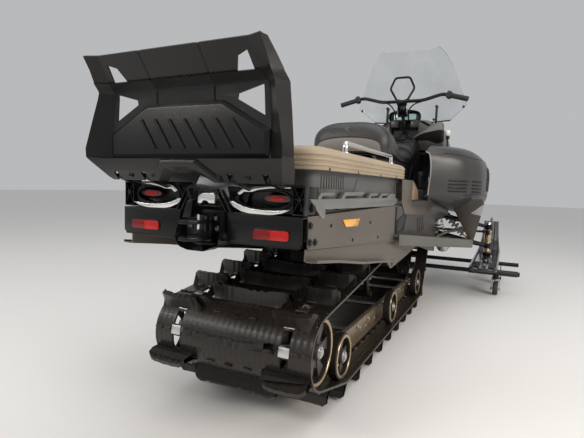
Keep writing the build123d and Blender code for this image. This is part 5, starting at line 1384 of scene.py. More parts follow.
def make_seat_base():
    base = skin("seat_base_shell", [[(-w, y, 0.5785), (-w, y, 0.66), (-w + 0.004, y, 0.770),
            (-w + 0.010, y, 0.786), (-w + 0.02, y, 0.7915), (w - 0.02, y, 0.7915), (w - 0.010, y, 0.786),
            (w - 0.004, y, 0.770), (w, y, 0.66), (w, y, 0.5785)] for y, w in ((-0.436, 0.120),
            (-0.425, 0.134), (-0.20, 0.138), (-0.02, 0.136), (0.25, 0.116), (0.484, 0.109))])
    thicken(base, 0.004, -1)
    soften(base, 0.0015, 2, 35)
    rows = [console_section(*row) for row in ((0.482, 0.108, 0.5785, 0.902, 0.842),
            (0.500, 0.109, 0.5785, 0.926, 0.856), (0.545, 0.110, 0.5785, 0.952, 0.880),
            (0.600, 0.112, 0.5785, 0.976, 0.905), (0.640, 0.114, 0.5785, 0.988, 0.915),
            (0.672, 0.115, 0.5785, 0.972, 0.905), (0.689, 0.115, 0.5785, 0.940, 0.885))]
    cover = skin("tank_cover", flow_rows(rows, 3, 3))
    for y in (0.482, 0.689):
        cap(cover, lambda p, n: abs(p.y - y) < 1e-5)
    smooth(cover, 40)
    lid = [ring("fuel_cap_rim", (0, 0.588, 0.9755), (0, -0.42, 0.9), 0.040, 0.005),
        rod("fuel_cap", (0, 0.590, 0.968), (0, 0.580, 0.989), 0.036, 40, 0.004)]
    trims = []
    for sign in (-1, 1):
        trims += [
            plate("console_panel", [(0.36, 0.70), (0.44, 0.785), (0.60, 0.85), (0.66, 0.86), (0.66, 0.70)],
                sign * 0.003, 0.0012, "YZ", sign * 0.1145),
            plate("base_flash", [(-0.40, 0.70), (-0.38, 0.765), (0.02, 0.765), (0.10, 0.70)], sign * 0.003,
                0.0012, "YZ", sign * 0.1375)]
    assemble("seat_base", [base, cover] + lid + trims, TRIM, "trim_black", "seat_base")


make_seat_base()


# Side panels: smooth bulged shells

PANEL_ROWS = (
    # y, inner edge x, half-width, top z, shoulder z, waist z, bottom z, bottom inner edge x
    (0.205, 0.2335, 0.260, 0.851, 0.800, 0.646, 0.604, 0.2385),
    (0.245, 0.2365, 0.326, 0.869, 0.802, 0.636, 0.586, 0.257),
    (0.320, 0.241, 0.420, 0.891, 0.802, 0.620, 0.560, 0.2905),
    (0.400, 0.246, 0.474, 0.901, 0.797, 0.609, 0.538, 0.312),
    (0.480, 0.251, 0.512, 0.905, 0.790, 0.600, 0.521, 0.331),
    (0.590, 0.257, 0.533, 0.901, 0.781, 0.594, 0.508, 0.364),
    (0.700, 0.263, 0.541, 0.891, 0.770, 0.590, 0.499, 0.393),
    (0.830, 0.283, 0.531, 0.873, 0.757, 0.585, 0.490, 0.399),
    (0.960, 0.301, 0.506, 0.849, 0.740, 0.580, 0.487, 0.401),
    (1.100, 0.304, 0.451, 0.819, 0.721, 0.575, 0.491, 0.352),
    (1.240, 0.301, 0.388, 0.785, 0.700, 0.570, 0.501, 0.301),
    (1.500, 0.197, 0.250, 0.669, 0.640, 0.580, 0.541, 0.197),
)


def make_side_panel(side, sign):
    rows = []
    for y, top_x, wide, top_z, shoulder_z, waist_z, low_z, low_x in PANEL_ROWS:
        drop = top_z - shoulder_z
        foot = low_x + 0.4 * (wide - low_x)
        rows.append([(sign * x, y, z)
                for x, z in ((top_x, top_z), (top_x + 0.35 * (wide - top_x), top_z - 0.05 * drop),
                (top_x + 0.70 * (wide - top_x), top_z - 0.22 * drop), (wide - 0.09 * (wide - top_x),
                top_z - 0.60 * drop), (wide, shoulder_z - 0.012), (wide + 0.001, (shoulder_z + waist_z) / 2),
                (wide - 0.007, waist_z), (foot + 0.45 * (wide - foot), waist_z - 0.62 * (waist_z - low_z)),
                (foot, low_z + 0.001), (low_x, low_z))])
    shell = skin(f"side_shell_{side}", flow_rows(rows, 3, 4))
    thicken(shell, 0.005, -1)
    smooth(shell, 40)
    dress(shell, BODY, "chassis", "body_grey", f"side_panel_{side}")
    return shell


for side, sign in SIDES:
    make_side_panel(side, sign)


# Hood: folded skin with a raised spine and vents

HOOD_ROWS = (
    # y, foot x, foot z, shoulder x, shoulder z, top x, top z
    (0.7305, 0.2694, 0.888, 0.214, 1.040, 0.118, 1.098),
    (0.845, 0.2862, 0.8695, 0.2235, 1.050, 0.1145, 1.119),
    (0.960, 0.303, 0.851, 0.2317, 1.0569, 0.1113, 1.1347),
    (1.100, 0.303, 0.819, 0.2270, 0.988, 0.102, 1.062),
    (1.240, 0.303, 0.787, 0.2223, 0.9151, 0.0927, 0.9853),
    (1.370, 0.251, 0.729, 0.191, 0.828, 0.0785, 0.880),
    (1.500, 0.199, 0.671, 0.1599, 0.7393, 0.0644, 0.7731),
    (1.539, 0.1815, 0.6555, 0.151, 0.713, 0.0605, 0.741),
)


def make_hood():
    rows = []
    for y, foot_x, foot_z, shoulder_x, shoulder_z, top_x, top_z in HOOD_ROWS:
        half = [(foot_x, foot_z), (foot_x * 0.45 + shoulder_x * 0.55 + 0.004, (foot_z + shoulder_z) / 2
                + 0.006), (shoulder_x + 0.001, shoulder_z - 0.004), (shoulder_x - 0.004, shoulder_z + 0.002),
            ((shoulder_x + top_x) / 2, (shoulder_z + top_z) / 2 + 0.003), (top_x + 0.003, top_z - 0.001),
            (top_x - 0.004, top_z), (top_x * 0.45, top_z + 0.003), (top_x * 0.42, top_z + 0.009)]
        rows.append([(x, y, z) for x, z in half] + [(0, y, half[-1][1] + 0.001)]
            + [(-x, y, z) for x, z in half[::-1]])
    shell = skin("hood_shell", rows)
    modify(shell, "SUBSURF", levels=1, render_levels=1, subdivision_type="SIMPLE")
    thicken(shell, 0.004, -1)
    soften(shell, 0.0015, 2, 22)
    vents = []
    for sign in (-1, 1):
        for number in range(5):
            y = 1.12 + number * 0.030
            share = (y - 1.10) / 0.14
            z = 0.905 - 0.062 * share
            vents.append(
                block("hood_vent", (sign * 0.248, y, z - 0.028), (sign * 0.272, y + 0.014, z + 0.028), 0.002))
    dress(shell, BODY, "chassis", "body_grey", "hood")
    assemble("hood_vents", vents, TRIM, "trim_black")


make_hood()


# Dash: fairing, gauge hood with its screen, neck, bearing, knobs and shift lever

def make_dash():
    fairing, dark, glass, bright = [], [], [], []
    for sign in (-1, 1):
        wing = skin("dash_wing", flow_rows([sided(sign, row) for row in (((0.246, 0.737, 0.906),
                (0.252, 0.733, 0.922), (0.246, 0.728, 0.944), (0.228, 0.727, 0.990), (0.206, 0.728, 1.030)),
                ((0.160, 0.716, 0.900), (0.166, 0.706, 0.930), (0.165, 0.700, 0.965), (0.160, 0.702, 1.020),
                (0.150, 0.708, 1.058)), ((0.095, 0.708, 0.905), (0.098, 0.697, 0.950), (0.098, 0.693, 1.000),
                (0.096, 0.695, 1.060), (0.094, 0.704, 1.094)))], 4, 3))
        thicken(wing, 0.004, 0)
        fairing += [
            smooth(wing, 40),
            plate("dash_flank", sided(sign, ((0.092, 0.885), (0.235, 0.895), (0.2505, 0.906), (0.206, 1.033),
                (0.112, 1.087), (0.092, 1.087))), 0.005, 0.0015, at=0.736),
            block("gauge_neck", (sign * 0.041, 0.7035, 1.055), (sign * 0.091, 0.7290, 1.1015), 0.003)]
    panel = plate("dash_middle", [(-0.150, 0.873), (0.150, 0.873), (0.150, 0.905), (0.094, 1.040),
            (-0.094, 1.040), (-0.150, 0.905)], 0.005, 0.002, at=0.736)
    dark.append(panel)
    visor = skin("gauge_visor", flow_rows([[(x, y, z) for x, y, z in row]
            for row in (((-0.100, 0.700, 1.098), (-0.106, 0.696, 1.130), (-0.086, 0.694, 1.158),
            (0, 0.692, 1.171), (0.086, 0.694, 1.158), (0.106, 0.696, 1.130), (0.100, 0.700, 1.098)),
            ((-0.094, 0.760, 1.100), (-0.100, 0.756, 1.132), (-0.080, 0.754, 1.156), (0, 0.752, 1.168),
            (0.080, 0.754, 1.156), (0.100, 0.756, 1.132), (0.094, 0.760, 1.100)),
            ((-0.070, 0.822, 1.110), (-0.072, 0.822, 1.120), (-0.052, 0.822, 1.134), (0, 0.820, 1.142),
            (0.052, 0.822, 1.134), (0.072, 0.822, 1.120), (0.070, 0.822, 1.110)))], 3, 3))
    thicken(visor, 0.004, -1)
    dark.append(smooth(visor, 45))
    face = plate("gauge_face", [(-0.094, 1.100), (-0.098, 1.130), (-0.080, 1.150), (0.080, 1.150),
            (0.098, 1.130), (0.094, 1.100)], 0.030, 0.002, at=0.712)
    sink(face, lambda p, n: n.y < -0.9, 0.006, (0, 0.004, 0))
    dark.append(face)
    glass.append(block("gauge_screen", (-0.074, 0.7135, 1.106), (0.074, 0.7165, 1.145), 0.002))
    dark += [
        ring_tube("column_bearing", (0, 0.7455, 0.9615), 0.0135, 0.032, 0.070, COLUMN_LEAN),
        ring_tube("column_sleeve", (0, 0.7815, 0.899), 0.0135, 0.025, 0.072, COLUMN_LEAN)]
    for x, z in ((-0.060, 0.930), (0.060, 0.930), (0.085, 0.965), (-0.085, 0.965)):
        dark.append(rod("dash_knob", (x, 0.736, z), (x, 0.716, z), 0.011, 24, 0.002))
        bright.append(ring("knob_ring", (x, 0.733, z), (0, 1, 0), 0.0135, 0.0015, 24, 8))
    dark += [
        bent_tube("shift_lever", [(0.300, 0.560, 0.895), (0.302, 0.556, 0.965), (0.302, 0.552, 0.985)],
            0.005),
        ring("lever_boot", (0.300, 0.560, 0.9045), (0, 0, 1), 0.016, 0.004, 24, 8)]
    knob = rod("lever_knob", (0.302, 0.553, 0.975), (0.302, 0.550, 1.010), 0.014, 24, 0.007)
    dark.append(rod("lever_neck", (0.302, 0.555, 0.955), (0.302, 0.553, 0.978), 0.011, 24, 0.003))
    leaves = []
    for sign in (-1, 1):
        edge_top = ((0.050, 0.700, 0.969), (0.120, 0.712, 1.036), (0.190, 0.722, 1.070),
            (0.232, 0.730, 1.086), (0.252, 0.733, 1.066))
        crest = ((0.050, 0.695, 0.966), (0.120, 0.678, 1.004), (0.190, 0.682, 1.022), (0.240, 0.692, 1.030),
            (0.258, 0.700, 1.024))
        edge_low = ((0.050, 0.700, 0.962), (0.120, 0.704, 0.952), (0.190, 0.712, 0.946),
            (0.240, 0.720, 0.948), (0.256, 0.726, 0.962))
        for pile, low, high in ((leaves, edge_top, crest), (dark, crest, edge_low)):
            middle_row = [tuple((a + b) / 2 - (0.003 if axis == 1 else 0.0)
                    for axis, (a, b) in enumerate(zip(u, v))) for u, v in zip(low, high)]
            leaf = skin("dash_leaf", flow_rows([sided(sign, row) for row in (low, middle_row, high)], 4, 3))
            thicken(leaf, 0.005, 0)
            pile.append(smooth(leaf, 40))
    assemble("dash_leaves", leaves, LEAF, "body_grey")
    assemble("dash_fairing", fairing, BODY, "body_grey", "dash")
    assemble("dash_black", dark, TRIM, "trim_black")
    assemble("gauge_screen", glass, DISPLAY, "lamp_clear")
    assemble("knob_rings", bright, SILVER, "steel_bright")
    dress(knob, KNOB, "chassis", "trim_black")


DISPLAY = surface("pale display", (0.50, 0.72, 0.74), 0.12, drift=0.06, drift_scale=40, coat=0.9)
KNOB = surface("white knob", (0.78, 0.76, 0.72), 0.3, drift=0.06, coat=0.4)
LEAF = surface("grey dash leaf", (0.115, 0.108, 0.098), 0.3, drift=0.12, grain=0.0002)
make_dash()


# Windshield: folded clear sheet on two posts

POST_X, SEAL_Z = 0.172, 1.122


def make_windshield():
    rows = []
    for z, mid_x, mid_y, fold_x, fold_y, wide, side_y in ((1.123, 0.112, 0.985, 0.170, 0.968, 0.268, 0.918),
            (1.150, 0.104, 0.977, 0.178, 0.959, 0.300, 0.906),
            (1.214, 0.070, 0.958, 0.206, 0.938, 0.3735, 0.876),
            (1.300, 0.063, 0.927, 0.190, 0.909, 0.341, 0.851),
            (1.400, 0.056, 0.890, 0.171, 0.875, 0.303, 0.823),
            (1.480, 0.050, 0.862, 0.156, 0.848, 0.2715, 0.800),
            (1.555, 0.043, 0.832, 0.132, 0.820, 0.224, 0.784),
            (1.5875, 0.040, 0.818, 0.118, 0.807, 0.190, 0.777)):
        half = [(wide, side_y), ((wide + fold_x) / 2 + 0.004, (side_y + fold_y) / 2 + 0.008),
            (fold_x + 0.006, fold_y - 0.002), (fold_x - 0.006, fold_y + 0.001),
            ((fold_x + mid_x) / 2, (fold_y + mid_y) / 2), (mid_x, mid_y)]
        rows.append(
            [(x, y, z) for x, y in half] + [(0, mid_y + 0.001, z)] + [(-x, y, z) for x, y in half[::-1]])
    sheet = skin("clear_sheet", rows)
    thicken(sheet, 0.004, 0)
    soften(sheet, 0.0012, 2, 30)
    posts = []
    for sign in (-1, 1):
        posts += [
            plate("screen_post", [(0.903, 1.090), (0.912, 1.210), (0.917, 1.229), (0.936, 1.229),
                (0.944, 1.205), (0.940, 1.092)], 0.012, 0.002, "YZ", sign * POST_X - 0.006),
            rod("post_clip", (sign * POST_X, 0.905, 1.221), (sign * POST_X, 0.955, 1.221), 0.009, 20, 0.002)]
    base = [bent_tube("screen_seal",
            [(-0.266, 0.9195, SEAL_Z), (-0.170, 0.9695, SEAL_Z), (-0.112, 0.9865, SEAL_Z),
            (0.112, 0.9865, SEAL_Z), (0.170, 0.9695, SEAL_Z), (0.266, 0.9195, SEAL_Z)], 0.0045)]
    for sign in (-1, 1):
        for x, y, z in ((0.148, 0.977, 1.140), (0.352, 0.887, 1.205)):
            base.append(bolt("screen_screw", (sign * x, y - 0.004, z), (sign * 0.3, -1, 0), 0.006, 0.004))
    dress(sheet, SCREEN, "chassis", "screen_clear", "windshield")
    assemble("screen_posts", posts + base, TRIM, "trim_black")


make_windshield()


# Handlebar: bent bar, clamp riser, strap hoop, grips, pods and levers

BAR_END = Vector((0.400, 0.563, 1.196))
RISER_Y, RISER_Z = 0.603, 1.208       # the bar's middle, where the riser holds it
BAR_IN = Vector((-0.144, 0.036, 0.046)).normalized()


def make_handlebar():
    bar = bent_tube("bar_tube", [(-0.400, 0.563, 1.196), (-0.256, 0.599, 1.242), (-0.130, RISER_Y, RISER_Z),
            (0.130, RISER_Y, RISER_Z), (0.256, 0.599, 1.242), (0.400, 0.563, 1.196)], 0.011, bend=0.03)
    hoop = bent_tube("strap_hoop", [(-0.034, RISER_Y, 1.216), (-0.078, 0.597, 1.290), (-0.046, 0.591, 1.358),
            (0.046, 0.591, 1.358), (0.078, 0.597, 1.290), (0.034, RISER_Y, 1.216)], 0.007, bend=0.016)
    lean = Vector(COLUMN_LEAN)
    top = Vector((0, RISER_Y, RISER_Z))
    parts, silver = [bar, hoop], []
    riser = block("riser", (-0.028, -0.017, -0.088), (0.028, 0.017, -0.014), 0.005, 3)
    pocket(riser, lambda p, n: abs(n.y) > 0.9, 0.007, 0.003, 0.004)
    foot = block("riser_foot", (-0.033, -0.020, -0.100), (0.033, 0.020, -0.086), 0.004)
    saddle = block("bar_saddle", (-0.0325, -0.0195, -0.018), (0.0325, 0.0195, 0.006), 0.004)
    turn = Vector((0, 0, -1)).rotation_difference(lean).to_matrix().to_4x4()
    for piece in (riser, foot, saddle):
        piece.data.transform(Matrix.Translation(top) @ turn)
        parts.append(piece)
    for x in (-0.024, 0.024):
        for y in (-0.0145, 0.0145):
            spot = turn @ Vector((x, y, 0.006)) + top
            parts.append(bolt("clamp_bolt", spot, -lean, 0.0045, 0.004))
    for x in (-0.0300, 0.0300):
        silver.append(rod("riser_edge", turn @ Vector((x, -0.0175, -0.080)) + top,
                turn @ Vector((x, -0.0175, -0.022)) + top, 0.0035, 12, 0.001))
    column_top = turn @ Vector((0, 0, -0.098)) + top
    column_end = top + lean * 0.345
    parts.append(rod("steering_column", column_top, column_end, 0.012, 32, 0.001))
    for share in (0.18, 0.42):
        parts.append(ring("column_collar", column_top.lerp(column_end, share), lean, 0.0125, 0.0028, 32, 8))
    # control cables from the pods down the riser
    for sign, spread in ((-1, 0.018), (1, -0.016)):
        parts.append(bent_tube("control_cable", [(sign * 0.262, 0.580, 1.236), (sign * 0.190, 0.585, 1.214),
                (sign * 0.080, 0.583, 1.190 + spread * 0.3), (sign * 0.044, 0.600, 1.150),
                (sign * 0.040, 0.640, 1.090)], 0.0042, rounds=6, bend=0.03))
    assemble("handlebar_tubes", parts, FRAME, "frame_black", "handlebar", body="steering")
    assemble("riser_edges", silver, SILVER, "steel_bright", body="steering")


def make_controls():
    grips, levers = [], []
    for sign, reach, radius in ((-1, 0.118, 0.005), (1, 0.062, 0.004)):
        end = Vector((sign * BAR_END.x, BAR_END.y, BAR_END.z))
        inward = Vector((sign * BAR_IN.x, BAR_IN.y, BAR_IN.z))
        low = end - inward * 0.005
        grips += [
            rod("grip", low, low + inward * 0.105, 0.0150, 40, 0.003),
            ring("grip_end", low + inward * 0.003, inward, 0.0135, 0.003, 32, 8),
            ring("grip_flange", low + inward * 0.1015, inward, 0.0140, 0.0025, 32, 8)]
        for number in range(16):
            grips.append(
                ring("grip_rib", low + inward * (0.014 + number * 0.0052), inward, 0.0147, 0.0012, 28, 6))
        turn = Vector((0, 0, 1)).rotation_difference(inward).to_matrix().to_4x4()
        pod = block("switch_pod", (-0.0195, -0.0175, 0.0), (0.0195, 0.0175, 0.031), 0.006, 3)
        cover = block("pod_cover", (-0.0215, -0.019, 0.005), (0.0215, 0.019, 0.026), 0.006, 3)
        knob = block("pod_switch", (-0.008, -0.0205, 0.008), (0.008, -0.016, 0.023), 0.002)
        for piece in (pod, cover, knob):
            piece.data.transform(Matrix.Translation(end + inward * 0.1003) @ turn)
            grips.append(piece)
        for number in range(3):
            spot = end + inward * (0.108 + number * 0.008) + Vector((0, -0.0200, 0.010))
            grips.append(rod("pod_button", spot, spot + Vector((0, -0.0015, 0)), 0.0032, 16, 0.0006))
        middle = end + inward * 0.113
        front = Vector((0, 0.040, 0.004))
        reach_point = middle - inward * reach
        levers.append(bent_tube("lever", [middle + Vector((0, 0.016, 0.002)), middle + front - inward * 0.012,
                reach_point + front * 0.95], radius, bend=0.012))
        tip = reach_point + front * 0.95
        levers.append(
            rod("lever_tip", tip - inward * 0.004, tip + inward * 0.003, radius + 0.0018, 20, 0.002))
    assemble("grips_and_pods", grips, GRIP, "grip_rubber", "bar_controls", body="steering")
    assemble("bar_levers", levers, BLACKBOLT, "steel_bright", body="steering")


make_handlebar()
make_controls()


# Deck rails: chrome hoops with feet and collars

HOOP_X, HOOP_TOP = 0.214, 0.776


def make_deck_rails():
    hoops = []
    rear, front = -1.079, -0.510
    for sign in (-1, 1):
        hoops.append(bent_tube("deck_hoop", [(sign * HOOP_X, rear, 0.7425), (sign * HOOP_X, rear, HOOP_TOP),
                (sign * HOOP_X, front, HOOP_TOP), (sign * HOOP_X, front, 0.7425)], 0.008, bend=0.022))
        for y in (rear, front):
            hoops += [
                rod("hoop_foot", (sign * HOOP_X, y, 0.7422), (sign * HOOP_X, y, 0.747), 0.015, 32, 0.001),
                ring("hoop_collar", (sign * HOOP_X, y, 0.748), (0, 0, 1), 0.009, 0.002, 28, 8)]
    assemble("deck_hoops", hoops, CHROME, "rail_chrome", "deck_rails")


make_deck_rails()


# Running boards: perforated plate, folded edge with a serrated top, toe hold and footwell sheets

BOARD_IN = 0.2665                           # x of the board's inner edge
BOARD_REAR, BOARD_LONG = -0.620, 1.040      # y of its rear end, and its length
EDGE_REAR, EDGE_FRONT = 0.286, 0.488        # x of its outer edge at either end
BOARD_SLOPE = (0.345 - 0.455) / BOARD_LONG


def board_edge(y):
    """Outer edge of the board at a station."""
    return EDGE_REAR + (EDGE_FRONT - EDGE_REAR) * (y - BOARD_REAR) / BOARD_LONG


def board_across(y, share):
    """A share of the way from the board's inner edge to its outer edge."""
    return BOARD_IN + (board_edge(y) - BOARD_IN) * share


def board_top(y):
    return 0.459 + (y - BOARD_REAR) * BOARD_SLOPE


def make_board(side, sign):
    metal, black = [], []
    stations = [BOARD_REAR + step * BOARD_LONG / 26 for step in range(27)]
    # rungs and side strips around the slots
    for share_in, share_out in ((0.0, 0.12), (0.88, 1.0)):
        metal.append(skin("board_strip", [[(sign * board_across(y, share), y, board_top(y)) for y in stations]
                for share in (share_in, share_out)], 0.004, side=0))
    y = -0.616
    while y < 0.402:
        deep = 0.011 if y > -0.32 else 0.030
        half = deep / 2
        near, far = board_across(y, 0.10), board_across(y, 0.90)
        metal.append(
            skin("board_rung", [[(sign * x, place, board_top(place)) for x in (near, (near + far) / 2, far)]
                for place in (y - half, y + half)], 0.004, side=0))
        teeth = max(1, int((far - near) / 0.022))
        for number in range(teeth):
            x = near + (number + 0.5) * (far - near) / teeth
            metal.append(rod("board_tooth", (sign * x, y, board_top(y) - 0.001),
                    (sign * x, y, board_top(y) + 0.0035), 0.0045, 8, 0.0, 0.0030))
        y += 0.030 if y > -0.32 else 0.032
    # folded edge with a row of teeth
    edge = skin("board_edge", [[(sign * (board_edge(y) - 0.006), y, board_top(y) - 0.001),
            (sign * (board_edge(y) - 0.001), y, board_top(y) + 0.007),
            (sign * board_edge(y), y, board_top(y) + 0.006), (sign * board_edge(y), y, board_top(y) - 0.030),
            (sign * (board_edge(y) - 0.004), y, board_top(y) - 0.033),
            (sign * (board_edge(y) - 0.010), y, board_top(y) - 0.033)] for y in stations], 0.003)
    metal.append(soften(edge, 0.001, 2, 40))
    for number in range(52):
        y = -0.250 + number * 0.0128
        x = board_edge(y) - 0.0035
        metal.append(block("edge_tooth", (sign * (x - 0.003), y - 0.0035, board_top(y) + 0.002),
                (sign * (x + 0.002), y + 0.0035, board_top(y) + 0.0115), 0.0))
    end = skin("board_nose", [[(sign * x, 0.4195, z) for x in (BOARD_IN, 0.350, 0.420, 0.488)]
            for z in (board_top(0.42) + 0.006, board_top(0.42) - 0.012)], 0.003)
    metal.append(end)
    metal.append(bent_tube("toe_hold", [(sign * 0.478, 0.390, 0.343), (sign * 0.478, 0.540, 0.424),
            (sign * 0.3265, 0.540, 0.384), (sign * 0.276, 0.460, 0.357)], 0.009, bend=0.026))
    assemble(f"board_metal_{side}", metal, BOARD, "board_metal", f"running_board_{side}")
    # footwell: an upright sheet from the tunnel up to the side panel, with slanted slots
    well = skin("footwell", flow_rows([[(sign * 0.262, y, low), (sign * 0.263, y, low + 0.40 * (high - low)),
            (sign * bulge, y, low + 0.75 * (high - low)), (sign * bulge, y, high)]
            for y, low, high, bulge in ((0.205, 0.400, 0.606, 0.258), (0.320, 0.390, 0.600, 0.285),
            (0.450, 0.386, 0.560, 0.320), (0.500, 0.384, 0.530, 0.330))], 3, 3))
    thicken(well, 0.004, 0)
    black.append(smooth(well, 50))
    for number in range(4):
        y = 0.235 + number * 0.055
        black.append(plate("well_rib", [(y, 0.430), (y + 0.014, 0.430), (y + 0.050, 0.520),
                (y + 0.036, 0.520)], sign * 0.006, 0.0015, "YZ", sign * 0.262))
    for number in range(3):
        black.append(block("well_step", (sign * 0.262, 0.40 + number * 0.03, 0.395 + number * 0.014),
                (sign * 0.300, 0.412 + number * 0.03, 0.405 + number * 0.014), 0.002))
    cover = skin("tunnel_cover",
        [[(sign * 0.2692, y, low + (0.574 - low) * share) for share in (0.0, 0.35, 0.7, 1.0)]
            for y, low in ((-0.605, 0.466), (-0.40, 0.447), (-0.10, 0.415), (0.20, 0.384), (0.44, 0.356))])
    thicken(cover, 0.003, 0)
    black.append(soften(cover, 0.001, 2, 40))
    wedge = plate("toe_wedge", sided(sign, ((0.350, 0.575), (0.526, 0.600), (0.540, 0.565), (0.492, 0.352),
            (0.470, 0.352), (0.398, 0.490))), 0.008, 0.002, at=0.414)
    black.append(wedge)
    dress(plate(f"pale_corner_{side}", sided(sign, ((0.468, 0.512), (0.541, 0.571), (0.526, 0.500))), 0.004,
            0.001, at=0.4115), PALE, "chassis", "body_grey")
    assemble(f"footwell_{side}", black, WELL, "trim_black")
    # black slot plates on the tunnel cover: their dark is painted shade that stands in for the shaded slot
    # openings
    slots = []
    for number in range(4):
        y = -0.170 + number * 0.050
        slots.append(plate("shaded_slot", [(y, 0.505), (y + 0.012, 0.505), (y + 0.052, 0.432),
                (y + 0.040, 0.432)], sign * 0.0015, 0.0006, "YZ", sign * 0.2706))
    slots.append(plate("cover_step", [(-0.600, 0.520), (-0.440, 0.545), (-0.420, 0.535), (-0.470, 0.470),
            (-0.600, 0.470)], sign * 0.004, 0.0015, "YZ", sign * 0.2700))
    hang = plate("deck_bracket", [(-0.548, 0.682), (-0.318, 0.682), (-0.338, 0.600), (-0.318, 0.566),
            (0.060, 0.548), (0.080, 0.522), (-0.060, 0.514), (-0.470, 0.538), (-0.535, 0.585)], sign * 0.003,
        0.0012, "YZ", sign * 0.2712)
    shield = skin("heat_shield", flow_rows([[(sign * x, y + shift, z) for shift in (-0.022, 0.0, 0.022)]
            for x, y, z in ((0.292, 0.462, 0.545), (0.296, 0.500, 0.480), (0.302, 0.560, 0.420),
            (0.306, 0.640, 0.372))], 4, 2))
    thicken(shield, 0.002, 0)
    studs = [smooth(shield, 40)]
    for step in range(9):
        share = step / 8
        y, z = 0.462 + 0.178 * share ** 1.4, 0.545 - 0.173 * share ** 0.8
        for shift in (-0.010, 0.010):
            studs.append(rod("shield_dimple", (sign * 0.2900, y + shift, z), (sign * 0.3055, y + shift, z),
                    0.0042, 12, 0.001))
    assemble(f"shaded_slots_{side}", slots, TRIM, "trim_black")
    dress(hang, HANGER, "chassis", "tunnel_metal")
    assemble(f"heat_shield_{side}", studs, CHROME, "rail_chrome")
    if sign > 0:
        dress(plate("copper_panel", [(-0.215, 0.592), (-0.215, 0.676), (-0.185, 0.684), (-0.060, 0.640),
                (-0.040, 0.592)], 0.003, 0.001, "YZ", 0.246), COPPER, "chassis", "tunnel_metal")


WELL = surface("brown grey footwell", (0.052, 0.046, 0.040), 0.36, drift=0.2, drift_scale=5, grain=0.0002,
    scuff=0.2, scuff_colour=(0.16, 0.15, 0.13))
PALE = surface("pale body accent", (0.36, 0.35, 0.335), 0.32, drift=0.1, grain=0.00015)
HANGER = surface("brown bracket metal", (0.15, 0.125, 0.098), 0.36, metal=0.5, drift=0.2, drift_scale=9,
    grain=0.0001)
COPPER = surface("copper heat panel", (0.62, 0.40, 0.26), 0.32, metal=0.85, drift=0.2, drift_scale=14,
    grain=0.0001)
for side, sign in SIDES:
    make_board(side, sign)


# Side panel details: pale rear edge, dark top edge, louvres, tall vents and seams

def panel_point(y, share, sign):
    """A point on the side panel's skin; share runs from the top edge, 0, to the bottom, 1."""
    rows = PANEL_ROWS
    index = max(number for number in range(len(rows) - 1) if rows[number][0] <= y + 1e-9)
    t = (y - rows[index][0]) / (rows[index + 1][0] - rows[index][0])
    _, top_x, wide, top_z, shoulder_z, waist_z, low_z, low_x = [a + (b - a) * t
        for a, b in zip(rows[index], rows[index + 1])]
    drop = top_z - shoulder_z
    foot = low_x + 0.4 * (wide - low_x)
    line = [(top_x, top_z), (top_x + 0.70 * (wide - top_x), top_z - 0.22 * drop), (wide, shoulder_z - 0.012),
        (wide + 0.001, (shoulder_z + waist_z) / 2), (wide - 0.007, waist_z),
        (foot + 0.45 * (wide - foot), waist_z - 0.62 * (waist_z - low_z)), (foot, low_z)]
    place = share * (len(line) - 1)
    start = min(int(place), len(line) - 2)
    x = line[start][0] + (line[start + 1][0] - line[start][0]) * (place - start)
    z = line[start][1] + (line[start + 1][1] - line[start][1]) * (place - start)
    return Vector((sign * x, y, z))


def make_panel_details(shell, side, sign):
    dark, pale = [], []
    rear = [panel_point(0.2075, share / 20, sign) for share in range(0, 19)]
    pale.append(bent_tube("panel_rear_edge", rear, 0.0032, rounds=2, bend=0.004))
    crest = [panel_point(y, 0.0, sign) for y in (0.208, 0.245, 0.32, 0.40, 0.48, 0.59, 0.70, 0.83, 0.96)]
    dark.append(bent_tube("panel_top_edge", crest, 0.0034, rounds=2, bend=0.01))

    def laid(name, corners, thick, lift):
        """A thin plate laid on the panel between points found on its skin."""
        steps = 8
        grid = []
        for row in range(5):
            line = []
            for step in range(steps + 1):
                t, v = step / steps, row / 4
                a = Vector(corners[0]).lerp(Vector(corners[1]), t)
                b = Vector(corners[3]).lerp(Vector(corners[2]), t)
                aim = a.lerp(b, v)
                _, place, normal, _ = shell.closest_point_on_mesh(aim)
                line.append(place + normal * lift)
            grid.append(line)
        sheet = skin(name, grid)
        thicken(sheet, thick, 0)
        return soften(sheet, 0.0006, 2, 50)

    # louvres: two rows at the rear lower part, with steps between
    for number in range(4):
        z = 0.700 - number * 0.020
        dark.append(laid("louvre", [(sign * 0.36, 0.260, z), (sign * 0.46, 0.345, z - 0.001),
                (sign * 0.46, 0.345, z - 0.009), (sign * 0.36, 0.260, z - 0.008)], 0.004, 0.0012))
        dark.append(laid("louvre", [(sign * 0.50, 0.375, z - 0.002), (sign * 0.54, 0.480, z - 0.003),
                (sign * 0.54, 0.480, z - 0.011), (sign * 0.50, 0.375, z - 0.010)], 0.004, 0.0012))
    # tall vents on the outer face
    for number in range(3):
        y = 0.600 + number * 0.052
        dark.append(laid("tall_vent", [(sign * 0.56, y, 0.790), (sign * 0.56, y + 0.016, 0.790),
                (sign * 0.56, y + 0.030, 0.640), (sign * 0.56, y + 0.014, 0.640)], 0.005, 0.0010))
    # seams of the panel
    for corners in ([(0.34, 0.235, 0.86), (0.50, 0.40, 0.845), (0.55, 0.62, 0.842), (0.53, 0.85, 0.815)],
            [(0.44, 0.330, 0.612), (0.52, 0.46, 0.622), (0.56, 0.66, 0.612), (0.54, 0.88, 0.602)]):
        path = []
        for point in flow(sided(sign, corners), 6):
            _, place, normal, _ = shell.closest_point_on_mesh(Vector(point))
            path.append(place)
        dark.append(bent_tube("panel_seam", path, 0.0020, rounds=2, bend=0.004))
    assemble(f"panel_dark_{side}", dark, TRIM, "trim_black")
    assemble(f"panel_pale_{side}", pale, PALE, "body_grey")


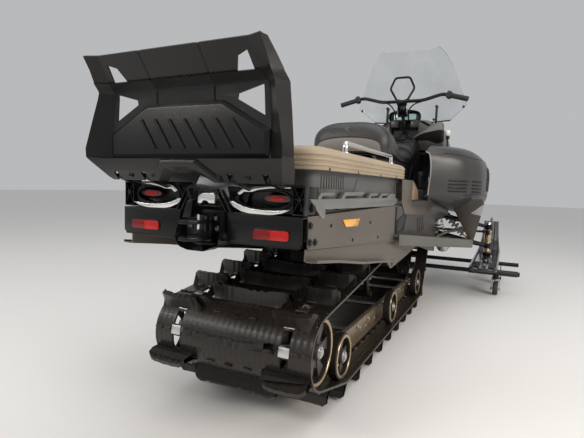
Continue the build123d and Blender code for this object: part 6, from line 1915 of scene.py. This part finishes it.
for side, sign in SIDES:
    make_panel_details(bpy.data.objects[f"side_shell_{side}"], side, sign)


# Belly pan, front bumper, headlights and engine

def make_nose():
    pan = []
    rows = ((0.5060, 0.232, 0.232, 0.5595, 0.2685), (0.650, 0.212, 0.211, 0.5595, 0.2685),
        (0.800, 0.190, 0.190, 0.5595, 0.2685), (0.980, 0.190, 0.190, 0.5595, 0.284),
        (1.150, 0.190, 0.190, 0.5595, 0.3005), (1.345, 0.170, 0.137, 0.588, 0.410),
        (1.5445, 0.150, 0.084, 0.6195, 0.5205))
    shell = skin("belly_shell",
        [[(-high_x, y, high_z), (-high_x + 0.35 * (high_x - low_x), y, low_z + 0.5 * (high_z - low_z)),
            (-low_x, y, low_z + 0.018), (-low_x + 0.016, y, low_z), (0, y, low_z), (low_x - 0.016, y, low_z),
            (low_x, y, low_z + 0.018), (high_x - 0.35 * (high_x - low_x), y, low_z + 0.5 * (high_z - low_z)),
            (high_x, y, high_z)] for y, high_x, low_x, high_z, low_z in rows], 0.004)
    pan += [
        soften(shell, 0.001, 2, 35),
        plate("nose_wall", [(-0.148, 0.6195), (0.148, 0.6195), (0.084, 0.5215), (-0.084, 0.5215)], -0.004,
            0.001, at=1.5445)]
    for number in range(4):
        z = 0.540 + number * 0.018
        pan.append(block("nose_louvre", (-0.070, 1.540, z), (0.070, 1.549, z + 0.007), 0.001))
    for sign in (-1, 1):
        for number in range(5):
            y = 0.600 + number * 0.024
            x = 0.2175 - (y - 0.600) * 0.147
            pan.append(block("pan_slot", (sign * (x - 0.004), y, 0.330),
                    (sign * (x + 0.003), y + 0.010, 0.500), 0.001))
        pan.append(
            rod("tie_boss", (sign * 0.168, 0.885, 0.372), (sign * 0.190, 0.885, 0.372), 0.018, 32, 0.002))
    assemble("belly_pan", pan, TRIM, "trim_black", "belly_pan")
    bumper = bent_tube("nose_bumper", [(-0.1528, 1.430, 0.536), (-0.158, 1.590, 0.560),
            (-0.110, 1.606, 0.640), (0.110, 1.606, 0.640), (0.158, 1.590, 0.560), (0.1528, 1.430, 0.536)],
        0.012, bend=0.034)
    dress(bumper, FRAME, "chassis", "frame_black", "front_bumper")
    lamps, bezels = [], []
    for sign in (-1, 1):
        outline = sided(sign,
            ((0.024, 0.6205), (0.024, 0.700), (0.130, 0.700), (0.160, 0.668), (0.148, 0.6205)))
        bezels.append(plate("lamp_bowl", outline, -0.016, 0.001, at=1.536))
        lamps.append(plate("lamp_lens", sided(sign, ((0.028, 0.6245), (0.028, 0.696), (0.129, 0.696),
                (0.156, 0.667), (0.145, 0.6245))), -0.004, 0.0015, at=1.5405))
        for x in (0.058, 0.104):
            bezels.append(ring("lamp_reflector", (sign * x, 1.534, 0.660), (0, 1, 0), 0.016, 0.004, 28, 10))
    assemble("headlight_bowls", bezels, SILVER, "steel_bright", "headlights")
    assemble("headlight_lenses", lamps, LAMP, "lamp_clear")
    engine = [block("engine_case", (-0.150, 0.700, 0.400), (0.150, 1.080, 0.640), 0.012, 3),
        block("cylinder_block", (-0.130, 0.730, 0.640), (0.130, 1.000, 0.760), 0.010, 3)]
    for number in range(5):
        z = 0.655 + number * 0.019
        engine.append(block("engine_fin", (-0.137, 0.724, z), (0.137, 1.006, z + 0.005), 0.001))
    for y in (0.760, 1.020):
        for sign in (-1, 1):
            engine += [
                rod("engine_mount", (sign * 0.148, y, 0.500), (sign * 0.1845, y, 0.500), 0.016, 28, 0.002),
                ring("mount_rubber", (sign * 0.170, y, 0.500), (1, 0, 0), 0.017, 0.004, 28, 8)]
    assemble("engine_block", engine, CAST, "engine_cast", "engine")


make_nose()


# Front suspension: V arms, shocks with coil springs, and the silencer

def coil(name, start, end, radius, wire, turns):
    """A spring wound between two points."""
    start, end = Vector(start), Vector(end)
    axis = end - start
    turn = Vector((0, 0, 1)).rotation_difference(axis).to_matrix()
    points = []
    count = int(turns * 16)
    for step in range(count + 1):
        angle = 2 * pi * step / 16
        share = min(max((step - 12) / (count - 24), 0.0), 1.0)
        points.append(start + turn @ Vector((radius * cos(angle), radius * sin(angle), axis.length * share)))
    return bent_tube(name, points, wire, rounds=1, bend=0.0005)


def shock(foot, head, body_radius, spring_radius, wire, turns, spring_from, spring_to):
    """Damper body, rod, spring seats and spring between two points."""
    foot, head = Vector(foot), Vector(head)
    black = [rod("damper_rod", foot.lerp(head, 0.03), head, body_radius * 0.45, 24, 0.0),
        rod("damper_body", foot.lerp(head, spring_to - 0.08), foot.lerp(head, 0.93), body_radius, 32, 0.002),
        rod("spring_seat", foot.lerp(head, spring_from - 0.025), foot.lerp(head, spring_from),
            spring_radius * 0.92, 36, 0.002), rod("spring_seat", foot.lerp(head, spring_to),
            foot.lerp(head, spring_to + 0.025), spring_radius * 0.92, 36, 0.002),
        rod("bump_stop", foot.lerp(head, 0.10), foot.lerp(head, 0.20), body_radius * 0.8, 28, 0.003)]
    return black, [coil("spring", foot.lerp(head, spring_from), foot.lerp(head, spring_to),
            spring_radius - wire, wire, turns)]


ARM_X = 0.2035            # x of the arms' pivots


def make_front_arms():
    arms, dampers, springs = [], [], []
    for sign in (-1, 1):
        for eye_z, pivot_z, radius in ((0.268, 0.330, 0.013), (0.398, 0.470, 0.011)):
            for y in (0.860, 1.090):
                start = Vector((sign * SKI_X, KINGPIN_Y, eye_z))
                stop = Vector((sign * ARM_X, y, pivot_z))
                along = (stop - start).normalized()
                arms.append(rod("arm_leg", start + along * 0.022, stop, radius, 28))
            hub = ring_tube("arm_eye", (sign * SKI_X, KINGPIN_Y, eye_z), 0.0145, 0.024, 0.034)
            arms.append(hub)
            arms.append(rod("arm_pivot", (sign * ARM_X, 0.836, pivot_z), (sign * ARM_X, 1.114, pivot_z),
                    0.013, 28, 0.002))
            for y in (0.843, 1.107):
                arms.append(
                    ring("pivot_collar", (sign * ARM_X, y, pivot_z), (0, 1, 0), 0.0125, 0.0025, 28, 8))
        brace = plate("arm_web", [(sign * 0.400, 0.903), (sign * 0.452, 0.938), (sign * 0.452, 1.012),
                (sign * 0.400, 1.047)], 0.006, 0.001, "XY", 0.297)
        arms.append(brace)
        seat = block("shock_seat", (sign * 0.404, 0.925, 0.284), (sign * 0.436, 1.025, 0.3075), 0.003)
        arms.append(seat)
        black, spring = shock((sign * 0.420, KINGPIN_Y, 0.3085), (sign * 0.210, KINGPIN_Y, 0.528), 0.0145,
            0.027, 0.0045, 7, 0.16, 0.70)
        dampers += black
        springs += spring
        dampers += [
            rod("shock_eye", (sign * 0.2045, 0.963, 0.534), (sign * 0.2045, 0.987, 0.534), 0.014, 28, 0.002),
            block("shock_foot", (sign * 0.409, 0.964, 0.3085), (sign * 0.431, 0.986, 0.326), 0.003)]
    assemble("front_arms", arms, FRAME, "frame_black", "front_arms")
    assemble("front_dampers", dampers, SHOCK, "shock_metal", "front_shocks")
    assemble("front_springs", springs, SPRING, "shock_metal")


SHOCK = surface("bronze shock body", (0.55, 0.38, 0.22), 0.28, metal=0.9, drift=0.15, lines=0.00006,
    line_scale=160)
make_front_arms()


CAN_X, CAN_Z = 0.306, 0.292


def make_silencer():
    parts = [rod("silencer_can", (CAN_X, 0.546, CAN_Z), (CAN_X, 0.679, CAN_Z), 0.0355, 48, 0.006), bent_tube(
            "exhaust_pipe", [(CAN_X, 0.660, CAN_Z), (CAN_X, 0.830, CAN_Z), (0.1905, 0.830, CAN_Z)], 0.0155,
            bend=0.04), rod("tail_stub", (CAN_X, 0.5455, CAN_Z), (CAN_X, 0.560, CAN_Z), 0.020, 36, 0.002)]
    for y in (0.568, 0.657):
        parts.append(ring("silencer_band", (CAN_X, y, CAN_Z), (0, 1, 0), 0.0352, 0.0022, 40, 8))
    parts.append(ring("pipe_flange", (0.196, 0.830, CAN_Z), (1, 0, 0), 0.020, 0.004, 32, 8))
    assemble("silencer", parts, STEEL, "steel_bright", "silencer")


make_silencer()


# Skis: a curved blade with ribbed edges, a keel, a saddle, a tip loop and the spindles

SKI_TAIL, SKI_BEND, SKI_TIP = 0.505, 1.290, 1.6382    # y of the blade's tail, of its bend and of its tip
SKI_LOW, TIP_RISE = 0.1623, 0.232                     # z of the underside, and how far the tip rises
TIP_RUN = SKI_TIP - 0.016 - SKI_BEND
CURL_R = (TIP_RUN ** 2 + TIP_RISE ** 2) / (2 * TIP_RISE)
CURL_ANGLE = atan2(TIP_RUN, CURL_R - TIP_RISE)
TIE_Y, TIE_Z = 0.885, 0.372                           # the tie rods' line


def ski_line(share, lift):
    """A point along the ski's side outline at a height over its underside."""
    flat = SKI_BEND - SKI_TAIL
    place = share * (flat + CURL_R * CURL_ANGLE)
    if place <= flat:
        return SKI_TAIL + place, SKI_LOW + lift
    angle = (place - flat) / CURL_R
    return SKI_BEND + (CURL_R - lift) * sin(angle), SKI_LOW + CURL_R - (CURL_R - lift) * cos(angle)


def ski_half(y):
    """Half the blade's width at a station."""
    if y < SKI_TAIL + 0.030:
        return 0.066 + 0.014 * (y - SKI_TAIL) / 0.030
    if y < 1.320:
        return 0.080
    return 0.080 - 0.028 * (y - 1.320) / 0.318


def make_ski(side, sign):
    middle = sign * SKI_X
    rows = []
    for step in range(49):
        share = step / 48
        y, _ = ski_line(share, 0.0)
        half = ski_half(y)
        row = []
        for x, lift in ((-half, 0.003), (-half, 0.0295), (-half + 0.011, 0.0295), (-half + 0.013, 0.0145),
                (-0.030, 0.0135), (-0.024, 0.0205), (0.024, 0.0205), (0.030, 0.0135), (half - 0.013, 0.0145),
                (half - 0.011, 0.0295), (half, 0.0295), (half, 0.003), (half - 0.012, 0.0005), (0.020, 0.0),
                (-0.020, 0.0), (-half + 0.012, 0.0005)):
            py, pz = ski_line(share, lift)
            row.append((middle + x, py, pz))
        rows.append(row)
    blade = skin("ski_blade", rows, closed=True)
    for end in (rows[0], rows[-1]):
        low_y, high_y = min(p[1] for p in end) - 1e-4, max(p[1] for p in end) + 1e-4
        cap(blade, lambda p, n: low_y < p.y < high_y)
    face_out(blade)
    parts = [soften(blade, 0.0015, 2, 40)]
    parts.append(plate("ski_keel", [(0.596, 0.1625), (0.616, 0.1545), (1.260, 0.1545), (1.299, 0.1625)],
            0.018, 0.002, "YZ", middle - 0.009))
    saddle = plate("ski_saddle", [(0.826, 0.1755), (0.925, 0.2055), (1.025, 0.2055), (1.124, 0.1755)], 0.054,
        0.0, "YZ", middle - 0.027)
    pocket(saddle, lambda p, n: abs(n.x) > 0.9, 0.006, 0.002, 0.003)
    parts += [
        soften(saddle, 0.0015, 2, 40),
        bent_tube("tip_loop", [(middle, 1.235, 0.172), (middle, 1.330, 0.312), (middle, 1.578, 0.430),
            (middle, 1.617, 0.384)], 0.009, bend=0.028)]
    for number in range(7):
        y = 0.585 + number * 0.031
        parts.append(
            block("ski_rib", (middle - 0.064, y, 0.1745), (middle + 0.064, y + 0.008, 0.1835), 0.0015))
    bright = [rod("keel_rod", (middle, 0.640, 0.1565), (middle, 1.240, 0.1565), 0.0040, 16, 0.001)]
    for y in (0.660, 0.860, 1.060, 1.220):
        bright.append(bolt("keel_nut", (middle, y, 0.182), (0, 0, 1), 0.008, 0.006))
    for x in (-0.0295, 0.0295):
        bright.append(bolt("saddle_bolt", (middle + x * 0.93, KINGPIN_Y, 0.192), (1 if x > 0 else -1, 0, 0),
                0.009, 0.004))
    body = f"{side}_ski"
    assemble(f"ski_plastic_{side}", parts, SKI, "ski_gloss", f"ski_{side}", body=body)
    assemble(f"ski_steel_{side}", bright, STEEL, "steel_bright", body=body)
    spindle = [block("spindle_foot", (middle - 0.0265, 0.9325, 0.2065), (middle + 0.0265, 1.0175, 0.2275),
            0.006, 3), plate("steering_arm", [(middle - 0.014, KINGPIN_Y), (middle - 0.011, 0.8735),
            (middle + 0.011, 0.8735), (middle + 0.014, KINGPIN_Y)], 0.0092, 0.0015, "XY", 0.3503)]
    assemble(f"spindle_parts_{side}", spindle, FRAME, "frame_black", f"spindle_{side}", body=body)
    bronze = [rod("spindle_low", (middle, KINGPIN_Y, 0.212), (middle, KINGPIN_Y, 0.2455), 0.022, 36, 0.002),
        rod("spindle_middle", (middle, KINGPIN_Y, 0.2905), (middle, KINGPIN_Y, 0.3755), 0.022, 36, 0.003)]
    chrome = [rod("kingpin", (middle, KINGPIN_Y, 0.215), (middle, KINGPIN_Y, 0.4225), 0.0128, 36, 0.001),
        rod("kingpin_nut", (middle, KINGPIN_Y, 0.4205), (middle, KINGPIN_Y, 0.4275), 0.0195, 6, 0.001)]
    for z in (0.2165, 0.2410, 0.2965, 0.3330, 0.3695):
        chrome.append(ring("spindle_ring", (middle, KINGPIN_Y, z), (0, 0, 1), 0.0222, 0.0022, 36, 8))
    assemble(f"spindle_bronze_{side}", bronze, SHOCK, "shock_metal", body=body)
    assemble(f"spindle_chrome_{side}", chrome, CHROME, "rail_chrome", body=body)


for side, sign in SIDES:
    make_ski(side, sign)


def make_tie_rods():
    parts = [rod("tie_rod", (-0.535, TIE_Y, TIE_Z), (0.535, TIE_Y, TIE_Z), 0.0078, 24, 0.001),
        block("tie_joint", (-0.0445, 0.8685, 0.3625), (0.0445, 0.9015, 0.3815), 0.006, 3)]
    for sign in (-1, 1):
        parts += [
            rod("rod_end", (sign * SKI_X, TIE_Y, 0.3605), (sign * SKI_X, TIE_Y, 0.3835), 0.0138, 32, 0.003),
            rod("lock_nut", (sign * 0.518, TIE_Y, TIE_Z), (sign * 0.530, TIE_Y, TIE_Z), 0.011, 6, 0.001),
            bolt("joint_bolt", (sign * 0.028, TIE_Y, 0.3815), (0, 0, 1), 0.008, 0.0045)]
    assemble("tie_rods", parts, FRAME, "frame_black", "tie_rods", body="tie_rod_pair")


make_tie_rods()

# Track wheels, drive axle and slide rails

def wheel(name, radius, holes, wide=0.030):
    """A track wheel about X at the origin: tyre, rim step, drilled web and hub."""
    profile = ((radius - 0.0035, -wide / 2), (radius - 0.001, -wide / 2 + 0.002), (radius, -wide / 2 + 0.005),
        (radius, wide / 2 - 0.005), (radius - 0.001, wide / 2 - 0.002), (radius - 0.0035, wide / 2),
        (radius - 0.0125, wide / 2), (radius - 0.0150, wide / 2 - 0.003), (radius - 0.0160, 0.004),
        (radius - 0.0160, -0.004), (radius - 0.0150, -wide / 2 + 0.003), (radius - 0.0125, -wide / 2),
        (radius - 0.0035, -wide / 2))
    tyre = skin(name, [disc(r, x, 64) for r, x in profile], closed=True)
    face_out(tyre, weld=True)
    smooth(tyre, 30)
    spokes = []
    inner = radius - 0.0158
    hub = ring_tube("wheel_hub", (0, 0, 0), 0.0108, 0.022, wide - 0.001, (1, 0, 0))
    spokes.append(hub)
    for number in range(holes):
        middle = 2 * pi * number / holes
        for side in (-1, 1):
            points = []
            for share in (0.0, 0.35, 0.7, 1.0):
                reach = 0.021 + (inner - 0.021 + 0.001) * share
                spread = (0.30 + 0.10 * abs(2 * share - 1)) * pi / holes * 2 * 0.5
                angle = middle + side * spread
                points.append((0, reach * cos(angle), reach * sin(angle)))
            spokes.append(bent_tube("wheel_spoke_edge", points, 0.0030, rounds=2, bend=0.004))
        outline = []
        for share, spread in ((0.0, 0.20), (0.5, 0.13), (1.0, 0.22), (1.0, -0.22), (0.5, -0.13),
                (0.0, -0.20)):
            reach = 0.0205 + (inner - 0.0205 + 0.001) * share
            angle = middle + spread * 2 * pi / holes
            outline.append((reach * cos(angle), reach * sin(angle)))
        spokes.append(plate("wheel_web", outline, 0.006, 0.0012, "YZ", -0.003))
    return tyre, merge("wheel_spokes", spokes)


WHEEL_ROWS = (
    # y, z, radius, holes, x
    (-1.268, 0.203, 0.0948, 6, 0.218), (-1.268, 0.203, 0.0948, 6, 0.096), (-1.069, 0.124, 0.0728, 5, 0.218),
    (-0.415, 0.124, 0.0728, 5, 0.218), (0.172, 0.124, 0.0728, 5, 0.218),
)
GOLD = surface("gold wheel ring", (0.46, 0.33, 0.17), 0.26, metal=0.85, drift=0.35, drift_scale=18, scuff=0.2)


def make_wheels():
    tyres, spokes, rims, steel = [], [], [], []
    models = {}
    for y, z, radius, holes, x in WHEEL_ROWS:
        if radius not in models:
            tyre, web = wheel("track_wheel", radius, holes)
            models[radius] = (tyre, web)
        tyre, web = models[radius]
        for sign in (-1, 1):
            tyres.append(copy_of(tyre, (sign * x, y, z), "track_tyre"))
            spokes.append(copy_of(web, (sign * x, y, z), "track_web"))
            for face in (-1, 1):
                rims.append(ring_tube("rim_band", (sign * x + face * 0.0150, y, z), radius - 0.0150,
                        radius - 0.0060, 0.0022, (1, 0, 0)))
                steel.append(
                    ring("hub_ring", (sign * x + face * 0.0150, y, z), (1, 0, 0), 0.0155, 0.0014, 32, 6))
            if x > 0.2:
                steel.append(bolt("axle_bolt", (sign * 0.2345, y, z), (sign, 0, 0), 0.010, 0.004))
    for tyre, web in models.values():
        bpy.data.objects.remove(tyre)
        bpy.data.objects.remove(web)
    assemble("track_tyres", tyres, RUBBER, "track_rubber", "track_wheels")
    assemble("track_wheel_webs", spokes, WHEEL, "wheel_plastic")
    assemble("track_wheel_rims", rims, GOLD, "wheel_plastic")
    axles = [rod("wheel_axle", (-0.2375, y, z), (0.2375, y, z), 0.0098, 32, 0.001)
        for y, z in ((-1.268, 0.203), (-1.069, 0.124), (-0.415, 0.124), (0.172, 0.124))]
    for y in (-0.020, -0.800):
        axles.append(rod("shock_shaft", (-0.157, y, 0.118), (0.157, y, 0.118), 0.0098, 32))
    assemble("wheel_axles", axles + steel, STEEL, "steel_bright")
    shaft = [rod("drive_shaft", (-0.2625, DRIVE_Y, DRIVE_Z), (0.2625, DRIVE_Y, DRIVE_Z), 0.0185, 6, 0.001)]
    for x in (-0.150, 0.0, 0.150):
        shaft += [
            rod("sprocket", (x - 0.013, DRIVE_Y, DRIVE_Z), (x + 0.013, DRIVE_Y, DRIVE_Z), SPROCKET - 0.0125,
                48, 0.002),
            rod("sprocket_hub", (x - 0.014, DRIVE_Y, DRIVE_Z), (x + 0.014, DRIVE_Y, DRIVE_Z), 0.034, 40,
                0.002)]
        for tooth in range(9):
            angle = 2 * pi * tooth / 9
            y, z = DRIVE_Y + (SPROCKET - 0.010) * cos(angle), DRIVE_Z + (SPROCKET - 0.010) * sin(angle)
            shaft.append(rod("sprocket_tooth", (x - 0.0135, y, z), (x + 0.0135, y, z), 0.0092, 16, 0.0015))
    assemble("drive_axle", shaft, WHEEL, "wheel_plastic", "drive_axle")


SPROCKET = 0.0875
make_wheels()


def make_rails():
    floor = RAIL_FLOOR
    rails, slides, bolts = [], [], []
    outline = [(-1.049, floor), (0.132, floor), (0.232, floor + 0.060), (0.212, floor + 0.096),
        (0.112, floor + 0.082), (-0.415, floor + 0.082), (-1.009, floor + 0.086), (-1.286, 0.229),
        (-1.292, 0.179), (-1.099, floor + 0.026)]
    for sign in (-1, 1):
        x = sign * 0.165
        rail = plate("slide_rail", outline, 0.006, 0.0015, "YZ", x - 0.003)
        rails.append(rail)
        for offset in (-0.0085, 0.0035):
            rails.append(skin("rail_flange",
                    [[(x + offset, y, z), (x + offset + 0.0025, y, z), (x + offset + 0.005, y, z)]
                    for y, z in ((-1.049, floor + 0.002), (0.132, floor + 0.002), (0.230, floor + 0.062))],
                    0.008, side=0))
        rails.append(skin("rail_cap",
                [[(x - 0.0088, y, z), (x, y, z), (x + 0.0088, y, z)] for y, z in ((0.112, floor + 0.079),
                (-0.415, floor + 0.079), (-1.009, floor + 0.083), (-1.280, 0.226))], 0.004, side=0))
        for y in (-0.960, -0.655, -0.530, -0.270, -0.145, 0.060):
            for face in (-1, 1):
                rails.append(slot_rim("rail_slot", x + face * 0.0035, y, floor + 0.040))
        for y in (-1.180, -0.900, -0.730, -0.600, -0.340, -0.205, -0.010, 0.120):
            for face in (-1, 1):
                bolts.append(
                    bolt("rail_bolt", (x + face * 0.0035, y, floor + 0.062), (face, 0, 0), 0.007, 0.004))
        slides.append(skin("rail_slider", [[(x - 0.0085, y, z), (x, y, z), (x + 0.0085, y, z)]
                for y, z in ((-1.040, floor + 0.0015), (0.128, floor + 0.0015), (0.212, floor + 0.052))],
                0.003, side=0))
    assemble("slide_rails", rails, RAIL, "rail_metal", "slide_rails")
    assemble("rail_bolts", bolts, STEEL, "steel_bright")
    assemble("rail_sliders", slides, TRIM, "trim_black")


SLOT_HALF, SLOT_R = 0.030, 0.012


def slot_rim(name, x, y, z):
    """The raised rim round a long slot in a rail."""
    points = []
    for cy, start in ((y + SLOT_HALF, -1), (y - SLOT_HALF, 1)):
        for step in range(9):
            angle = start * pi / 2 + pi * step / 8
            points.append((x, cy + SLOT_R * cos(angle), z + SLOT_R * sin(angle)))
    return bent_tube(name, points, 0.0022, closed=True, rounds=1, bend=0.001)


RAIL_FLOOR = 0.0515
make_rails()


def make_skid_arms():
    arms, dampers, springs = [], [], []
    for low_y, low_z, high_y, high_z, spread in ((0.118, 0.184, -0.150, 0.395, 0.128),
            (-0.510, 0.190, -0.600, 0.350, 0.140)):
        for sign in (-1, 1):
            arms.append(
                rod("skid_leg", (sign * spread, low_y, low_z), (sign * spread, high_y, high_z), 0.0115, 28))
        arms += [
            rod("skid_top", (-0.2620, high_y, high_z), (0.2620, high_y, high_z), 0.013, 32, 0.002),
            rod("skid_low", (-0.1555, low_y, low_z), (0.1555, low_y, low_z), 0.013, 32, 0.002)]
        for sign in (-1, 1):
            for x in (spread - 0.020, spread + 0.020):
                arms.append(ring("skid_collar", (sign * x, high_y, high_z), (1, 0, 0), 0.0125, 0.0025, 28, 8))
        brace_y, brace_z = low_y + (high_y - low_y) * 0.5, low_z + (high_z - low_z) * 0.5
        arms.append(rod("skid_brace", (-spread, brace_y, brace_z), (spread, brace_y, brace_z), 0.009, 24))
    assemble("skid_arms", arms, FRAME, "frame_black", "suspension_arms")
    for foot, head in (((0, -0.020, 0.118), (0, -0.150, 0.395)), ((0, -0.800, 0.118), (0, -0.600, 0.350))):
        start, stop = Vector(foot), Vector(head)
        along = (stop - start).normalized()
        black, spring = shock(start + along * 0.011, stop - along * 0.014, 0.0165, 0.030, 0.0048, 7, 0.14,
            0.70)
        dampers += black
        springs += spring
        for spot in (start, stop):
            dampers.append(ring("shock_eye", spot, (1, 0, 0), 0.0145, 0.0035, 28, 8))
    assemble("skid_dampers", dampers, SHOCK, "shock_metal", "rear_shocks")
    assemble("skid_springs", springs, SPRING, "shock_metal")


make_skid_arms()


# Dolly: cross tubes with ribbed sleeves, side tubes, forks and caster wheels

SWIVEL_Y, TUBE_Z = 0.700, 0.135       # the rear cross tube, with the swivels under it


def make_dolly():
    frame_parts, sleeves = [], []
    for y, z in ((SWIVEL_Y, TUBE_Z), (FRONT_CASTER_Y, 0.140)):
        frame_parts.append(rod("dolly_tube", (-0.7515, y, z), (0.7515, y, z), 0.0138, 36, 0.002))
        for sign in (-1, 1):
            frame_parts.append(
                rod("tube_cap", (sign * 0.7435, y, z), (sign * 0.7518, y, z), 0.0140, 36, 0.002))
    for sign in (-1, 1):
        sleeves.append(rod("dolly_sleeve", (sign * 0.456, SWIVEL_Y, TUBE_Z), (sign * 0.741, SWIVEL_Y, TUBE_Z),
                0.0180, 40, 0.003))
        for number in range(19):
            sleeves.append(ring("sleeve_rib", (sign * (0.468 + number * 0.0145), SWIVEL_Y, TUBE_Z), (1, 0, 0),
                    0.0177, 0.0012, 36, 6))
        frame_parts += [
            rod("side_tube", (sign * 0.600, SWIVEL_Y, 0.131), (sign * 0.600, FRONT_CASTER_Y, 0.131), 0.0108,
                28),
            ring_tube("swivel_boss", (sign * CASTER_X, SWIVEL_Y, 0.1130), 0.0088, 0.0168, 0.0335)]
        for x in (-0.0225, 0.0225):
            fork = plate("front_fork", [(1.045, 0.0375), (1.038, 0.092), (1.038, 0.138), (1.074, 0.138),
                    (1.074, 0.092), (1.067, 0.0375), (1.063, 0.0290), (1.049, 0.0290)], 0.005, 0.0012, "YZ",
                sign * CASTER_X + x - 0.0025)
            frame_parts.append(fork)
            frame_parts.append(bolt("fork_bolt", (sign * CASTER_X + x * 1.1, FRONT_CASTER_Y, CASTER_Z),
                    (1 if x > 0 else -1, 0, 0), 0.008, 0.0045))
        frame_parts.append(rod("front_axle", (sign * CASTER_X - 0.0225, FRONT_CASTER_Y, CASTER_Z),
                (sign * CASTER_X + 0.0225, FRONT_CASTER_Y, CASTER_Z), 0.0048, 20))
    assemble("dolly_frame", frame_parts, FRAME, "frame_black", "dolly_frame")
    assemble("dolly_sleeves", sleeves, RUBBER, "track_rubber")
    tyre = skin("caster_tyre", [disc(r, x, 48) for r, x in ((0.0230, -0.0135), (0.0315, -0.0148),
            (0.0350, -0.0135), (0.0368, -0.0100), (0.0375, -0.0050), (0.0375, 0.0050), (0.0368, 0.0100),
            (0.0350, 0.0135), (0.0315, 0.0148), (0.0230, 0.0135), (0.0225, 0.0), (0.0230, -0.0135))],
        closed=True)
    face_out(tyre, weld=True)
    smooth(tyre, 40)
    core = [ring_tube("caster_core", (0, 0, 0), 0.0185, 0.0232, 0.0260, (1, 0, 0)),
        ring_tube("caster_hub", (0, 0, 0), 0.0054, 0.0115, 0.0295, (1, 0, 0)),
        ring_tube("caster_web", (0, 0, 0), 0.0110, 0.0190, 0.0080, (1, 0, 0))]
    for number in range(5):
        angle = 2 * pi * number / 5
        core.append(rod("caster_spoke", (0, 0.0105 * cos(angle), 0.0105 * sin(angle)),
                (0, 0.0195 * cos(angle), 0.0195 * sin(angle)), 0.0040, 16))
    core = merge("caster_centre", core)
    for side, sign in SIDES:
        place = sign * CASTER_X
        parts = [rod("fork_plate", (place, SWIVEL_Y, 0.0862), (place, SWIVEL_Y, 0.0948), 0.0208, 40, 0.001),
            rod("swivel_stem", (place, SWIVEL_Y, 0.088), (place, SWIVEL_Y, 0.1195), 0.0078, 28, 0.001),
            block("fork_bridge", (place - 0.0248, 0.6685, 0.0865), (place + 0.0248, 0.7115, 0.0930), 0.002)]
        for x in (-0.0225, 0.0225):
            parts += [
                plate("fork_cheek", [(0.664, 0.0320), (0.6675, 0.087), (0.6675, 0.0925), (0.7125, 0.0925),
                    (0.7125, 0.087), (0.684, 0.0320), (0.679, 0.0265), (0.669, 0.0265)], 0.005, 0.0012, "YZ",
                    place + x - 0.0025),
                bolt("axle_nut", (place + x * 1.1, REAR_CASTER_Y, CASTER_Z), (1 if x > 0 else -1, 0, 0),
                    0.008, 0.0045)]
        parts.append(rod("caster_axle", (place - 0.0225, REAR_CASTER_Y, CASTER_Z),
                (place + 0.0225, REAR_CASTER_Y, CASTER_Z), 0.0048, 20))
        assemble(f"caster_fork_{side}", parts, FORK, "fork_steel", f"caster_fork_{side}",
            body=f"{side}_caster")
        for end, y in (("rear", REAR_CASTER_Y), ("front", FRONT_CASTER_Y)):
            body = f"{side}_{end}_wheel"
            dress(copy_of(tyre, (place, y, CASTER_Z), f"caster_tyre_{end}_{side}"), CASTER, body,
                "caster_rubber", f"caster_wheel_{end}_{side}")
            dress(copy_of(core, (place, y, CASTER_Z), f"caster_centre_{end}_{side}"), TUB, body,
                "caster_rubber")
    bpy.data.objects.remove(tyre)
    bpy.data.objects.remove(core)


make_dolly()
